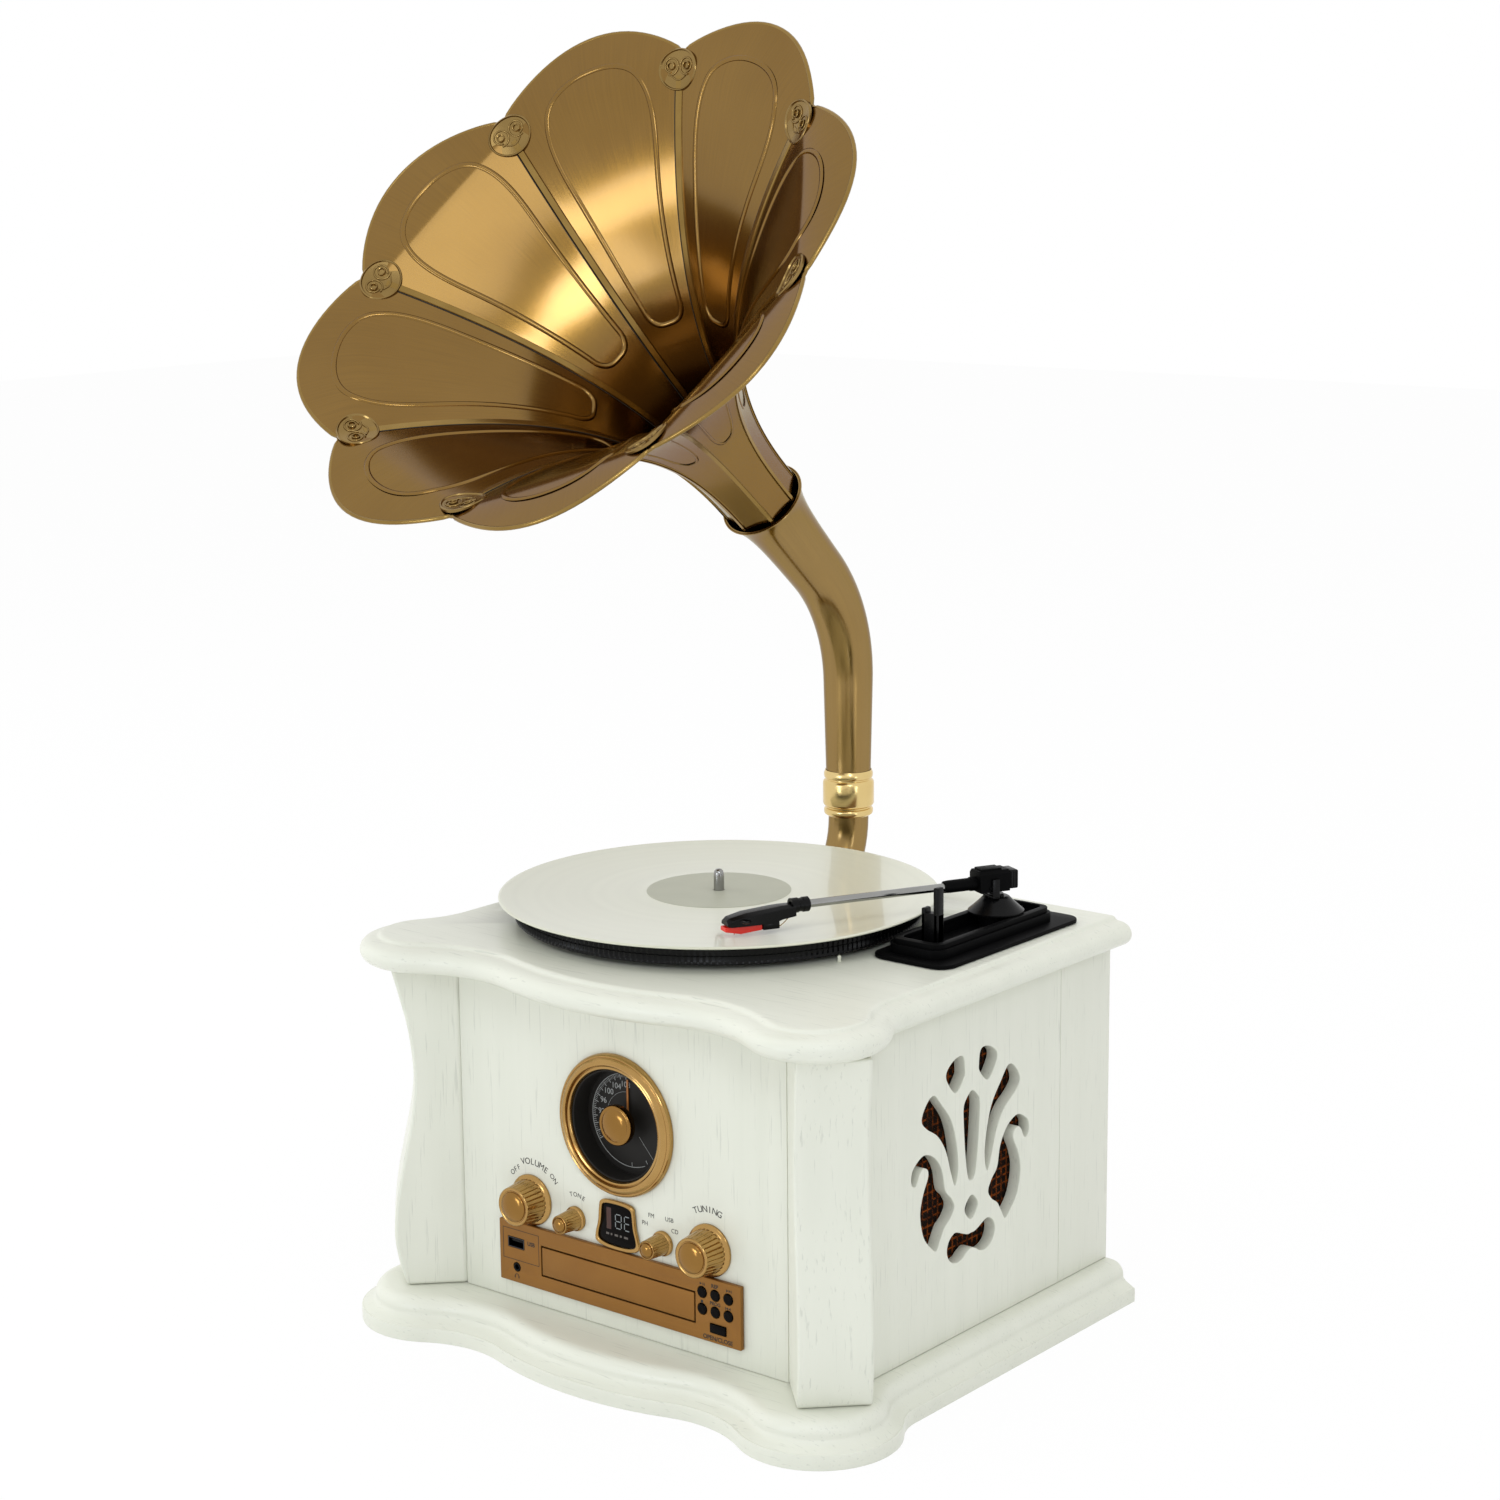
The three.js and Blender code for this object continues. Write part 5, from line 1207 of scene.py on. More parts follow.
    def tongue(self, side: int, inner: float, width: float, proud: float) -> Piece:
        """Raises the pressed outline of one petal: a long tongue with a round outer end.

        Args:
            side: 1 for the inner face, -1 for the outer.
            inner: the seam radius at its inner end.
            width: the width of its edge.
            proud: how far it stands out of the sheet.

        Returns:
            The bead round the tongue, its foot inside the sheet.
        """
        left, right = [], []
        for i in range(81):
            share = (1 - cos(pi * i / 80)) / 2
            run = self.run_for(0.5, inner + (self.tongue_outer - inner) * share)
            blunt = min(1.0, share / 0.045)
            tip = max(0.0, (share - 0.5) / 0.5)
            half = self.tongue_half[0] + (self.tongue_half[1] - self.tongue_half[0]) * share
            reach = half * sqrt(1 - (1 - blunt) ** 2) ** 0.62 * (1 - tip ** 2.4) ** (1 / 2.1)
            for line, sign in ((left, -1), (right, 1)):
                turn = 0.5 + sign * reach
                place = self.above(turn, self.run_for(turn, self.radius(self.depth_at(0.5, run))), 0.01 * side)
                line.append((place, (self.above(turn, 0.9, 5.0 * side) - self.above(turn, 0.9,
                    0.01 * side)).normalized()))
        outline = left + right[-2:0:-1]
        profile = ((-0.5, -0.3), (-0.38, 0.5), (-0.16, 1.0), (0.16, 1.0), (0.38, 0.5), (0.5, -0.3), (0.3, -0.6),
            (-0.3, -0.6))
        rows = []
        for i, (place, outward) in enumerate(outline):
            ahead = outline[(i + 1) % len(outline)][0] - outline[i - 1][0]
            across = ahead.cross(outward).normalized()
            rows.append([place + across * width * u + outward * h * (proud if h > 0 else 1.0) for u, h in profile])
        return smoothed(welded(lofted("tongue", [*rows, rows[0]])), 40)

    def clip(self, side: int) -> Piece:
        """Presses one clip: a round plate folded over the seam, with two rivets and a scroll round each.

        Args:
            side: 1 for the inner face, -1 for the outer.

        Returns:
            The plate with its rivets.
        """
        foot, notch = self.at(0, 1.0), self.at(0, 2.0)
        along_seam = (notch - self.at(0, self.run_for(0, self.radius(18.0)))).normalized()
        across_seam = Vector((0, 1, 0))
        inward = along_seam.cross(across_seam)
        inward *= -copysign(1.0, inward.x)
        beside = self.at(12 * self.petals / (tau * self.radius(0)), 1.0) - foot
        rise = max(0.05, beside.dot(inward) / 12)
        middle = notch + along_seam * (self.clip_over - self.clip_width / 2)

        def on_clip(across: float, along: float, height: float) -> Vector:
            """Gives a point of the plate, which bends softly over the fold of the seam."""
            lift = hypot(rise * across, self.clip_bend) + (self.sheet if side > 0 else -self.clip_bend)
            return middle + across_seam * across + along_seam * along + inward * (lift + height * side)

        def ringed(x: float, radius: float, height: float, steps: int) -> Ring:
            """Gives a ring of points on the plate."""
            turns = [tau * i / steps for i in range(steps)]
            return [on_clip(x + radius * cos(a), 2.5 + radius * sin(a), height) for a in turns]

        half_long, half_wide = self.clip_length / 2, self.clip_width / 2
        plate = [
            [on_clip(half_long * share * cos(a), half_wide * share * sin(a), height)
             for a in [tau * i / 48 for i in range(48)]]
            for share, height in ((0.97, -0.6), (1.0, -0.2), (1.0, 1.0), (0.97, 1.6), (0.93, 1.7), (0.89, 0.8),
                                  (0.6, 0.8), (0.3, 0.8), (0.02, 0.8))
        ]
        parts = [lofted("clip_plate", plate, closed=True, capped=True)]
        for sign in (-1, 1):
            scroll = []
            for i in range(48):
                angle = -pi / 2 + sign * tau * 1.05 * i / 47
                reach = 4.4 + 1.9 * i / 47
                scroll.append(on_clip(sign * 6.6 + reach * cos(angle), 2.5 + reach * sin(angle), 0.9))
            parts.append(wire("scroll", scroll, 0.7))
            hollow = [ringed(sign * 6.6, radius, height, 16)
                for radius, height in ((3.1, 0.4), (3.0, 1.9), (2.6, 2.3), (2.1, 2.1), (1.8, 0.9), (0.1, 0.9))]
            parts.append(lofted("rivet", hollow, closed=True, capped=True))
        curl = [on_clip(x, -5.6 - 1.6 * cos(x / 2.6), 0.9) for x in [i * 0.5 - 6 for i in range(25)]]
        parts.append(wire("curl", curl, 0.6))
        return joined("clip", parts)

    def build(self) -> None:
        """Builds and dresses the bell."""
        place = self.place()
        # The throat and the axis tell the brass where its painted shade darkens the bell.
        axis = place.to_3x3() @ Vector((0, 0, 1))
        throat = place @ Vector((0, 0, -self.depth * MM))
        sheet = BrushedBrass("brushed_brass_bell", tuple(throat), tuple(axis / (self.depth * MM)))
        brass = Finish(sheet.material(), Slot.BRASS)
        dressed(faced(placed(self.petal_sheet(), place), axis), brass, "horn", body="horn_unit")
        dressed(placed(self.rim(), place), self.finishes.trim, body="horn_unit")
        repeated = {
            "horn_seams": ([self.seam(1, 6.0, 1.0), self.seam(-1, 1.8, 1.1)], self.finishes.trim),
            # The dark wire beside each lap is painted shadow, in the dark ink finish.
            "horn_painted_lap_shadows": ([self.painted_lap_shadow()], self.finishes.dark_ink),
            "horn_tongues": ([self.tongue(1, self.tongue_inner, 4.4, 1.1), self.tongue(-1, 42.0, 2.6, 0.6)], brass),
            "horn_clips": ([self.clip(1), self.clip(-1)], self.finishes.clip),
        }
        for name, (firsts, finish) in repeated.items():
            first = joined(name, firsts)
            copies = [copied(first, name, turn_about("Z", 360 / self.petals * i)) for i in range(1, self.petals)]
            dressed(faced(placed(joined(name, [first, *copies]), place), axis), finish, body="horn_unit",
                slot=Slot.BRASS)


@dataclass
class SwanNeck(Assembly):
    """The pipe from the cabinet to the bell: lower pipe, collar, elbow and wall flange."""

    exit_height: float = 222.0
    rear: float = 150.0
    bend: float = 68.0
    pipe_radius: float = 15.2
    collar_foot: float = 292.0
    collar_height: float = 35.0
    collar_radius: float = 19.4
    seat: float = 19.7
    elbow_bend: float = 120.0
    elbow_slope: float = 43.0
    elbow_corner: float = 448.4
    mouth_run: float = 84.9
    end_radius: float = 16.65
    mouth_radius: float = 31.3
    swell: float = 6.4
    flare_length: float = 18.0
    wall: float = 1.5
    screw_circle: float = 21.0

    def stations(self) -> list[Flat]:
        """Gives the elbow's path as points in its own plane.

        Returns:
            The points, from the collar to the mouth.
        """
        turn = radians(90 - self.elbow_slope)
        start = self.collar_foot + self.seat + LIFT
        foot = self.elbow_corner - self.elbow_bend * tan(turn / 2)
        path = [(0.0, start + (foot - start) * i / 12) for i in range(12)]
        for i in range(25):
            angle = turn * i / 24
            path.append((-self.elbow_bend * (1 - cos(angle)), foot + self.elbow_bend * sin(angle)))
        y, z = path[-1]
        slope = radians(self.elbow_slope)
        for i in range(1, 25):
            run = self.mouth_run * i / 24
            path.append((y - run * cos(slope), z + run * sin(slope)))
        return path

    @staticmethod
    def piped(name: str, path: Sequence[Flat], radii: Sequence[float], wall: float) -> Piece:
        """Draws a pipe along a path.

        Args:
            name: the pipe's name.
            path: points in its plane.
            radii: its outer radius at each.
            wall: the thickness of its wall.

        Returns:
            The pipe.
        """
        rows = []
        for i, ((y, z), radius) in enumerate(zip(path, radii)):
            before, after = path[max(i - 1, 0)], path[min(i + 1, len(path) - 1)]
            along = Vector((0, after[0] - before[0], after[1] - before[1])).normalized()
            side = Vector((0, -along.z, along.y))
            ring = [tau * k / 56 for k in range(56)]
            rows.append([Vector((0, y, z)) + Vector((radius * cos(a), 0, 0)) + side * radius * sin(a)
                for a in ring])
        pipe = welded(lofted(name, rows))
        return smoothed(modify(pipe, "SOLIDIFY", thickness=wall * MM, offset=-1), 40)

    def build(self) -> Flat:
        """Builds and dresses the pipes.

        Returns:
            Where the elbow's mouth is, in its plane.
        """
        path = self.stations()
        runs = [0.0]
        for (ay, az), (by, bz) in zip(path, path[1:]):
            runs.append(runs[-1] + hypot(by - ay, bz - az))
        flare = self.mouth_radius - self.end_radius - self.swell
        radii = [self.end_radius + self.swell * run / runs[-1] + flare * exp((run - runs[-1]) / self.flare_length)
            for run in runs]
        elbow = self.piped("horn_neck", path, radii, self.wall)
        slope = radians(self.elbow_slope)
        rim = turned("neck_rim", [(self.mouth_radius + 0.7 * cos(a), 0.7 * sin(a))
            for a in [tau * i / 8 for i in range(8)]], 56, ring=True)
        placed(rim, moved(0, path[-1][0], path[-1][1]) @ turn_about("X", 90 - degrees(slope)))
        neck = placed(joined("horn_neck", [elbow, rim]), HORN_GROUP)
        dressed(neck, self.finishes.pipe, "horn_elbow", body="horn_unit")
        self.build_lower()
        return path[-1]

    def build_lower(self) -> None:
        """Builds the lower pipe, the collar and the wall flange."""
        top = self.collar_foot + self.seat - LIFT
        foot = self.exit_height + self.bend
        path = [(0.0, top - (top - foot) * i / 4) for i in range(4)]
        for i in range(17):
            angle = pi / 2 * i / 16
            path.append((-self.bend * (1 - cos(angle)), foot - self.bend * sin(angle)))
        path.append((self.rear + 2 * LIFT - PIPE[1], self.exit_height))
        lower = self.piped("lower_pipe_bend", path[::-1], [self.pipe_radius] * len(path), self.wall)
        placed(lower, moved(*PIPE, 0))
        dressed(lower, self.finishes.pipe, "lower_pipe")
        r, low, tall = self.collar_radius, self.collar_foot, self.collar_height
        outline = [(15.6, 0), (16.6, 0), (17.2, 0.6), (18.2, 1.2), (18.6, 2.2), (18.6, 4.6), (18.1, 5.4), (17.0, 5.9),
            (17.0, 6.8), (18.0, 7.4), (18.9, 8.2), (r, 9.4), (r, 25.0), (19.1, 26.2), (18.3, 27.2),
            (17.5, 27.9), (17.5, 28.8), (18.3, 29.4), (18.6, 30.6), (18.6, 32.6), (18.1, 33.8), (17.6, tall),
            (17.35, tall), (17.35, self.seat), (15.6, self.seat)]
        collar = turned("ringed_collar", outline, 64, ring=True)
        placed(collar, moved(*PIPE, low))
        dressed(collar, self.finishes.collar, "pipe_collar")
        flange = turned("wall_flange", [(15.5, 0), (24, 0), (24, 2.6), (23.4, 3.6), (22.4, 4), (19.8, 4.2), (18.6, 5),
            (18.1, 6.6), (18.1, 11), (17.6, 12), (15.5, 12)], 56, ring=True)
        first = turned("screw", [(0, 4.9), (1.2, 4.8), (2.2, 4.3), (2.4, 3.9), (0, 3.8)], 16)
        placed(first, moved(0, self.screw_circle, 0))
        high, side = 1.5 * self.screw_circle, cos(radians(30)) * self.screw_circle
        heads = [first, *(copied(first, "screw", moved(x, -high, 0)) for x in (-side, side))]
        whole = joined("wall_flange", [flange, *heads])
        placed(whole, moved(PIPE[0], self.rear + LIFT, self.exit_height) @ turn_about("X", -90))
        dressed(whole, self.finishes.trim, "pipe_flange")


# Cabinet


@dataclass
class Cabinet(Assembly):
    """The white wooden cabinet: moulded plinth and top, swelling corner posts, pierced sides and the front panel."""

    half_width: float = 180.0
    front: float = 159.0
    rear: float = 150.0
    side: float = 9.0
    post_front_x: float = 141.2
    post_side_y: float = 130.3
    post_swell: float = 20.9
    outline_half: float = 203.8
    bow_front: float = 211.2
    bow_radius: float = 240.0
    cove_radius: float = 77.0
    cove_x: float = 98.0
    lobe_radius: float = 54.0
    lobe_x: float = 166.0
    side_cove: float = 35.0
    panel_foot: float = 27.3
    panel_top: float = 252.7
    fret_height: float = 140.0
    fret_foot: float = 77.5
    fret_middle: float = 14.5
    board_joint: float = 88.6
    joint_width: float = 0.5
    cloth_size: float = 152.0
    cloth_x: float = 170.3
    cloth_corner: Flat = (-90.5, 71.5)

    def outline(self, inset: float) -> list[Flat]:
        """Gives the bowed plan outline that the plinth and top share.

        Args:
            inset: how far it is drawn in.

        Returns:
            Its points, anticlockwise from the right rear corner by way of the front.
        """
        bow_y = self.bow_radius - self.bow_front
        cove_y = bow_y - sqrt((self.bow_radius + self.cove_radius) ** 2 - self.cove_x ** 2)
        lobe_y = cove_y + sqrt((self.cove_radius + self.lobe_radius) ** 2 - (self.lobe_x - self.cove_x) ** 2)
        side_x = self.outline_half + self.side_cove
        side_y = lobe_y + sqrt((self.lobe_radius + self.side_cove) ** 2 - (side_x - self.lobe_x) ** 2)
        to_side = atan2(side_y - lobe_y, side_x - self.lobe_x)
        to_cove = atan2(cove_y - lobe_y, self.cove_x - self.lobe_x)
        to_bow = atan2(bow_y - cove_y, -self.cove_x)

        def arc(x: float, y: float, radius: float, start: float, end: float, steps: int) -> list[Flat]:
            """Gives the points of an arc."""
            return [(x + radius * cos(start + (end - start) * i / steps),
                y + radius * sin(start + (end - start) * i / steps)) for i in range(1, steps + 1)]

        half = [(self.outline_half - inset, self.rear), (self.outline_half - inset, side_y)]
        half += arc(side_x, side_y, self.side_cove + inset, pi, pi + to_side, 10)
        half += arc(self.lobe_x, lobe_y, self.lobe_radius - inset, to_side, to_cove, 26)
        half += arc(self.cove_x, cove_y, self.cove_radius + inset, to_cove + pi, to_bow, 18)
        half += arc(0, bow_y, self.bow_radius - inset, to_bow - pi, -pi / 2, 16)
        return half + [(-x, y) for x, y in half[-2::-1]]

    def moulded(self, name: str, profile: Sequence[Flat]) -> Piece:
        """Runs a moulding round the outline.

        Args:
            name: the piece's name.
            profile: inset and height of its points.

        Returns:
            The moulded slab.
        """
        rows = [[Vector((x, y, z)) for x, y in self.outline(inset)] for inset, z in profile]
        return smoothed(lofted(name, rows, closed=True, capped=True), 30)

    def build_plinth(self) -> None:
        """Moulds the plinth."""
        lower = smooth_run([(0.6, 0), (0, 0.8), (0, 9.2), (1.2, 10.2), (3.6, 11.6), (7.2, 13.6), (9.2, 15.6),
            (9.6, 17)], 4)
        upper = smooth_run([(9.6, 17), (9.8, 19.6), (11.0, 22.6), (13.6, 25.2), (17.2, 26.6), (22, 27)], 4)
        plinth = self.moulded("moulded_plinth", lower + upper[1:])
        opening = block("opening", (-160, -139, -5), (160, 130, 40), 0)
        dressed(carved(plinth, opening), self.finishes.lying, "plinth")

    def build_top(self) -> None:
        """Moulds the top board."""
        lower = smooth_run([(24, 253), (19, 253.6), (14.6, 254.7), (11.6, 256), (8.8, 258.4), (7.3, 261.2),
            (7.1, 264.4), (8.4, 267.6), (10.8, 269.8)], 4)
        upper = smooth_run([(10.8, 269.8), (13.6, 270.9), (16.4, 271.4), (18.4, 271.7), (19.7, 272.3), (20.9, 273.6),
            (22.4, 274.2), (24, 274.3)], 4)
        board = self.moulded("moulded_top", lower + upper[1:])
        bearing = turned("bearing_cut", [(0, 240), (11, 240), (11, 290), (0, 290)], 32)
        motor = turned("motor_cut", [(0, 240), (21, 240), (21, 290), (0, 290)], 32)
        placed(bearing, DECK)
        placed(motor, moved(*MOTOR, 0))
        dressed(carved(board, bearing, motor), self.finishes.lying, "top_board")

    def post_ring(self, share: float) -> Ring:
        """Gives the corner post's outline at a share of its height.

        Args:
            share: the height, from 0 at the foot to 1 at the top.

        Returns:
            The points of the ring.
        """
        table = [(0, 0.646), (0.071, 0.866), (0.168, 1), (0.296, 0.856), (0.42, 0.584),
            (0.549, 0.311), (0.668, 0.22), (0.801, 0.354), (0.898, 0.584), (1, 0.861)]
        run = smooth_run(table, 8)
        low = max(i for i, point in enumerate(run[:-1]) if point[0] <= share + 1e-9)
        (a, from_a), (b, from_b) = run[low], run[low + 1]
        swell = from_a + (from_b - from_a) * (share - a) / (b - a)
        z = self.panel_foot + share * (self.panel_top - self.panel_foot)
        face = self.half_width + self.front + self.post_swell * swell * sqrt(2)

        def outward(x: float, y: float) -> Flat:
            """Runs from a panel's edge out to the post's face."""
            run_out = (face - (x + y)) / 2
            return x + run_out, y + run_out

        corners = [(self.post_front_x, self.front), outward(self.post_front_x, self.front),
            outward(self.half_width, self.post_side_y), (self.half_width, self.post_side_y),
            (self.half_width - self.side, self.post_side_y), (self.half_width - self.side, self.front - 12),
            (self.post_front_x, self.front - 12)]
        return [Vector((x, -y, z)) for x, y in corners]

    def build_posts(self) -> None:
        """Shapes the two corner posts."""
        right = lofted("post_right", [self.post_ring(i / 44) for i in range(45)], closed=True, capped=True)
        smoothed(rounded(right, 2.2, 3, 40), 40)
        left = copied(right, "post_left", Matrix.Scale(-1, 4, (1, 0, 0)))
        welded(left)
        dressed(right, self.finishes.upright, "corner_post_right")
        dressed(left, self.finishes.upright, "corner_post_left")

    def fret_loops(self) -> list[list[Flat]]:
        """Gives the holes of the fretwork, drawn as shares of its height from its middle line.

        Returns:
            The outlines of the holes, in millimetres.
        """
        petal = [(0.057, 0.925), (0.068, 0.986), (0.104, 1), (0.161, 0.982), (0.204, 0.943), (0.193, 0.896),
            (0.129, 0.832), (0.064, 0.889)]
        leaf = [(0.3, 0.861), (0.357, 0.836), (0.396, 0.768), (0.357, 0.718), (0.271, 0.661), (0.207, 0.575),
            (0.164, 0.454), (0.131, 0.385), (0.107, 0.461), (0.121, 0.582), (0.163, 0.704), (0.236, 0.796)]
        stem = [(0, 0.811), (0.043, 0.782), (0.064, 0.746), (0.064, 0.682), (0.05, 0.518), (0.029, 0.4), (0, 0.375)]
        volute = [(0.464, 0.471), (0.477, 0.511), (0.457, 0.556), (0.379, 0.596), (0.293, 0.561), (0.236, 0.482),
            (0.211, 0.382), (0.164, 0.332), (0.138, 0.282), (0.168, 0.236), (0.214, 0.204), (0.25, 0.15),
            (0.279, 0.109), (0.321, 0.136), (0.379, 0.204), (0.406, 0.314), (0.386, 0.404), (0.346, 0.481),
            (0.349, 0.521), (0.386, 0.536), (0.414, 0.511), (0.436, 0.471)]
        bow = [(0, 0.116), (0.036, 0.118), (0.114, 0.149), (0.146, 0.148), (0.179, 0.125), (0.195, 0.086),
            (0.186, 0.046), (0.157, 0.016), (0.114, 0.002), (0.071, 0.009), (0.039, 0.029), (0, 0.042)]
        seed = [(0, 0.302), (0.054, 0.243), (0, 0.184)]
        loops = [table + [(-x, y) for x, y in table[-2:0:-1]] for table in (stem, bow, seed)]
        for table in (petal, leaf, volute):
            loops += [table, [(-x, y) for x, y in table]]
        size, middle, foot = self.fret_height, self.fret_middle, self.fret_foot
        drawn = [[(x * size - middle, foot + y * size) for x, y in loop] for loop in loops]
        return [smooth_run(loop, 5, closed=True) for loop in drawn]

    def build_sides(self) -> None:
        """Saws the pierced sides and stretches the cloth behind them."""
        outline = rectangle(LIFT - self.post_side_y, self.rear, self.panel_foot, self.panel_top)
        right = sawn("pierced_side_right", [outline, *self.fret_loops()], self.side, 0.6)
        placed(right, SIDEWAYS)
        left = copied(right, "pierced_side_left", moved(-self.half_width, 0, 0))
        placed(right, moved(self.half_width - self.side, 0, 0))
        joint, end = self.board_joint, self.board_joint + self.joint_width
        for panel, face in ((right, self.half_width), (left, -self.half_width)):
            carved(panel, block("groove", (face - 0.5, joint, 0), (face + 0.5, end, 300), 0))
        dressed(right, self.finishes.upright, "side_panel_right")
        dressed(left, self.finishes.upright, "side_panel_left")
        size, (y, z) = self.cloth_size, self.cloth_corner
        for name, x in (("right", self.cloth_x), ("left", -self.cloth_x)):
            rows = [[Vector((x, y + size * i / 40, z + size * k / 40)) for i in range(41)] for k in range(41)]
            cloth = lofted(f"speaker_cloth_{name}", rows, closed=False)
            dressed(cloth, self.finishes.cloth, f"grille_cloth_{name}")

    def build_front(self) -> None:
        """Saws the front panel with the openings for the dial, the display and the drawer."""
        half = self.post_front_x - LIFT
        loops = [rectangle(-half, half, self.panel_foot, self.panel_top), circle(0, DIAL_HEIGHT, 43.0, 64),
            rectangle(-12, 12, 89, 113), rectangle(-100.8, 100.8, 45.2, 79.2)]
        loops += [circle(KNOBS[control][0], KNOBS[control][1], 5.2, 20)
            for control in ("volume", "tuning", "tone", "function")]
        panel = placed(sawn("front_board", loops, 12, 0.4), FRONT @ moved(0, 0, -12))
        dressed(panel, self.finishes.upright, "front_panel")

    def build_back(self) -> None:
        """Screws down the back board."""
        screws = []
        for x in (-160, -52, 52, 160):
            for z in (38, 242):
                head = turned("screw", [(0, 1.3), (1.6, 1.2), (3.0, 0.7), (3.4, 0), (0, 0)], 20)
                cross = block("slot", (-2.2, -0.35, 0.8), (2.2, 0.35, 2.0), 0)
                screws.append(placed(carved(head, cross), moved(x, self.rear + 0.1, z) @ turn_about("X", -90)))
        dressed(joined("back_screws", screws), self.finishes.steel)

    def build(self) -> None:
        """Builds and dresses the cabinet."""
        self.build_plinth()
        self.build_top()
        self.build_posts()
        self.build_sides()
        self.build_front()
        self.build_back()


# Front controls


@dataclass
class Knob(Assembly):
    """A fluted bronze knob with a bead and a polished domed cap."""

    control: str
    flange: float
    radius: float
    nose: float
    depth: float
    flutes: int
    press: float = 0.05
    sharpness: float = 8
    shaft_radius: float = 3.0
    shaft_end: float = -21.7

    def build(self) -> None:
        """Builds and dresses the knob."""
        low, high = 0.16 * self.depth, 0.86 * self.depth
        nose, deep, name = self.nose, self.depth, f"{self.control}_knob"
        seat = FRONT @ moved(*KNOBS[self.control], 0)

        def flute(co: Vector) -> float:
            """Presses the flutes into the grip.

            Args:
                co: a point of the knob.

            Returns:
                The factor for its radius.
            """
            z = co.z / MM
            if not low < z < high:
                return 1.0
            wave = 0.5 - 0.5 * cos(self.flutes * atan2(co.y, co.x))
            return 1 - self.press * (1 - wave) ** self.sharpness

        grip = [(self.radius + (nose - self.radius) * i / 8, low + (high - low) * (i + 0.02) / 8.04) for i in range(9)]
        outline = [(2, LIFT), (self.flange, LIFT), (self.flange, 0.08 * deep), (self.flange * 0.97, 0.11 * deep),
            (self.radius * 1.04, 0.13 * deep), (self.radius, 0.15 * deep), *grip, (nose, 0.88 * deep),
            (nose * 0.98, 0.91 * deep), (nose * 0.93, 0.93 * deep), (nose * 0.87, 0.925 * deep),
            (nose * 0.82, 0.9 * deep), (2, 0.88 * deep)]
        body = turned(f"{name}_grip", outline, self.flutes * 10, ring=True, shape=flute)
        reach = self.shaft_radius
        shaft = turned("shaft", [(0, self.shaft_end), (reach, self.shaft_end), (reach, 1), (0, 1)], 24)
        whole = placed(joined(f"{name}_grip", [body, shaft]), seat)
        dressed(whole, self.finishes.bronze, name, body=self.control)
        dome = [(nose * 0.79 * cos(a), deep * (0.89 + 0.16 * sin(a)))
            for a in [pi / 2 * i / 10 for i in range(11)]]
        cap = turned(f"{name}_cap", [(0, 0.86 * deep), (nose * 0.79, 0.86 * deep), *dome], 64)
        dressed(placed(cap, seat), self.finishes.polished, body=self.control)


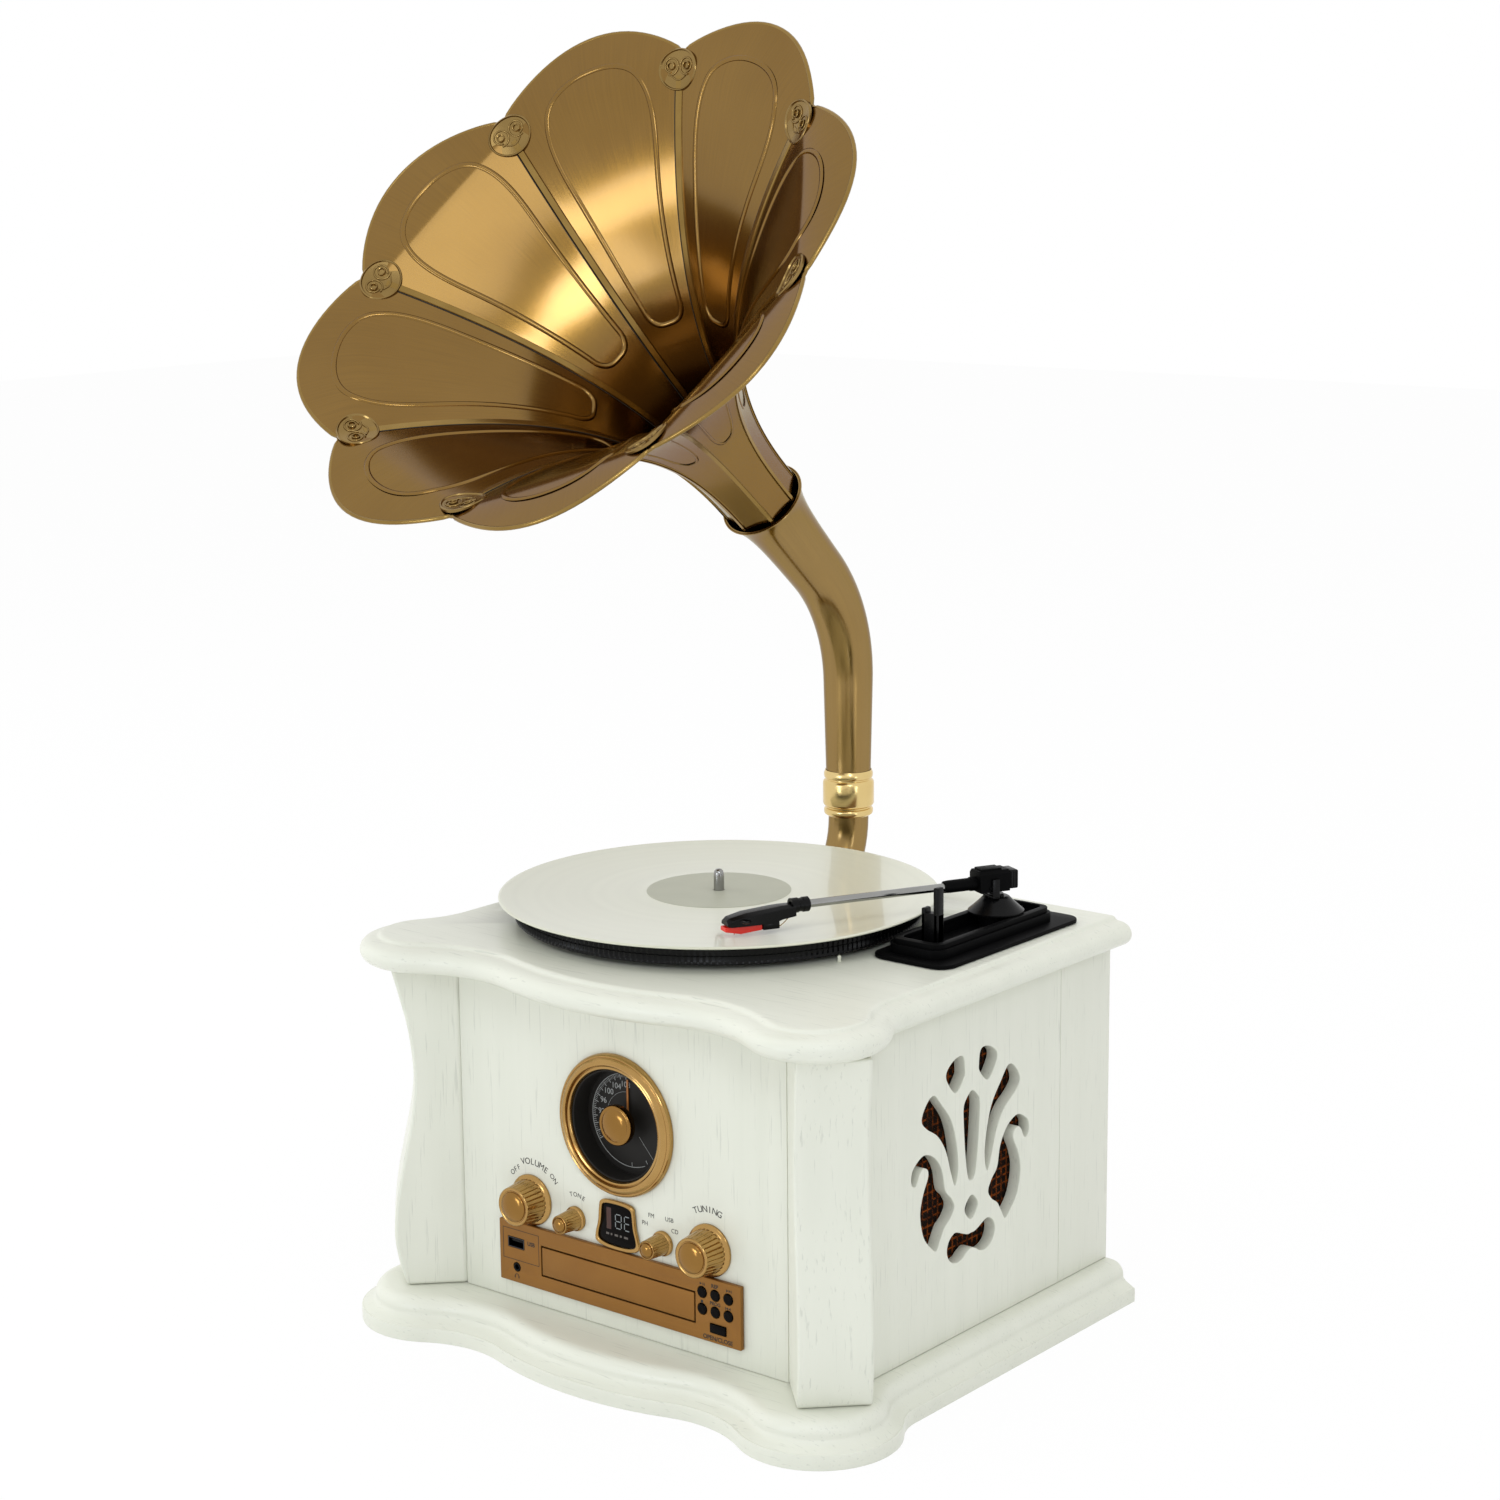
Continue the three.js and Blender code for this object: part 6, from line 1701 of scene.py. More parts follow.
@dataclass
class Dial(Assembly):
    """The radio dial: a stepped ring, a black sleeve, a printed scale, a pointer and a domed hub."""

    z: float = DIAL_HEIGHT
    radius: float = 48.2
    bore: float = 36.3
    face_depth: float = 11.5
    hub: float = 13.7

    def build_ring(self) -> None:
        """Turns the ring and its sleeve."""
        r = self.radius
        outline = [(42.7, -14.3), (42.7, 0.3), (r, 0.3), (r, 1.8), (r - 0.4, 3.0), (r - 1.2, 4.2), (r - 1.9, 4.5),
            (r - 2.5, 4.2), (r - 3.0, 4.6), (r - 4.4, 5.9), (r - 5.8, 6.4), (r - 7.0, 6.0), (r - 7.5, 5.2),
            (r - 7.6, 3.7), (r - 7.9, 3.7), (r - 8.1, 4.6), (r - 8.9, 4.9), (r - 9.8, 4.5), (r - 10.4, 3.4),
            (37.6, 2.4), (37.6, -11.5), (38.6, -11.5), (38.6, -14.3)]
        ring = placed(turned("dial_bezel", outline, 96, ring=True), FRONT @ moved(0, self.z, 0))
        dressed(ring, self.finishes.bronze, "dial_ring")
        sleeve = turned("dial_sleeve", [(self.bore, -11.4), (37.5, -11.4), (37.5, 2.2), (37.1, 2.6), (36.7, 2.6),
            (self.bore, 2.2)], 96, ring=True)
        dressed(placed(sleeve, FRONT @ moved(0, self.z, 0)), self.finishes.face)

    @staticmethod
    def printed_line(half: float, foot: float, end: float, angle: float) -> Piece:
        """Prints one line of the scale, which points away from the centre."""
        return placed(block("tick", (-half, foot, 0.27), (half, end, 0.34), 0), turn_about("Z", angle))

    def build_face(self) -> None:
        """Turns the face and prints its scale."""
        top = -self.face_depth - LIFT
        face = turned("dial_plate", [(2.8, top - 2.2), (38.2, top - 2.2), (38.2, top), (34.6, top), (34.4, top + 0.25),
            (2.8, top + 0.25)], 96, ring=True)
        dressed(placed(face, FRONT @ moved(0, self.z, 0)), self.finishes.face, "dial_face")
        marks = []
        for i in range(49):
            long = i % 4 == 0
            half, foot = (0.26, 27.6) if long else (0.15, 29.0)
            marks.append(self.printed_line(half, foot, 31.0, 4 + i * 2.5))
        for i, text in enumerate(("88", "92", "96", "100", "104", "108")):
            angle = radians(-106 + i * 20)
            marks.append(placed(lettered(text, 5.6, 24.0 * sin(angle), 24.0 * cos(angle), 0),
                moved(0, 0, 0.3)))
        for radius, first, last, thick in ((31.6, -205, -2, 0.24), (19.2, -112, -4, 0.12)):
            arc = [Vector((radius * sin(radians(a)), radius * cos(radians(a)), 0.3))
                for a in range(first, last, 3)]
            marks.append(wire("scale_arc", arc, thick))
        marks.append(self.printed_line(0.12, 13, 33, -138))
        marks += [self.printed_line(0.2, 28.4, 31, angle) for angle in (-98, -118, -150, -176)]
        scale = placed(joined("dial_scale", marks), FRONT @ moved(0, self.z, top))
        dressed(scale, self.finishes.scale_ink)

    def build_pointer(self) -> None:
        """Turns the hub and bends the pointer."""
        back = -self.face_depth
        outline = [(0, -26), (2.5, -26), (2.5, back + 0.4), (4.6, back + 0.4), (4.6, back + 1.4), (2.5, back + 1.5),
            (2.5, -2.5), (self.hub - 1.2, -2.5), (self.hub - 0.3, -2), (self.hub, -1), (self.hub, 1.6),
            (self.hub - 0.3, 2.6), (self.hub - 1.1, 3.3), (self.hub - 2, 3.4), (self.hub - 2.8, 3.2),
            (10, 3.9), (7.4, 4.7), (4.6, 5.2), (2.3, 5.5), (0, 5.6)]
        hub = placed(turned("pointer_hub", outline, 64), FRONT @ moved(0, self.z, 0))
        dressed(hub, self.finishes.polished, "dial_pointer", body="pointer")
        bar = block("bar", (-0.7, 3, back + 0.5), (0.7, 28, back + 1.3), 0.25)
        dressed(placed(joined("pointer_bar", [bar]), FRONT @ moved(0, self.z, 0)), self.finishes.pointer,
            body="pointer")

    def build(self) -> None:
        """Builds and dresses the dial."""
        self.build_ring()
        self.build_face()
        self.build_pointer()


@dataclass
class Display(Assembly):
    """The small display: a bronze rim, a dark window and dim segments behind it."""

    z: float = 101.0
    half_width: float = 19.0
    height: float = 34.0
    rim: float = 2.6

    def outline(self, inset: float) -> list[Flat]:
        """Gives the keystone outline, drawn in by an inset.

        Args:
            inset: how far it is drawn in.

        Returns:
            The points of the outline.
        """
        table = [(0, 1), (0.5, 0.985), (0.74, 0.93), (0.8, 0.8), (0.86, 0.5), (0.98, 0.25), (0.96, 0.1), (0.6, 0.02),
            (0, 0)]
        width, height = self.half_width - inset, self.height - inset * 2
        right = [(x * width, (y - 0.5) * height) for x, y in table]
        return smooth_run(right + [(-x, y) for x, y in right[-2:0:-1]], 6, closed=True)

    @staticmethod
    def digit(x: float, y: float, width: float, height: float, lit: str) -> list[Piece]:
        """Makes the lit segments of one figure, named by the letters a to g.

        Args:
            x: its left side.
            y: its foot.
            width: its width.
            height: its height.
            lit: the lit segments.

        Returns:
            The segments.
        """
        stroke, w, h = 0.62, width, height
        bars = {"a": (0, h, 1), "b": (w, h * 0.75, 0), "c": (w, h * 0.25, 0), "d": (0, 0, 1), "e": (0, h * 0.25, 0),
            "f": (0, h * 0.75, 0), "g": (0, h / 2, 1)}
        made = []
        for key in lit:
            at_x, at_y, lies = bars[key]
            if lies:
                low, high = (0.6, at_y - stroke / 2, 0), (w - 0.6, at_y + stroke / 2, 0.1)
            else:
                low, high = (at_x - stroke / 2, at_y - h / 4 + 0.6, 0), (at_x + stroke / 2, at_y + h / 4 - 0.6, 0.1)
            made.append(placed(block("segment", low, high, 0), moved(x, y, 0)))
        return made

    def build(self) -> None:
        """Builds and dresses the display."""
        seat = FRONT @ moved(0, self.z, LIFT)
        rim = placed(sawn("display_rim", [self.outline(0), self.outline(self.rim)], 2.8, 0.9), seat)
        dressed(rim, self.finishes.bronze, "display_bezel")
        window = placed(sawn("display_glass", [self.outline(self.rim + 0.2)], 1.4, 0.3), seat)
        dressed(window, self.finishes.gloss, "display_window", slot=Slot.WINDOW)
        front = FRONT @ moved(0, 0, 1.72)
        digits = self.digit(-1.6, 98.9, 5.0, 9.6, "abcdefg") + self.digit(6.2, 98.9, 4.6, 9.6, "adefg")
        dressed(placed(joined("display_digits", digits), front), self.finishes.digit)
        bar = [placed(block("bar", (-9.4, 97.2, 0), (-5.4, 112, 0.08), 0.03), front)]
        dressed(joined("display_bar", bar), self.finishes.bar)
        row = [block("mark", (x, 93.2, 0), (x + w, 94.6, 0.08), 0) for x,
            w in ((-10, 2.6), (-6, 1.4), (-2.6, 3), (2, 1.6), (5.6, 3.4))]
        dressed(placed(joined("display_marks", row), front), self.finishes.mark)


@dataclass
class Fascia(Assembly):
    """The bronze cover plate with the disc drawer, the keys, the sockets and the printed words."""

    half_width: float = 105.3
    foot: float = 40.7
    height: float = 43.0
    thickness: float = 3.4
    tray_half: float = 67.1
    tray_foot: float = 50.9
    tray_height: float = 20.7
    key_x: float = 73.3
    key_pitch: float = 10.85
    key_top: float = 73.1
    key_drop: float = 11.4
    key_radius: float = 3.6
    disc_y: float = -93.5
    socket_depth: float = 8.3

    def build_plate(self) -> None:
        """Saws the cover plate and engraves the box round the socket."""
        half, low, high = self.tray_half + 0.5, self.tray_foot - 0.5, self.tray_foot + self.tray_height + 0.5
        loops = [rectangle(-self.half_width, self.half_width, self.foot, self.foot + self.height, 0.8),
            rectangle(-half, half, low, high), rectangle(-97.8, -82.8, 65, 72.6, 0.4), circle(-90, 51.7, 3.3, 32),
            rectangle(79.6, 93.2, 47.2, 53.8, 0.4)]
        for i in range(3):
            for k in range(2):
                loops.append(circle(self.key_x + i * self.key_pitch, self.key_top - k * self.key_drop, self.key_radius
                    + 0.35, 36))
        plate = sawn("cover_plate", loops, self.thickness, 0.45)
        seat = FRONT @ moved(0, 0, LIFT)
        dressed(placed(plate, seat), self.finishes.plate, "cd_faceplate")
        top = self.thickness
        lines = []
        for low, high in (((-101.9, 78.1), (-69.4, 78.5)), ((-101.9, 56.6), (-69.4, 57)),
                ((-102.1, 56.6), (-101.7, 78.5)),
                ((-69.6, 56.6), (-69.2, 78.5))):
            lines.append(block("line", (*low, top), (*high, top + 0.06), 0))
        dressed(placed(joined("engraved_box", lines), seat), self.finishes.dark_ink)

    def build_drawer(self) -> None:
        """Builds the drawer with its round recess."""
        half, low, high = self.tray_half - 0.6, self.tray_foot + 0.6, self.tray_foot + self.tray_height - 0.6
        front = block("drawer_front", (-half, -162.7, low), (half, -158.5, high), 0.5, 3)
        body = block("drawer_body", (-64.1, -159.5, 53.9), (64.1, -28.5, 62.9), 0.6)
        recess = turned("recess", [(0, 56.9), (59.7, 56.9), (60.5, 57.5), (60.5, 70), (0, 70)], 96)
        spindle = turned("disc_boss", [(0, 56), (11, 56), (11, 58), (9.5, 58.6), (0, 58.6)], 48)
        for piece in (recess, spindle):
            placed(piece, moved(0, self.disc_y, 0))
        whole = joined("disc_drawer", [carved(body, recess), front])
        dressed(whole, self.finishes.plate, "cd_tray", body="drawer")
        dressed(spindle, self.finishes.black, body="drawer")

    def build_keys(self) -> None:
        """Turns the six round keys and shapes the long one."""
        names = ("play", "repeat", "next", "stop", "program", "previous")
        outline = [(0, -1.6), (4.4, -1.6), (4.4, 0), (3.6, 0.1), (3.6, 3.9), (3.3, 4.3), (2.6, 4.5), (1.2, 4.35),
            (0, 4.3)]
        first = turned("key", outline, 40)
        for i, name in enumerate(names):
            x = self.key_x + (i % 3) * self.key_pitch
            z = self.key_top - (i // 3) * self.key_drop
            key = copied(first, f"{name}_key_cap", FRONT @ moved(x, z, 0))
            dressed(key, self.finishes.gloss, f"{name}_key", body=f"{name}_button")
        select(first)
        bpy.ops.object.delete()
        body = block("long_key", (79.9, 47.5, -1), (92.9, 53.5, 4.5), 0.6, 3)
        foot = block("long_key_foot", (79.1, 46.7, -1.6), (93.7, 54.3, 0), 0.2)
        key = placed(joined("open_close_key_cap", [body, foot]), FRONT)
        dressed(key, self.finishes.gloss, "open_close_key", body="open_close_button")

    def build_sockets(self) -> None:
        """Builds the USB socket and the headphone socket."""
        shell = sawn("usb_shell", [rectangle(-97.5, -83.1, 65.3, 72.3, 0.6), rectangle(-97.0, -83.6, 65.8, 71.8, 0.3)],
            12, 0.15)
        tongue = block("tongue", (-95.3, 69.2, 0.4), (-85.3, 71.0, 10.6), 0.2)
        back = block("back", (-96.6, 66.2, 0), (-84, 71.4, 0.8), 0)
        socket = placed(joined("usb_shell", [shell, back]), FRONT @ moved(0, 0, -self.socket_depth))
        dressed(socket, self.finishes.steel, "usb_socket")
        dressed(placed(tongue, FRONT @ moved(0, 0, -self.socket_depth)), self.finishes.black)
        jack = turned("jack_ring", [(1.8, -8), (3, -8), (3, 3.4), (2.7, 3.9), (2.2, 3.9), (1.8, 3.5)], 36, ring=True)
        plug = turned("jack_end", [(0, -8), (2, -8), (2, -7.5), (0, -7.5)], 24)
        whole = placed(joined("jack_ring", [jack, plug]), FRONT @ moved(-90, 51.7, 0))
        dressed(whole, self.finishes.black, "headphone_socket")

    def build_words(self) -> None:
        """Prints the plain function words on the panel and on the plate."""
        words = []
        for text, size, control, radius, middle, pitch in (
            ("VOLUME", 6.2, "volume", 26.4, 6, 9.2), ("OFF", 5.0, "volume", 23.4, -39, 8.6),
            ("ON", 5.0, "volume", 27.2, 47, 8.4), ("TONE", 4.4, "tone", 16.4, 5, 13),
            ("TUNING", 6.2, "tuning", 26.8, -4, 8.8),
        ):
            words += lettered_arc(text, size, KNOBS[control], radius, middle, pitch)
        for text, x, z in (("FM", 28, 113.5), ("PH", 22.5, 107.3), ("USB", 43.4, 113.9), ("CD", 48, 107)):
            words.append(lettered(text, 4.2, x, z))
        printed = placed(joined("panel_words", words), FRONT @ moved(0, 0, 0.06))
        dressed(printed, self.finishes.ink)
        marks = [lettered(text, size, x, z, bold=0.03) for text, size, x, z in
            (("USB", 3.9, -76.4, 70.6), ("REP", 3.6, 84.0, 79.2), ("PROG", 3.3, 84.2, 67.4),
             ("OPEN/CLOSE", 4.2, 86.2, 43.7))]
        for x, z, way in ((72.4, 78.9, 1), (94.4, 78.9, 1), (96.4, 78.9, 1), (96.2, 66.9, -1), (94.2, 66.9, -1)):
            shape = [(x - way * 0.8, z - 0.95), (x + way * 0.9, z), (x - way * 0.8, z + 0.95)]
            marks.append(sawn("arrow", [shape if way > 0 else shape[::-1]], 0.06, 0.0))
        for x0, x1, z in ((74.0, 74.5, 78.9), (75.1, 75.6, 78.9), (97.5, 98.0, 78.9), (92.6, 93.1, 66.9),
                (72.3, 74.2, 66.9)):
            marks.append(block("mark", (x0, z - 0.95, 0), (x1, z + 0.95, 0.06), 0))
        arc = [Vector((-90 + 1.7 * cos(a), 45.2 + 1.7 * sin(a), 0.05))
            for a in [pi * i / 12 for i in range(13)]]
        marks += [wire("band", arc, 0.22), block("ear", (-92.1, 44, 0), (-91.3, 45.6, 0.06), 0),
            block("ear", (-88.7, 44, 0), (-87.9, 45.6, 0.06), 0)]
        printed = placed(joined("plate_words", marks), FRONT @ moved(0, 0, LIFT + self.thickness + 0.02))
        dressed(printed, self.finishes.dark_ink)

    def build(self) -> None:
        """Builds and dresses the fascia."""
        self.build_plate()
        self.build_drawer()
        self.build_keys()
        self.build_sockets()
        self.build_words()


# Deck


@dataclass
class Turntable(Assembly):
    """The platter with its ribbed rim, the white record, its label and the spindle."""

    radius: float = 140.0
    record_radius: float = 151.0
    label_radius: float = 50.0
    ribs: int = 220

    def build(self) -> None:
        """Builds and dresses the turntable."""
        r = self.radius

        def ribbed(co: Vector) -> float:
            """Presses the ribs into the rim.

            Args:
                co: a point of the platter.

            Returns:
                The factor for its radius.
            """
            z = co.z / MM
            if co.xy.length < (r - 1.2) * MM or not (279.5 < z < 288):
                return 1.0
            return 1 - 0.0055 * (0.5 + 0.5 * cos(self.ribs * atan2(co.y, co.x)))

        outline = [(4, 281.4), (9, 281.4), (9, 287.5), (60, 287.5), (60, 279), (63, 279), (63, 287.5), (r - 3, 287.5),
            (r - 3, 278), (r - 0.4, 278), (r, 278.5), (r, 279.8), (r - 0.1, 280), (r - 0.1, 283.4),
            (r - 0.9, 283.6),
            (r - 0.9, 284.2), (r - 0.1, 284.4), (r - 0.1, 287.8), (r, 288), (r, 288.8), (r - 0.8, 290),
            (r - 2, 290.5),
            (4, 290.5)]
        platter = placed(turned("ribbed_platter", outline, self.ribs * 4, ring=True, shape=ribbed), DECK)
        dressed(platter, self.finishes.black, "platter", body="turntable")
        rr, low = self.record_radius, 290.8
        disc = [(3.9, low), (rr - 2.5, low), (rr - 0.7, low + 0.25), (rr, low + 0.8), (rr, low + 1.3),
            (rr - 0.7, low + 1.85),
            (rr - 1.8, low + 2.0), (rr - 3.2, low + 1.7), (self.label_radius + 14, low + 1.7),
            (self.label_radius + 1.5, low + 1.75), (self.label_radius, low + 1.9), (3.9, low + 2.0)]
        record = placed(turned("white_record", disc, 180, ring=True), DECK)
        dressed(record, self.finishes.vinyl, "record", body="turntable")
        label = turned("record_label", [(3.9, low + 1.95), (self.label_radius - 0.4, low + 1.9),
            (self.label_radius - 0.4, low + 2.12), (3.9, low + 2.12)], 120, ring=True)
        dressed(placed(label, DECK), self.finishes.paper, body="turntable")
        pin = [(0, 253), (3.6, 253), (3.6, 302.6), (3.45, 304.6), (3.0, 306.3), (2.0, 307.4), (0.9, 307.75), (0, 307.8)]
        dressed(placed(turned("chrome_spindle", pin, 48), DECK), self.finishes.chrome, "spindle")
        peg = turned("transit_peg", [(0, 274.3), (1.3, 274.3), (1.3, 277.6), (1.0, 278.2), (0.5, 278.5), (0, 278.6)],
            24)
        dressed(placed(peg, moved(103.6, -56, 0)), self.finishes.vinyl, slot=Slot.WOOD)


@dataclass
class ToneArm(Assembly):
    """The tonearm: a stepped base with a well, a conical turret, a pivot block, a tube and a faceted headshell."""

    foot: float = 274.6
    wall_top: float = 287.0
    lift_z: float = 308.0

    def build_base(self) -> None:
        """Moulds the base, the turret and the rest."""
        flange = placed(sawn("arm_base", [rectangle(112, 174, -37, 125, 12)], 2.7, 0.8), moved(0, 0, self.foot))
        steps = [(119, 163, -28, 108, 10, 2.7, 9.0), (121, 161, -26, 106, 8.4, 9.0, self.wall_top - self.foot)]
        well = rectangle(126.5, 155.5, -20, 103, 5)
        parts = [flange]
        for left, right, low, high, corner, start, end in steps:
            ring = sawn("arm_base", [rectangle(left, right, low, high, corner), well], end - start + 0.6, 0.5)
            parts.append(placed(ring, moved(0, 0, self.foot + start - 0.6)))
        floor = placed(sawn("arm_base", [rectangle(125, 157, -22, 104.5, 5)], 3.4, 0.2), moved(0, 0, self.foot + 0.2))
        base = joined("stepped_base", [*parts, floor])
        dressed(base, self.finishes.grained, "tonearm_base")
        outline = [(3.3, 284), (3.3, 298), (6.0, 298), (8.4, 298.0), (9.2, 297.5), (11.4, 295.2), (14.0, 292.8),
            (16.6, 290.4), (18.4, 289.0), (19, 288.4), (19, 287.4), (12.1, 287.3), (12.1, 278.3), (3.3, 278.3)]
        turret = placed(turned("conical_turret", outline, 64, ring=True), moved(*ARM_PIVOT, 0))
        dressed(turret, self.finishes.black, "tonearm_turret")
        inner = block("rest", (132.8, -6, 278.3), (135.8, 1, 304.4), 0.7, 3)
        outer = block("rest", (142.2, -6, 278.3), (146.2, 1, 319), 1.0, 3)
        web = block("rest", (132.8, -6, 278.3), (146.2, 1, 301.4), 0.7, 3)
        foot = block("rest", (130.5, -8, 278.2), (148.5, 3, 282), 0.6, 2)
        rest = joined("forked_rest", [inner, outer, web, foot])
        dressed(rest, self.finishes.black, "arm_rest")

    def build_pivot(self) -> None:
        """Builds the yoke, the pivot block and the counterweight."""
        z = self.lift_z
        disc = turned("yoke", [(0, 287.3), (3, 287.3), (3, 298.3), (5.4, 298.3), (5.4, 299.3), (4.9, 299.8),
            (0, 299.8)], 32)
        bridge = block("bridge", (-9.8, -7.75, 298.3), (9.8, -2.25, 299.8), 0.3)
        cheeks = [block("cheek", (s * 8.3 if s > 0 else -9.8, -7.75, 298.3), (9.8 if s > 0 else -8.3, -2.25, 311.5),
                  0.5)
            for s in (-1, 1)]
        yoke = placed(joined("pivot_yoke", [disc, bridge, *cheeks]), ARM)
        dressed(yoke, self.finishes.black, "tonearm_yoke", body="arm_swing")
        half, chamfer = 8.0, 2.2
        section = [(-half, 302.5), (half, 302.5), (half, 317 - chamfer), (half - chamfer, 317), (chamfer - half, 317),
            (-half, 317 - chamfer)]
        body = sawn("pivot_block", [section], 22.5, 0.5)
        placed(body, moved(0, 6.5, 0) @ turn_about("X", 90))
        sleeve = turned("sleeve", [(3.0, 12), (4.8, 12), (4.8, 20), (4.3, 20.6), (4.3, 36), (4.0, 39.5), (3.0, 39.5)],
            40, ring=True)
        placed(sleeve, moved(0, 0, z) @ turn_about("X", 90))
        steps = [block("step", (-5.2, -14, 316), (5.2, 1.5, 318.2), 0.5),
            block("step", (-8.8, -9.5, 304.4), (8.8, -0.5, 306.2), 0.4)]
        whole = placed(joined("pivot_block", [body, sleeve, *steps]), ARM)
        dressed(whole, self.finishes.grained, "tonearm_block", body="arm_lift")
        screw = turned("white_screw", [(0, 0), (2.3, 0), (2.3, 0.9), (1.8, 1.3), (0, 1.5)], 24)
        placed(screw, ARM @ moved(-8.1, -5, z) @ turn_about("Y", -90))
        dressed(screw, self.finishes.vinyl, body="arm_lift", slot=Slot.BLACK)
        weight = block("weight", (-7, 6.8, 303.2), (7, 13.3, 316), 1.2, 3)
        fins = [block("fin", (-7.4, 7.6 + i * 1.9, 304), (7.4, 8.5 + i * 1.9, 315.2), 0.2) for i in range(3)]
        dressed(placed(joined("tail_weight", [weight, *fins]), ARM), self.finishes.black, "counterweight",
            body="arm_lift")

    def build_tube(self) -> None:
        """Draws the tube and shapes the headshell with its cartridge."""
        tube = turned("arm_tube", [(0, 22), (2.7, 22), (2.7, 146), (0, 146)], 40)
        placed(tube, ARM @ moved(0, 0, self.lift_z) @ turn_about("X", 90))
        dressed(tube, self.finishes.chrome, "tonearm_tube", body="arm_lift")
        collar = turned("shell_collar", [(3.0, 139), (4.4, 139), (5, 139.6), (5, 143.4), (4.5, 144), (4.5, 146.4),
                             (5, 147), (5, 152), (3.0, 152)],
            40, ring=True)
        placed(collar, moved(0, 0, self.lift_z) @ turn_about("X", 90))
        rows = []
        for y, half, low, high in ((-150, 5.6, 302, 309.6), (-160, 6.4, 301, 309.6), (-166, 7.5, 299.5, 309.2),
                (-186, 7.5, 299.5, 307.6), (-196.4, 6.4, 299.5, 305.4), (-198.6, 5.6, 300.2, 303.8)):
            ridge = half * 0.55
            rows.append([Vector(p) for p in ((-half, y, low), (half, y, low), (half, y, high - 1.8), (ridge, y, high),
                (-ridge, y, high), (-half, y, high - 1.8))])
        shell = smoothed(rounded(lofted("shell", rows, closed=True, capped=True), 0.35, 2, 20), 20)
        carrier = block("carrier", (-5.6, -173.7, 295.2), (5.6, -162, 300), 0.5)
        finger = wire("finger_lift", [Vector(p) for p in ((7, -184, 303), (10, -186, 303), (13, -189, 303.6),
            (15, -193, 305.2))], 0.9)
        whole = placed(joined("faceted_headshell", [shell, collar, carrier, finger]), ARM)
        dressed(whole, self.finishes.black, "headshell", body="arm_lift")
        rows = []
        for y, half, low in ((-174, 4.6, 295.4), (-189, 4.6, 294.2), (-199.9, 4.0, 296.4)):
            rows.append([Vector(p) for p in ((-half, y, low), (half, y, low), (half, y, 299.3), (-half, y, 299.3))])
        body = smoothed(rounded(lofted("cartridge", rows, closed=True, capped=True), 0.4, 2, 30), 30)
        needle = turned("needle", [(0, 293.1), (0.2, 293.3), (0.8, 296.6), (0, 296.7)], 12)
        placed(needle, moved(0, -192, 0))
        dressed(placed(joined("red_cartridge", [body, needle]), ARM), self.finishes.red, "stylus_cartridge",
            body="arm_lift")
        loop = [Vector((4.2, -168.5 + i * 1.6, 297 + i * 0.5 - sin(pi * i / 8) * 2.6)) for i in range(9)]
        dressed(placed(wire("gold_lead", loop, 0.3), ARM), self.finishes.trim, body="arm_lift", slot=Slot.RED)

    def build(self) -> None:
        """Builds and dresses the arm."""
        self.build_base()
        self.build_pivot()
        self.build_tube()


# Frame nodes that stay, floor, light and camera


def dress_frame(frame: dict, finishes: Finishes) -> None:
    """Gives each CAD node that still shows its finish.

    Args:
        finishes: the materials.
    """
    kept = {
        finishes.fibre: ("bottom_board", "back_panel"),
        finishes.black: ("power_inlet", "deck_chassis"),
        finishes.cone: ("speaker_left", "speaker_right"),
        finishes.steel: ("cd_mechanism", "motor", "motor_pulley"),
        finishes.laminate: ("control_board", "main_board"),
        finishes.rubber: ("drive_belt",),
    }
    for finish, names in kept.items():
        for name in names:
            mesh = frame["nodes"][name].data
            mesh.materials.clear()
            mesh.materials.append(finish.material)


@dataclass(frozen=True)
class Lamp:
    """One soft lamp, in metres and watts. Metal shows a key lamp, and a fill lamp only lights the paint."""

    name: str
    place: tuple[float, float, float]
    target: tuple[float, float, float]
    size: Flat
    power: float
    key: bool = True

    def hang(self) -> None:
        """Hangs the lamp, slightly cool where it is a key lamp, which sets the tint of the highlights on brass."""
        data = bpy.data.lights.new(self.name, "AREA")
        data.shape = "RECTANGLE"
        data.size, data.size_y, data.energy = *self.size, self.power
        data.color = (0.93, 1.0, 1.09) if self.key else (1.0, 1.0, 1.0)
        lamp = bpy.data.objects.new(self.name, data)
        bpy.context.collection.objects.link(lamp)
        lamp.location = self.place
        lamp.visible_glossy = self.key
        lamp.rotation_euler = (Vector(self.target) - Vector(self.place)).to_track_quat("-Z", "Y").to_euler()


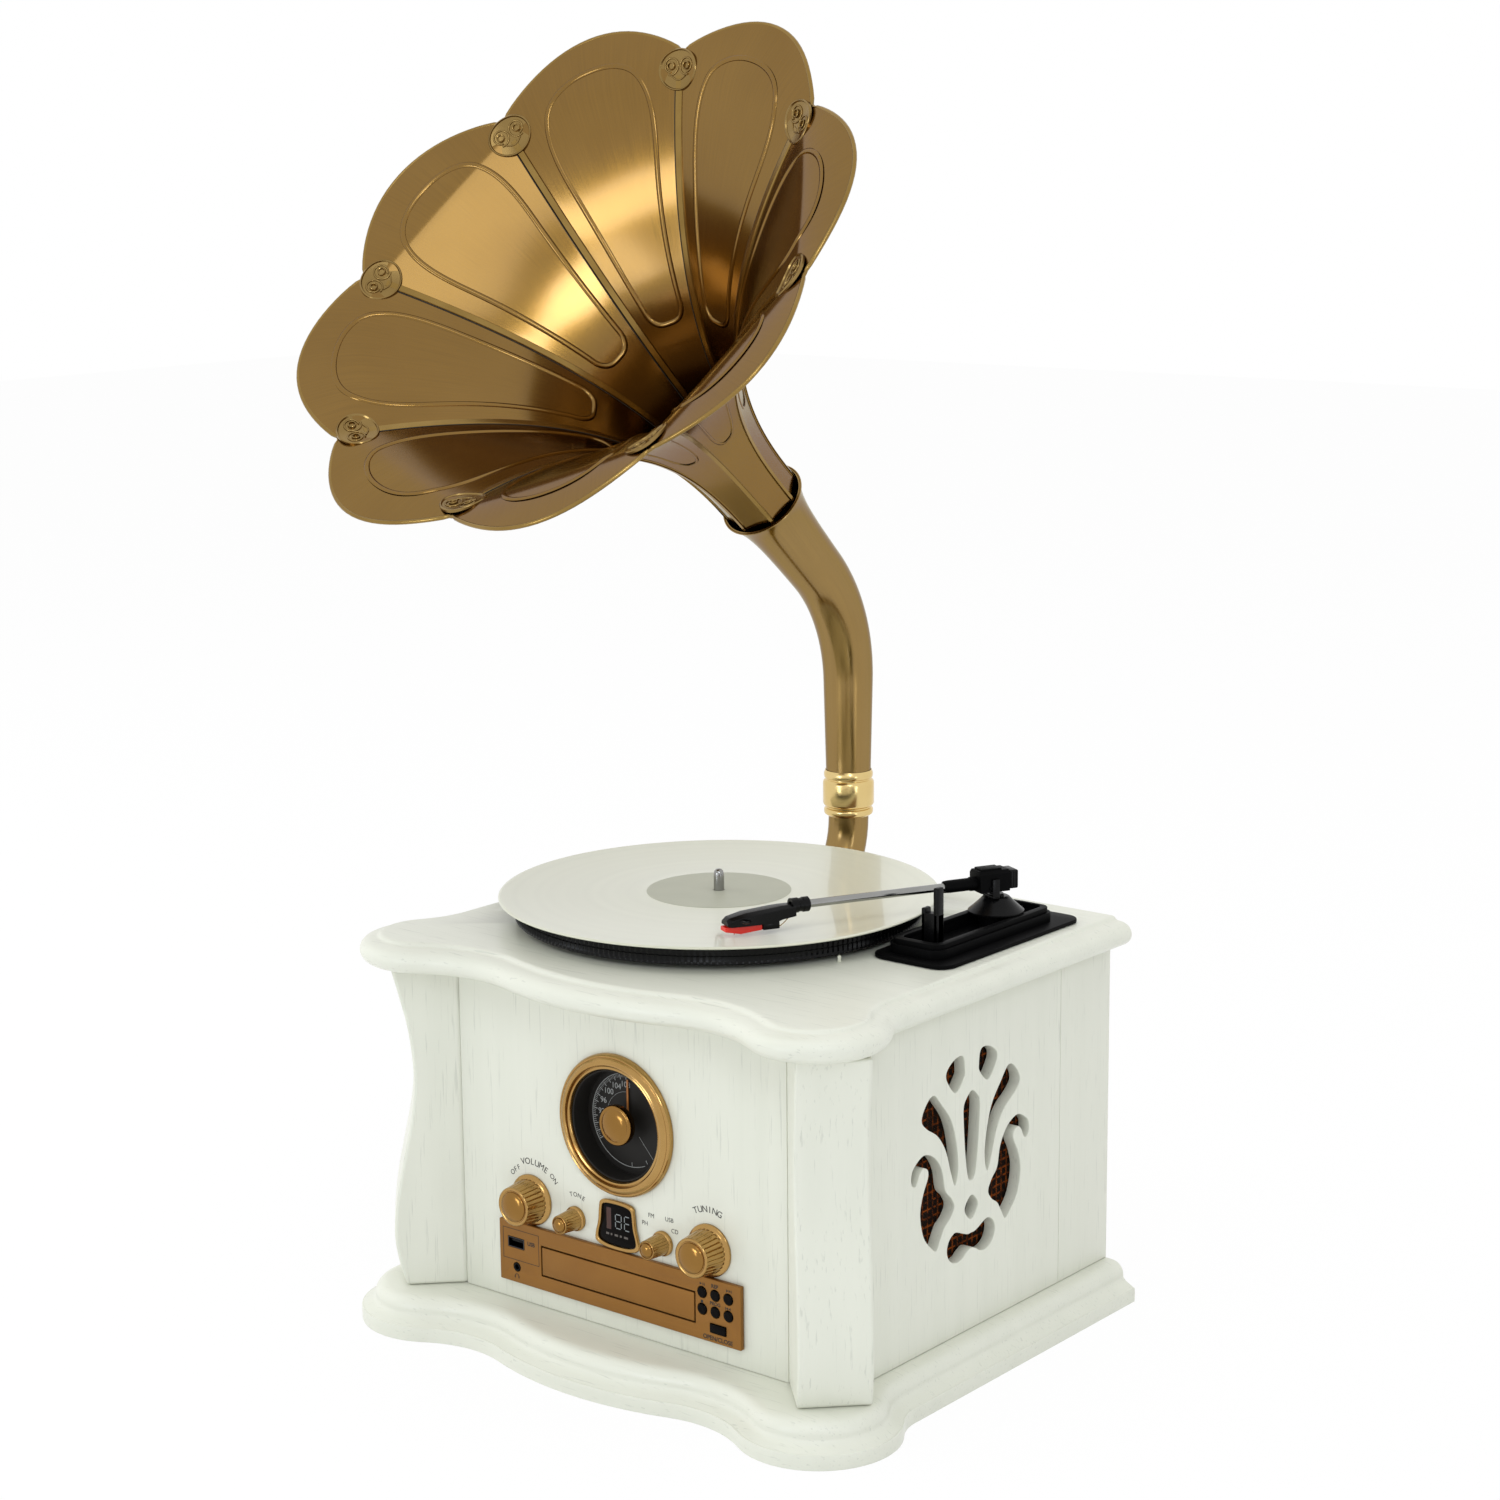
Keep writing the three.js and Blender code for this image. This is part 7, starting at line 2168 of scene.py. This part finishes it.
@dataclass
class Studio:
    """The white studio: floor, backdrop, soft lamps and the camera at the photograph's place."""

    azimuth: float = 39.149
    elevation: float = 11.53
    roll: float = -0.557
    lens: float = 73.98
    place: tuple[float, float, float] = (1279.39, -1589.96, 808.85)
    floor_size: float = 14.0
    floor_level: float = 0.92
    floor_glow: float = 0.95
    world_light: float = 0.69

    def build_camera(self) -> None:
        """Sets the camera at the place worked out from the photograph."""
        az, el, roll = (radians(v) for v in (self.azimuth, self.elevation, self.roll))
        back = Vector((sin(az) * cos(el), -cos(az) * cos(el), sin(el)))
        right = (-back).cross(Vector((0, 0, 1))).normalized()
        up = right.cross(-back)
        across = right * cos(roll) + up * sin(roll)
        upward = up * cos(roll) - right * sin(roll)
        data = bpy.data.cameras.new("camera")
        data.lens, data.sensor_width = self.lens, 36.0
        data.clip_end = 50.0
        camera = bpy.data.objects.new("camera", data)
        bpy.context.collection.objects.link(camera)
        turn = Matrix((across, upward, back)).transposed().to_4x4()
        camera.matrix_world = moved(*self.place) @ turn
        bpy.context.scene.camera = camera

    @staticmethod
    def background_rays(nodes: Nodes) -> Output:
        """Gives 1 to the rays that show the background and 0 to those that light the object.

        Args:
            nodes: the nodes of the world or the floor.

        Returns:
            An output that is 1 for camera, glossy and transmission rays.
        """
        shown = nodes.add("LightPath", out="Is Camera Ray")
        path = shown.node.outputs
        for ray in ("Is Glossy Ray", "Is Transmission Ray"):
            shown = nodes.add("Math", {0: shown, 1: path[ray]}, operation="MAXIMUM")
        return shown

    def build_world(self) -> None:
        """Lights the studio evenly and shows it white to the camera and to metal."""
        world = bpy.data.worlds.new("studio")
        bpy.context.scene.world = world
        world.use_nodes = True
        nodes = Nodes(world.node_tree)
        strength = nodes.add("MapRange", {0: self.background_rays(nodes), 3: self.world_light, 4: 1.0})
        light = nodes.add("Background", {0: grey(1), 1: strength})
        nodes.add("OutputWorld", {0: light})

    def build_floor(self) -> None:
        """Lays a pale floor that fades into the white backdrop and keeps a faint shadow."""
        graph = Graph("pale_floor", Base_Color=grey(self.floor_level), Roughness=0.9)
        glow = {0: self.background_rays(graph), 1: self.floor_glow}
        share = graph.add("Math", glow, operation="MULTIPLY")
        white = graph.add("Emission", {0: grey(1), 1: 1.0})
        end = graph.surface.links[0].to_socket
        graph.tree.links.new(graph.add("MixShader", {0: share, 1: graph.surface, 2: white}), end)
        bpy.ops.object.select_all(action="DESELECT")
        bpy.ops.mesh.primitive_plane_add(size=self.floor_size)
        floor = named("floor")
        floor.data.materials.append(graph.material)

    def build(self) -> None:
        """Builds the studio."""
        bpy.context.scene.view_settings.view_transform = "Standard"
        self.build_camera()
        self.build_world()
        self.build_floor()
        for lamp in (
            Lamp("front_lamp", (-0.42, -2.6, 0.66), (-0.1, 0, 0.6), (0.9, 0.4), 5.8),
            Lamp("camera_lamp", (1.75, -1.6, 1.6), (-0.1, 0, 0.65), (0.45, 0.55), 6.6),
            Lamp("high_lamp", (0.8, -1.75, 2.4), (-0.2, 0, 0.7), (1.3, 0.7), 5.0),
            Lamp("low_front_strip", (-0.25, -1.9, 0.16), (-0.1, 0.24, 0.45), (0.2, 0.7), 1.6),
            Lamp("low_right_strip", (1.7, -0.35, 0.2), (-0.1, 0.24, 0.45), (0.16, 0.7), 1.4),
            Lamp("left_fill", (-2.7, -1.0, 1.2), (0, 0, 0.2), (2.4, 2.0), 28.0, key=False),
            Lamp("top_fill", (0, 0, 2.9), (0, 0, 0.3), (2.6, 2.2), 27.0, key=False),
            Lamp("rear_fill", (1.6, 1.0, 2.3), (0, 0, 0.2), (1.6, 1.6), 3.0, key=False),
        ):
            lamp.hang()


def main() -> None:
    """Builds the record player piece by piece."""
    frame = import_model()
    finishes = Finishes()
    Studio().build()
    log.info("studio built")
    neck_mouth = SwanNeck(finishes).build()
    log.info("swan neck built")
    Bell(finishes, foot_y=neck_mouth[0], foot_z=neck_mouth[1]).build()
    log.info("bell built")
    Cabinet(finishes).build()
    log.info("cabinet built")
    large = {"flange": 17.6, "radius": 15, "nose": 13.3, "depth": 21, "flutes": 28}
    small = {"flange": 8.5, "radius": 7.3, "nose": 6.4, "depth": 18.5, "flutes": 20}
    for control, sizes in (("volume", large), ("tuning", large), ("tone", small), ("function", small)):
        Knob(finishes, control, **sizes).build()
        log.info("%s knob built", control)
    for assembly in (Dial, Display, Fascia, Turntable, ToneArm):
        assembly(finishes).build()
        log.info("%s built", assembly.__name__.lower())
    dress_frame(frame, finishes)


if __name__ == "__main__":
    main()
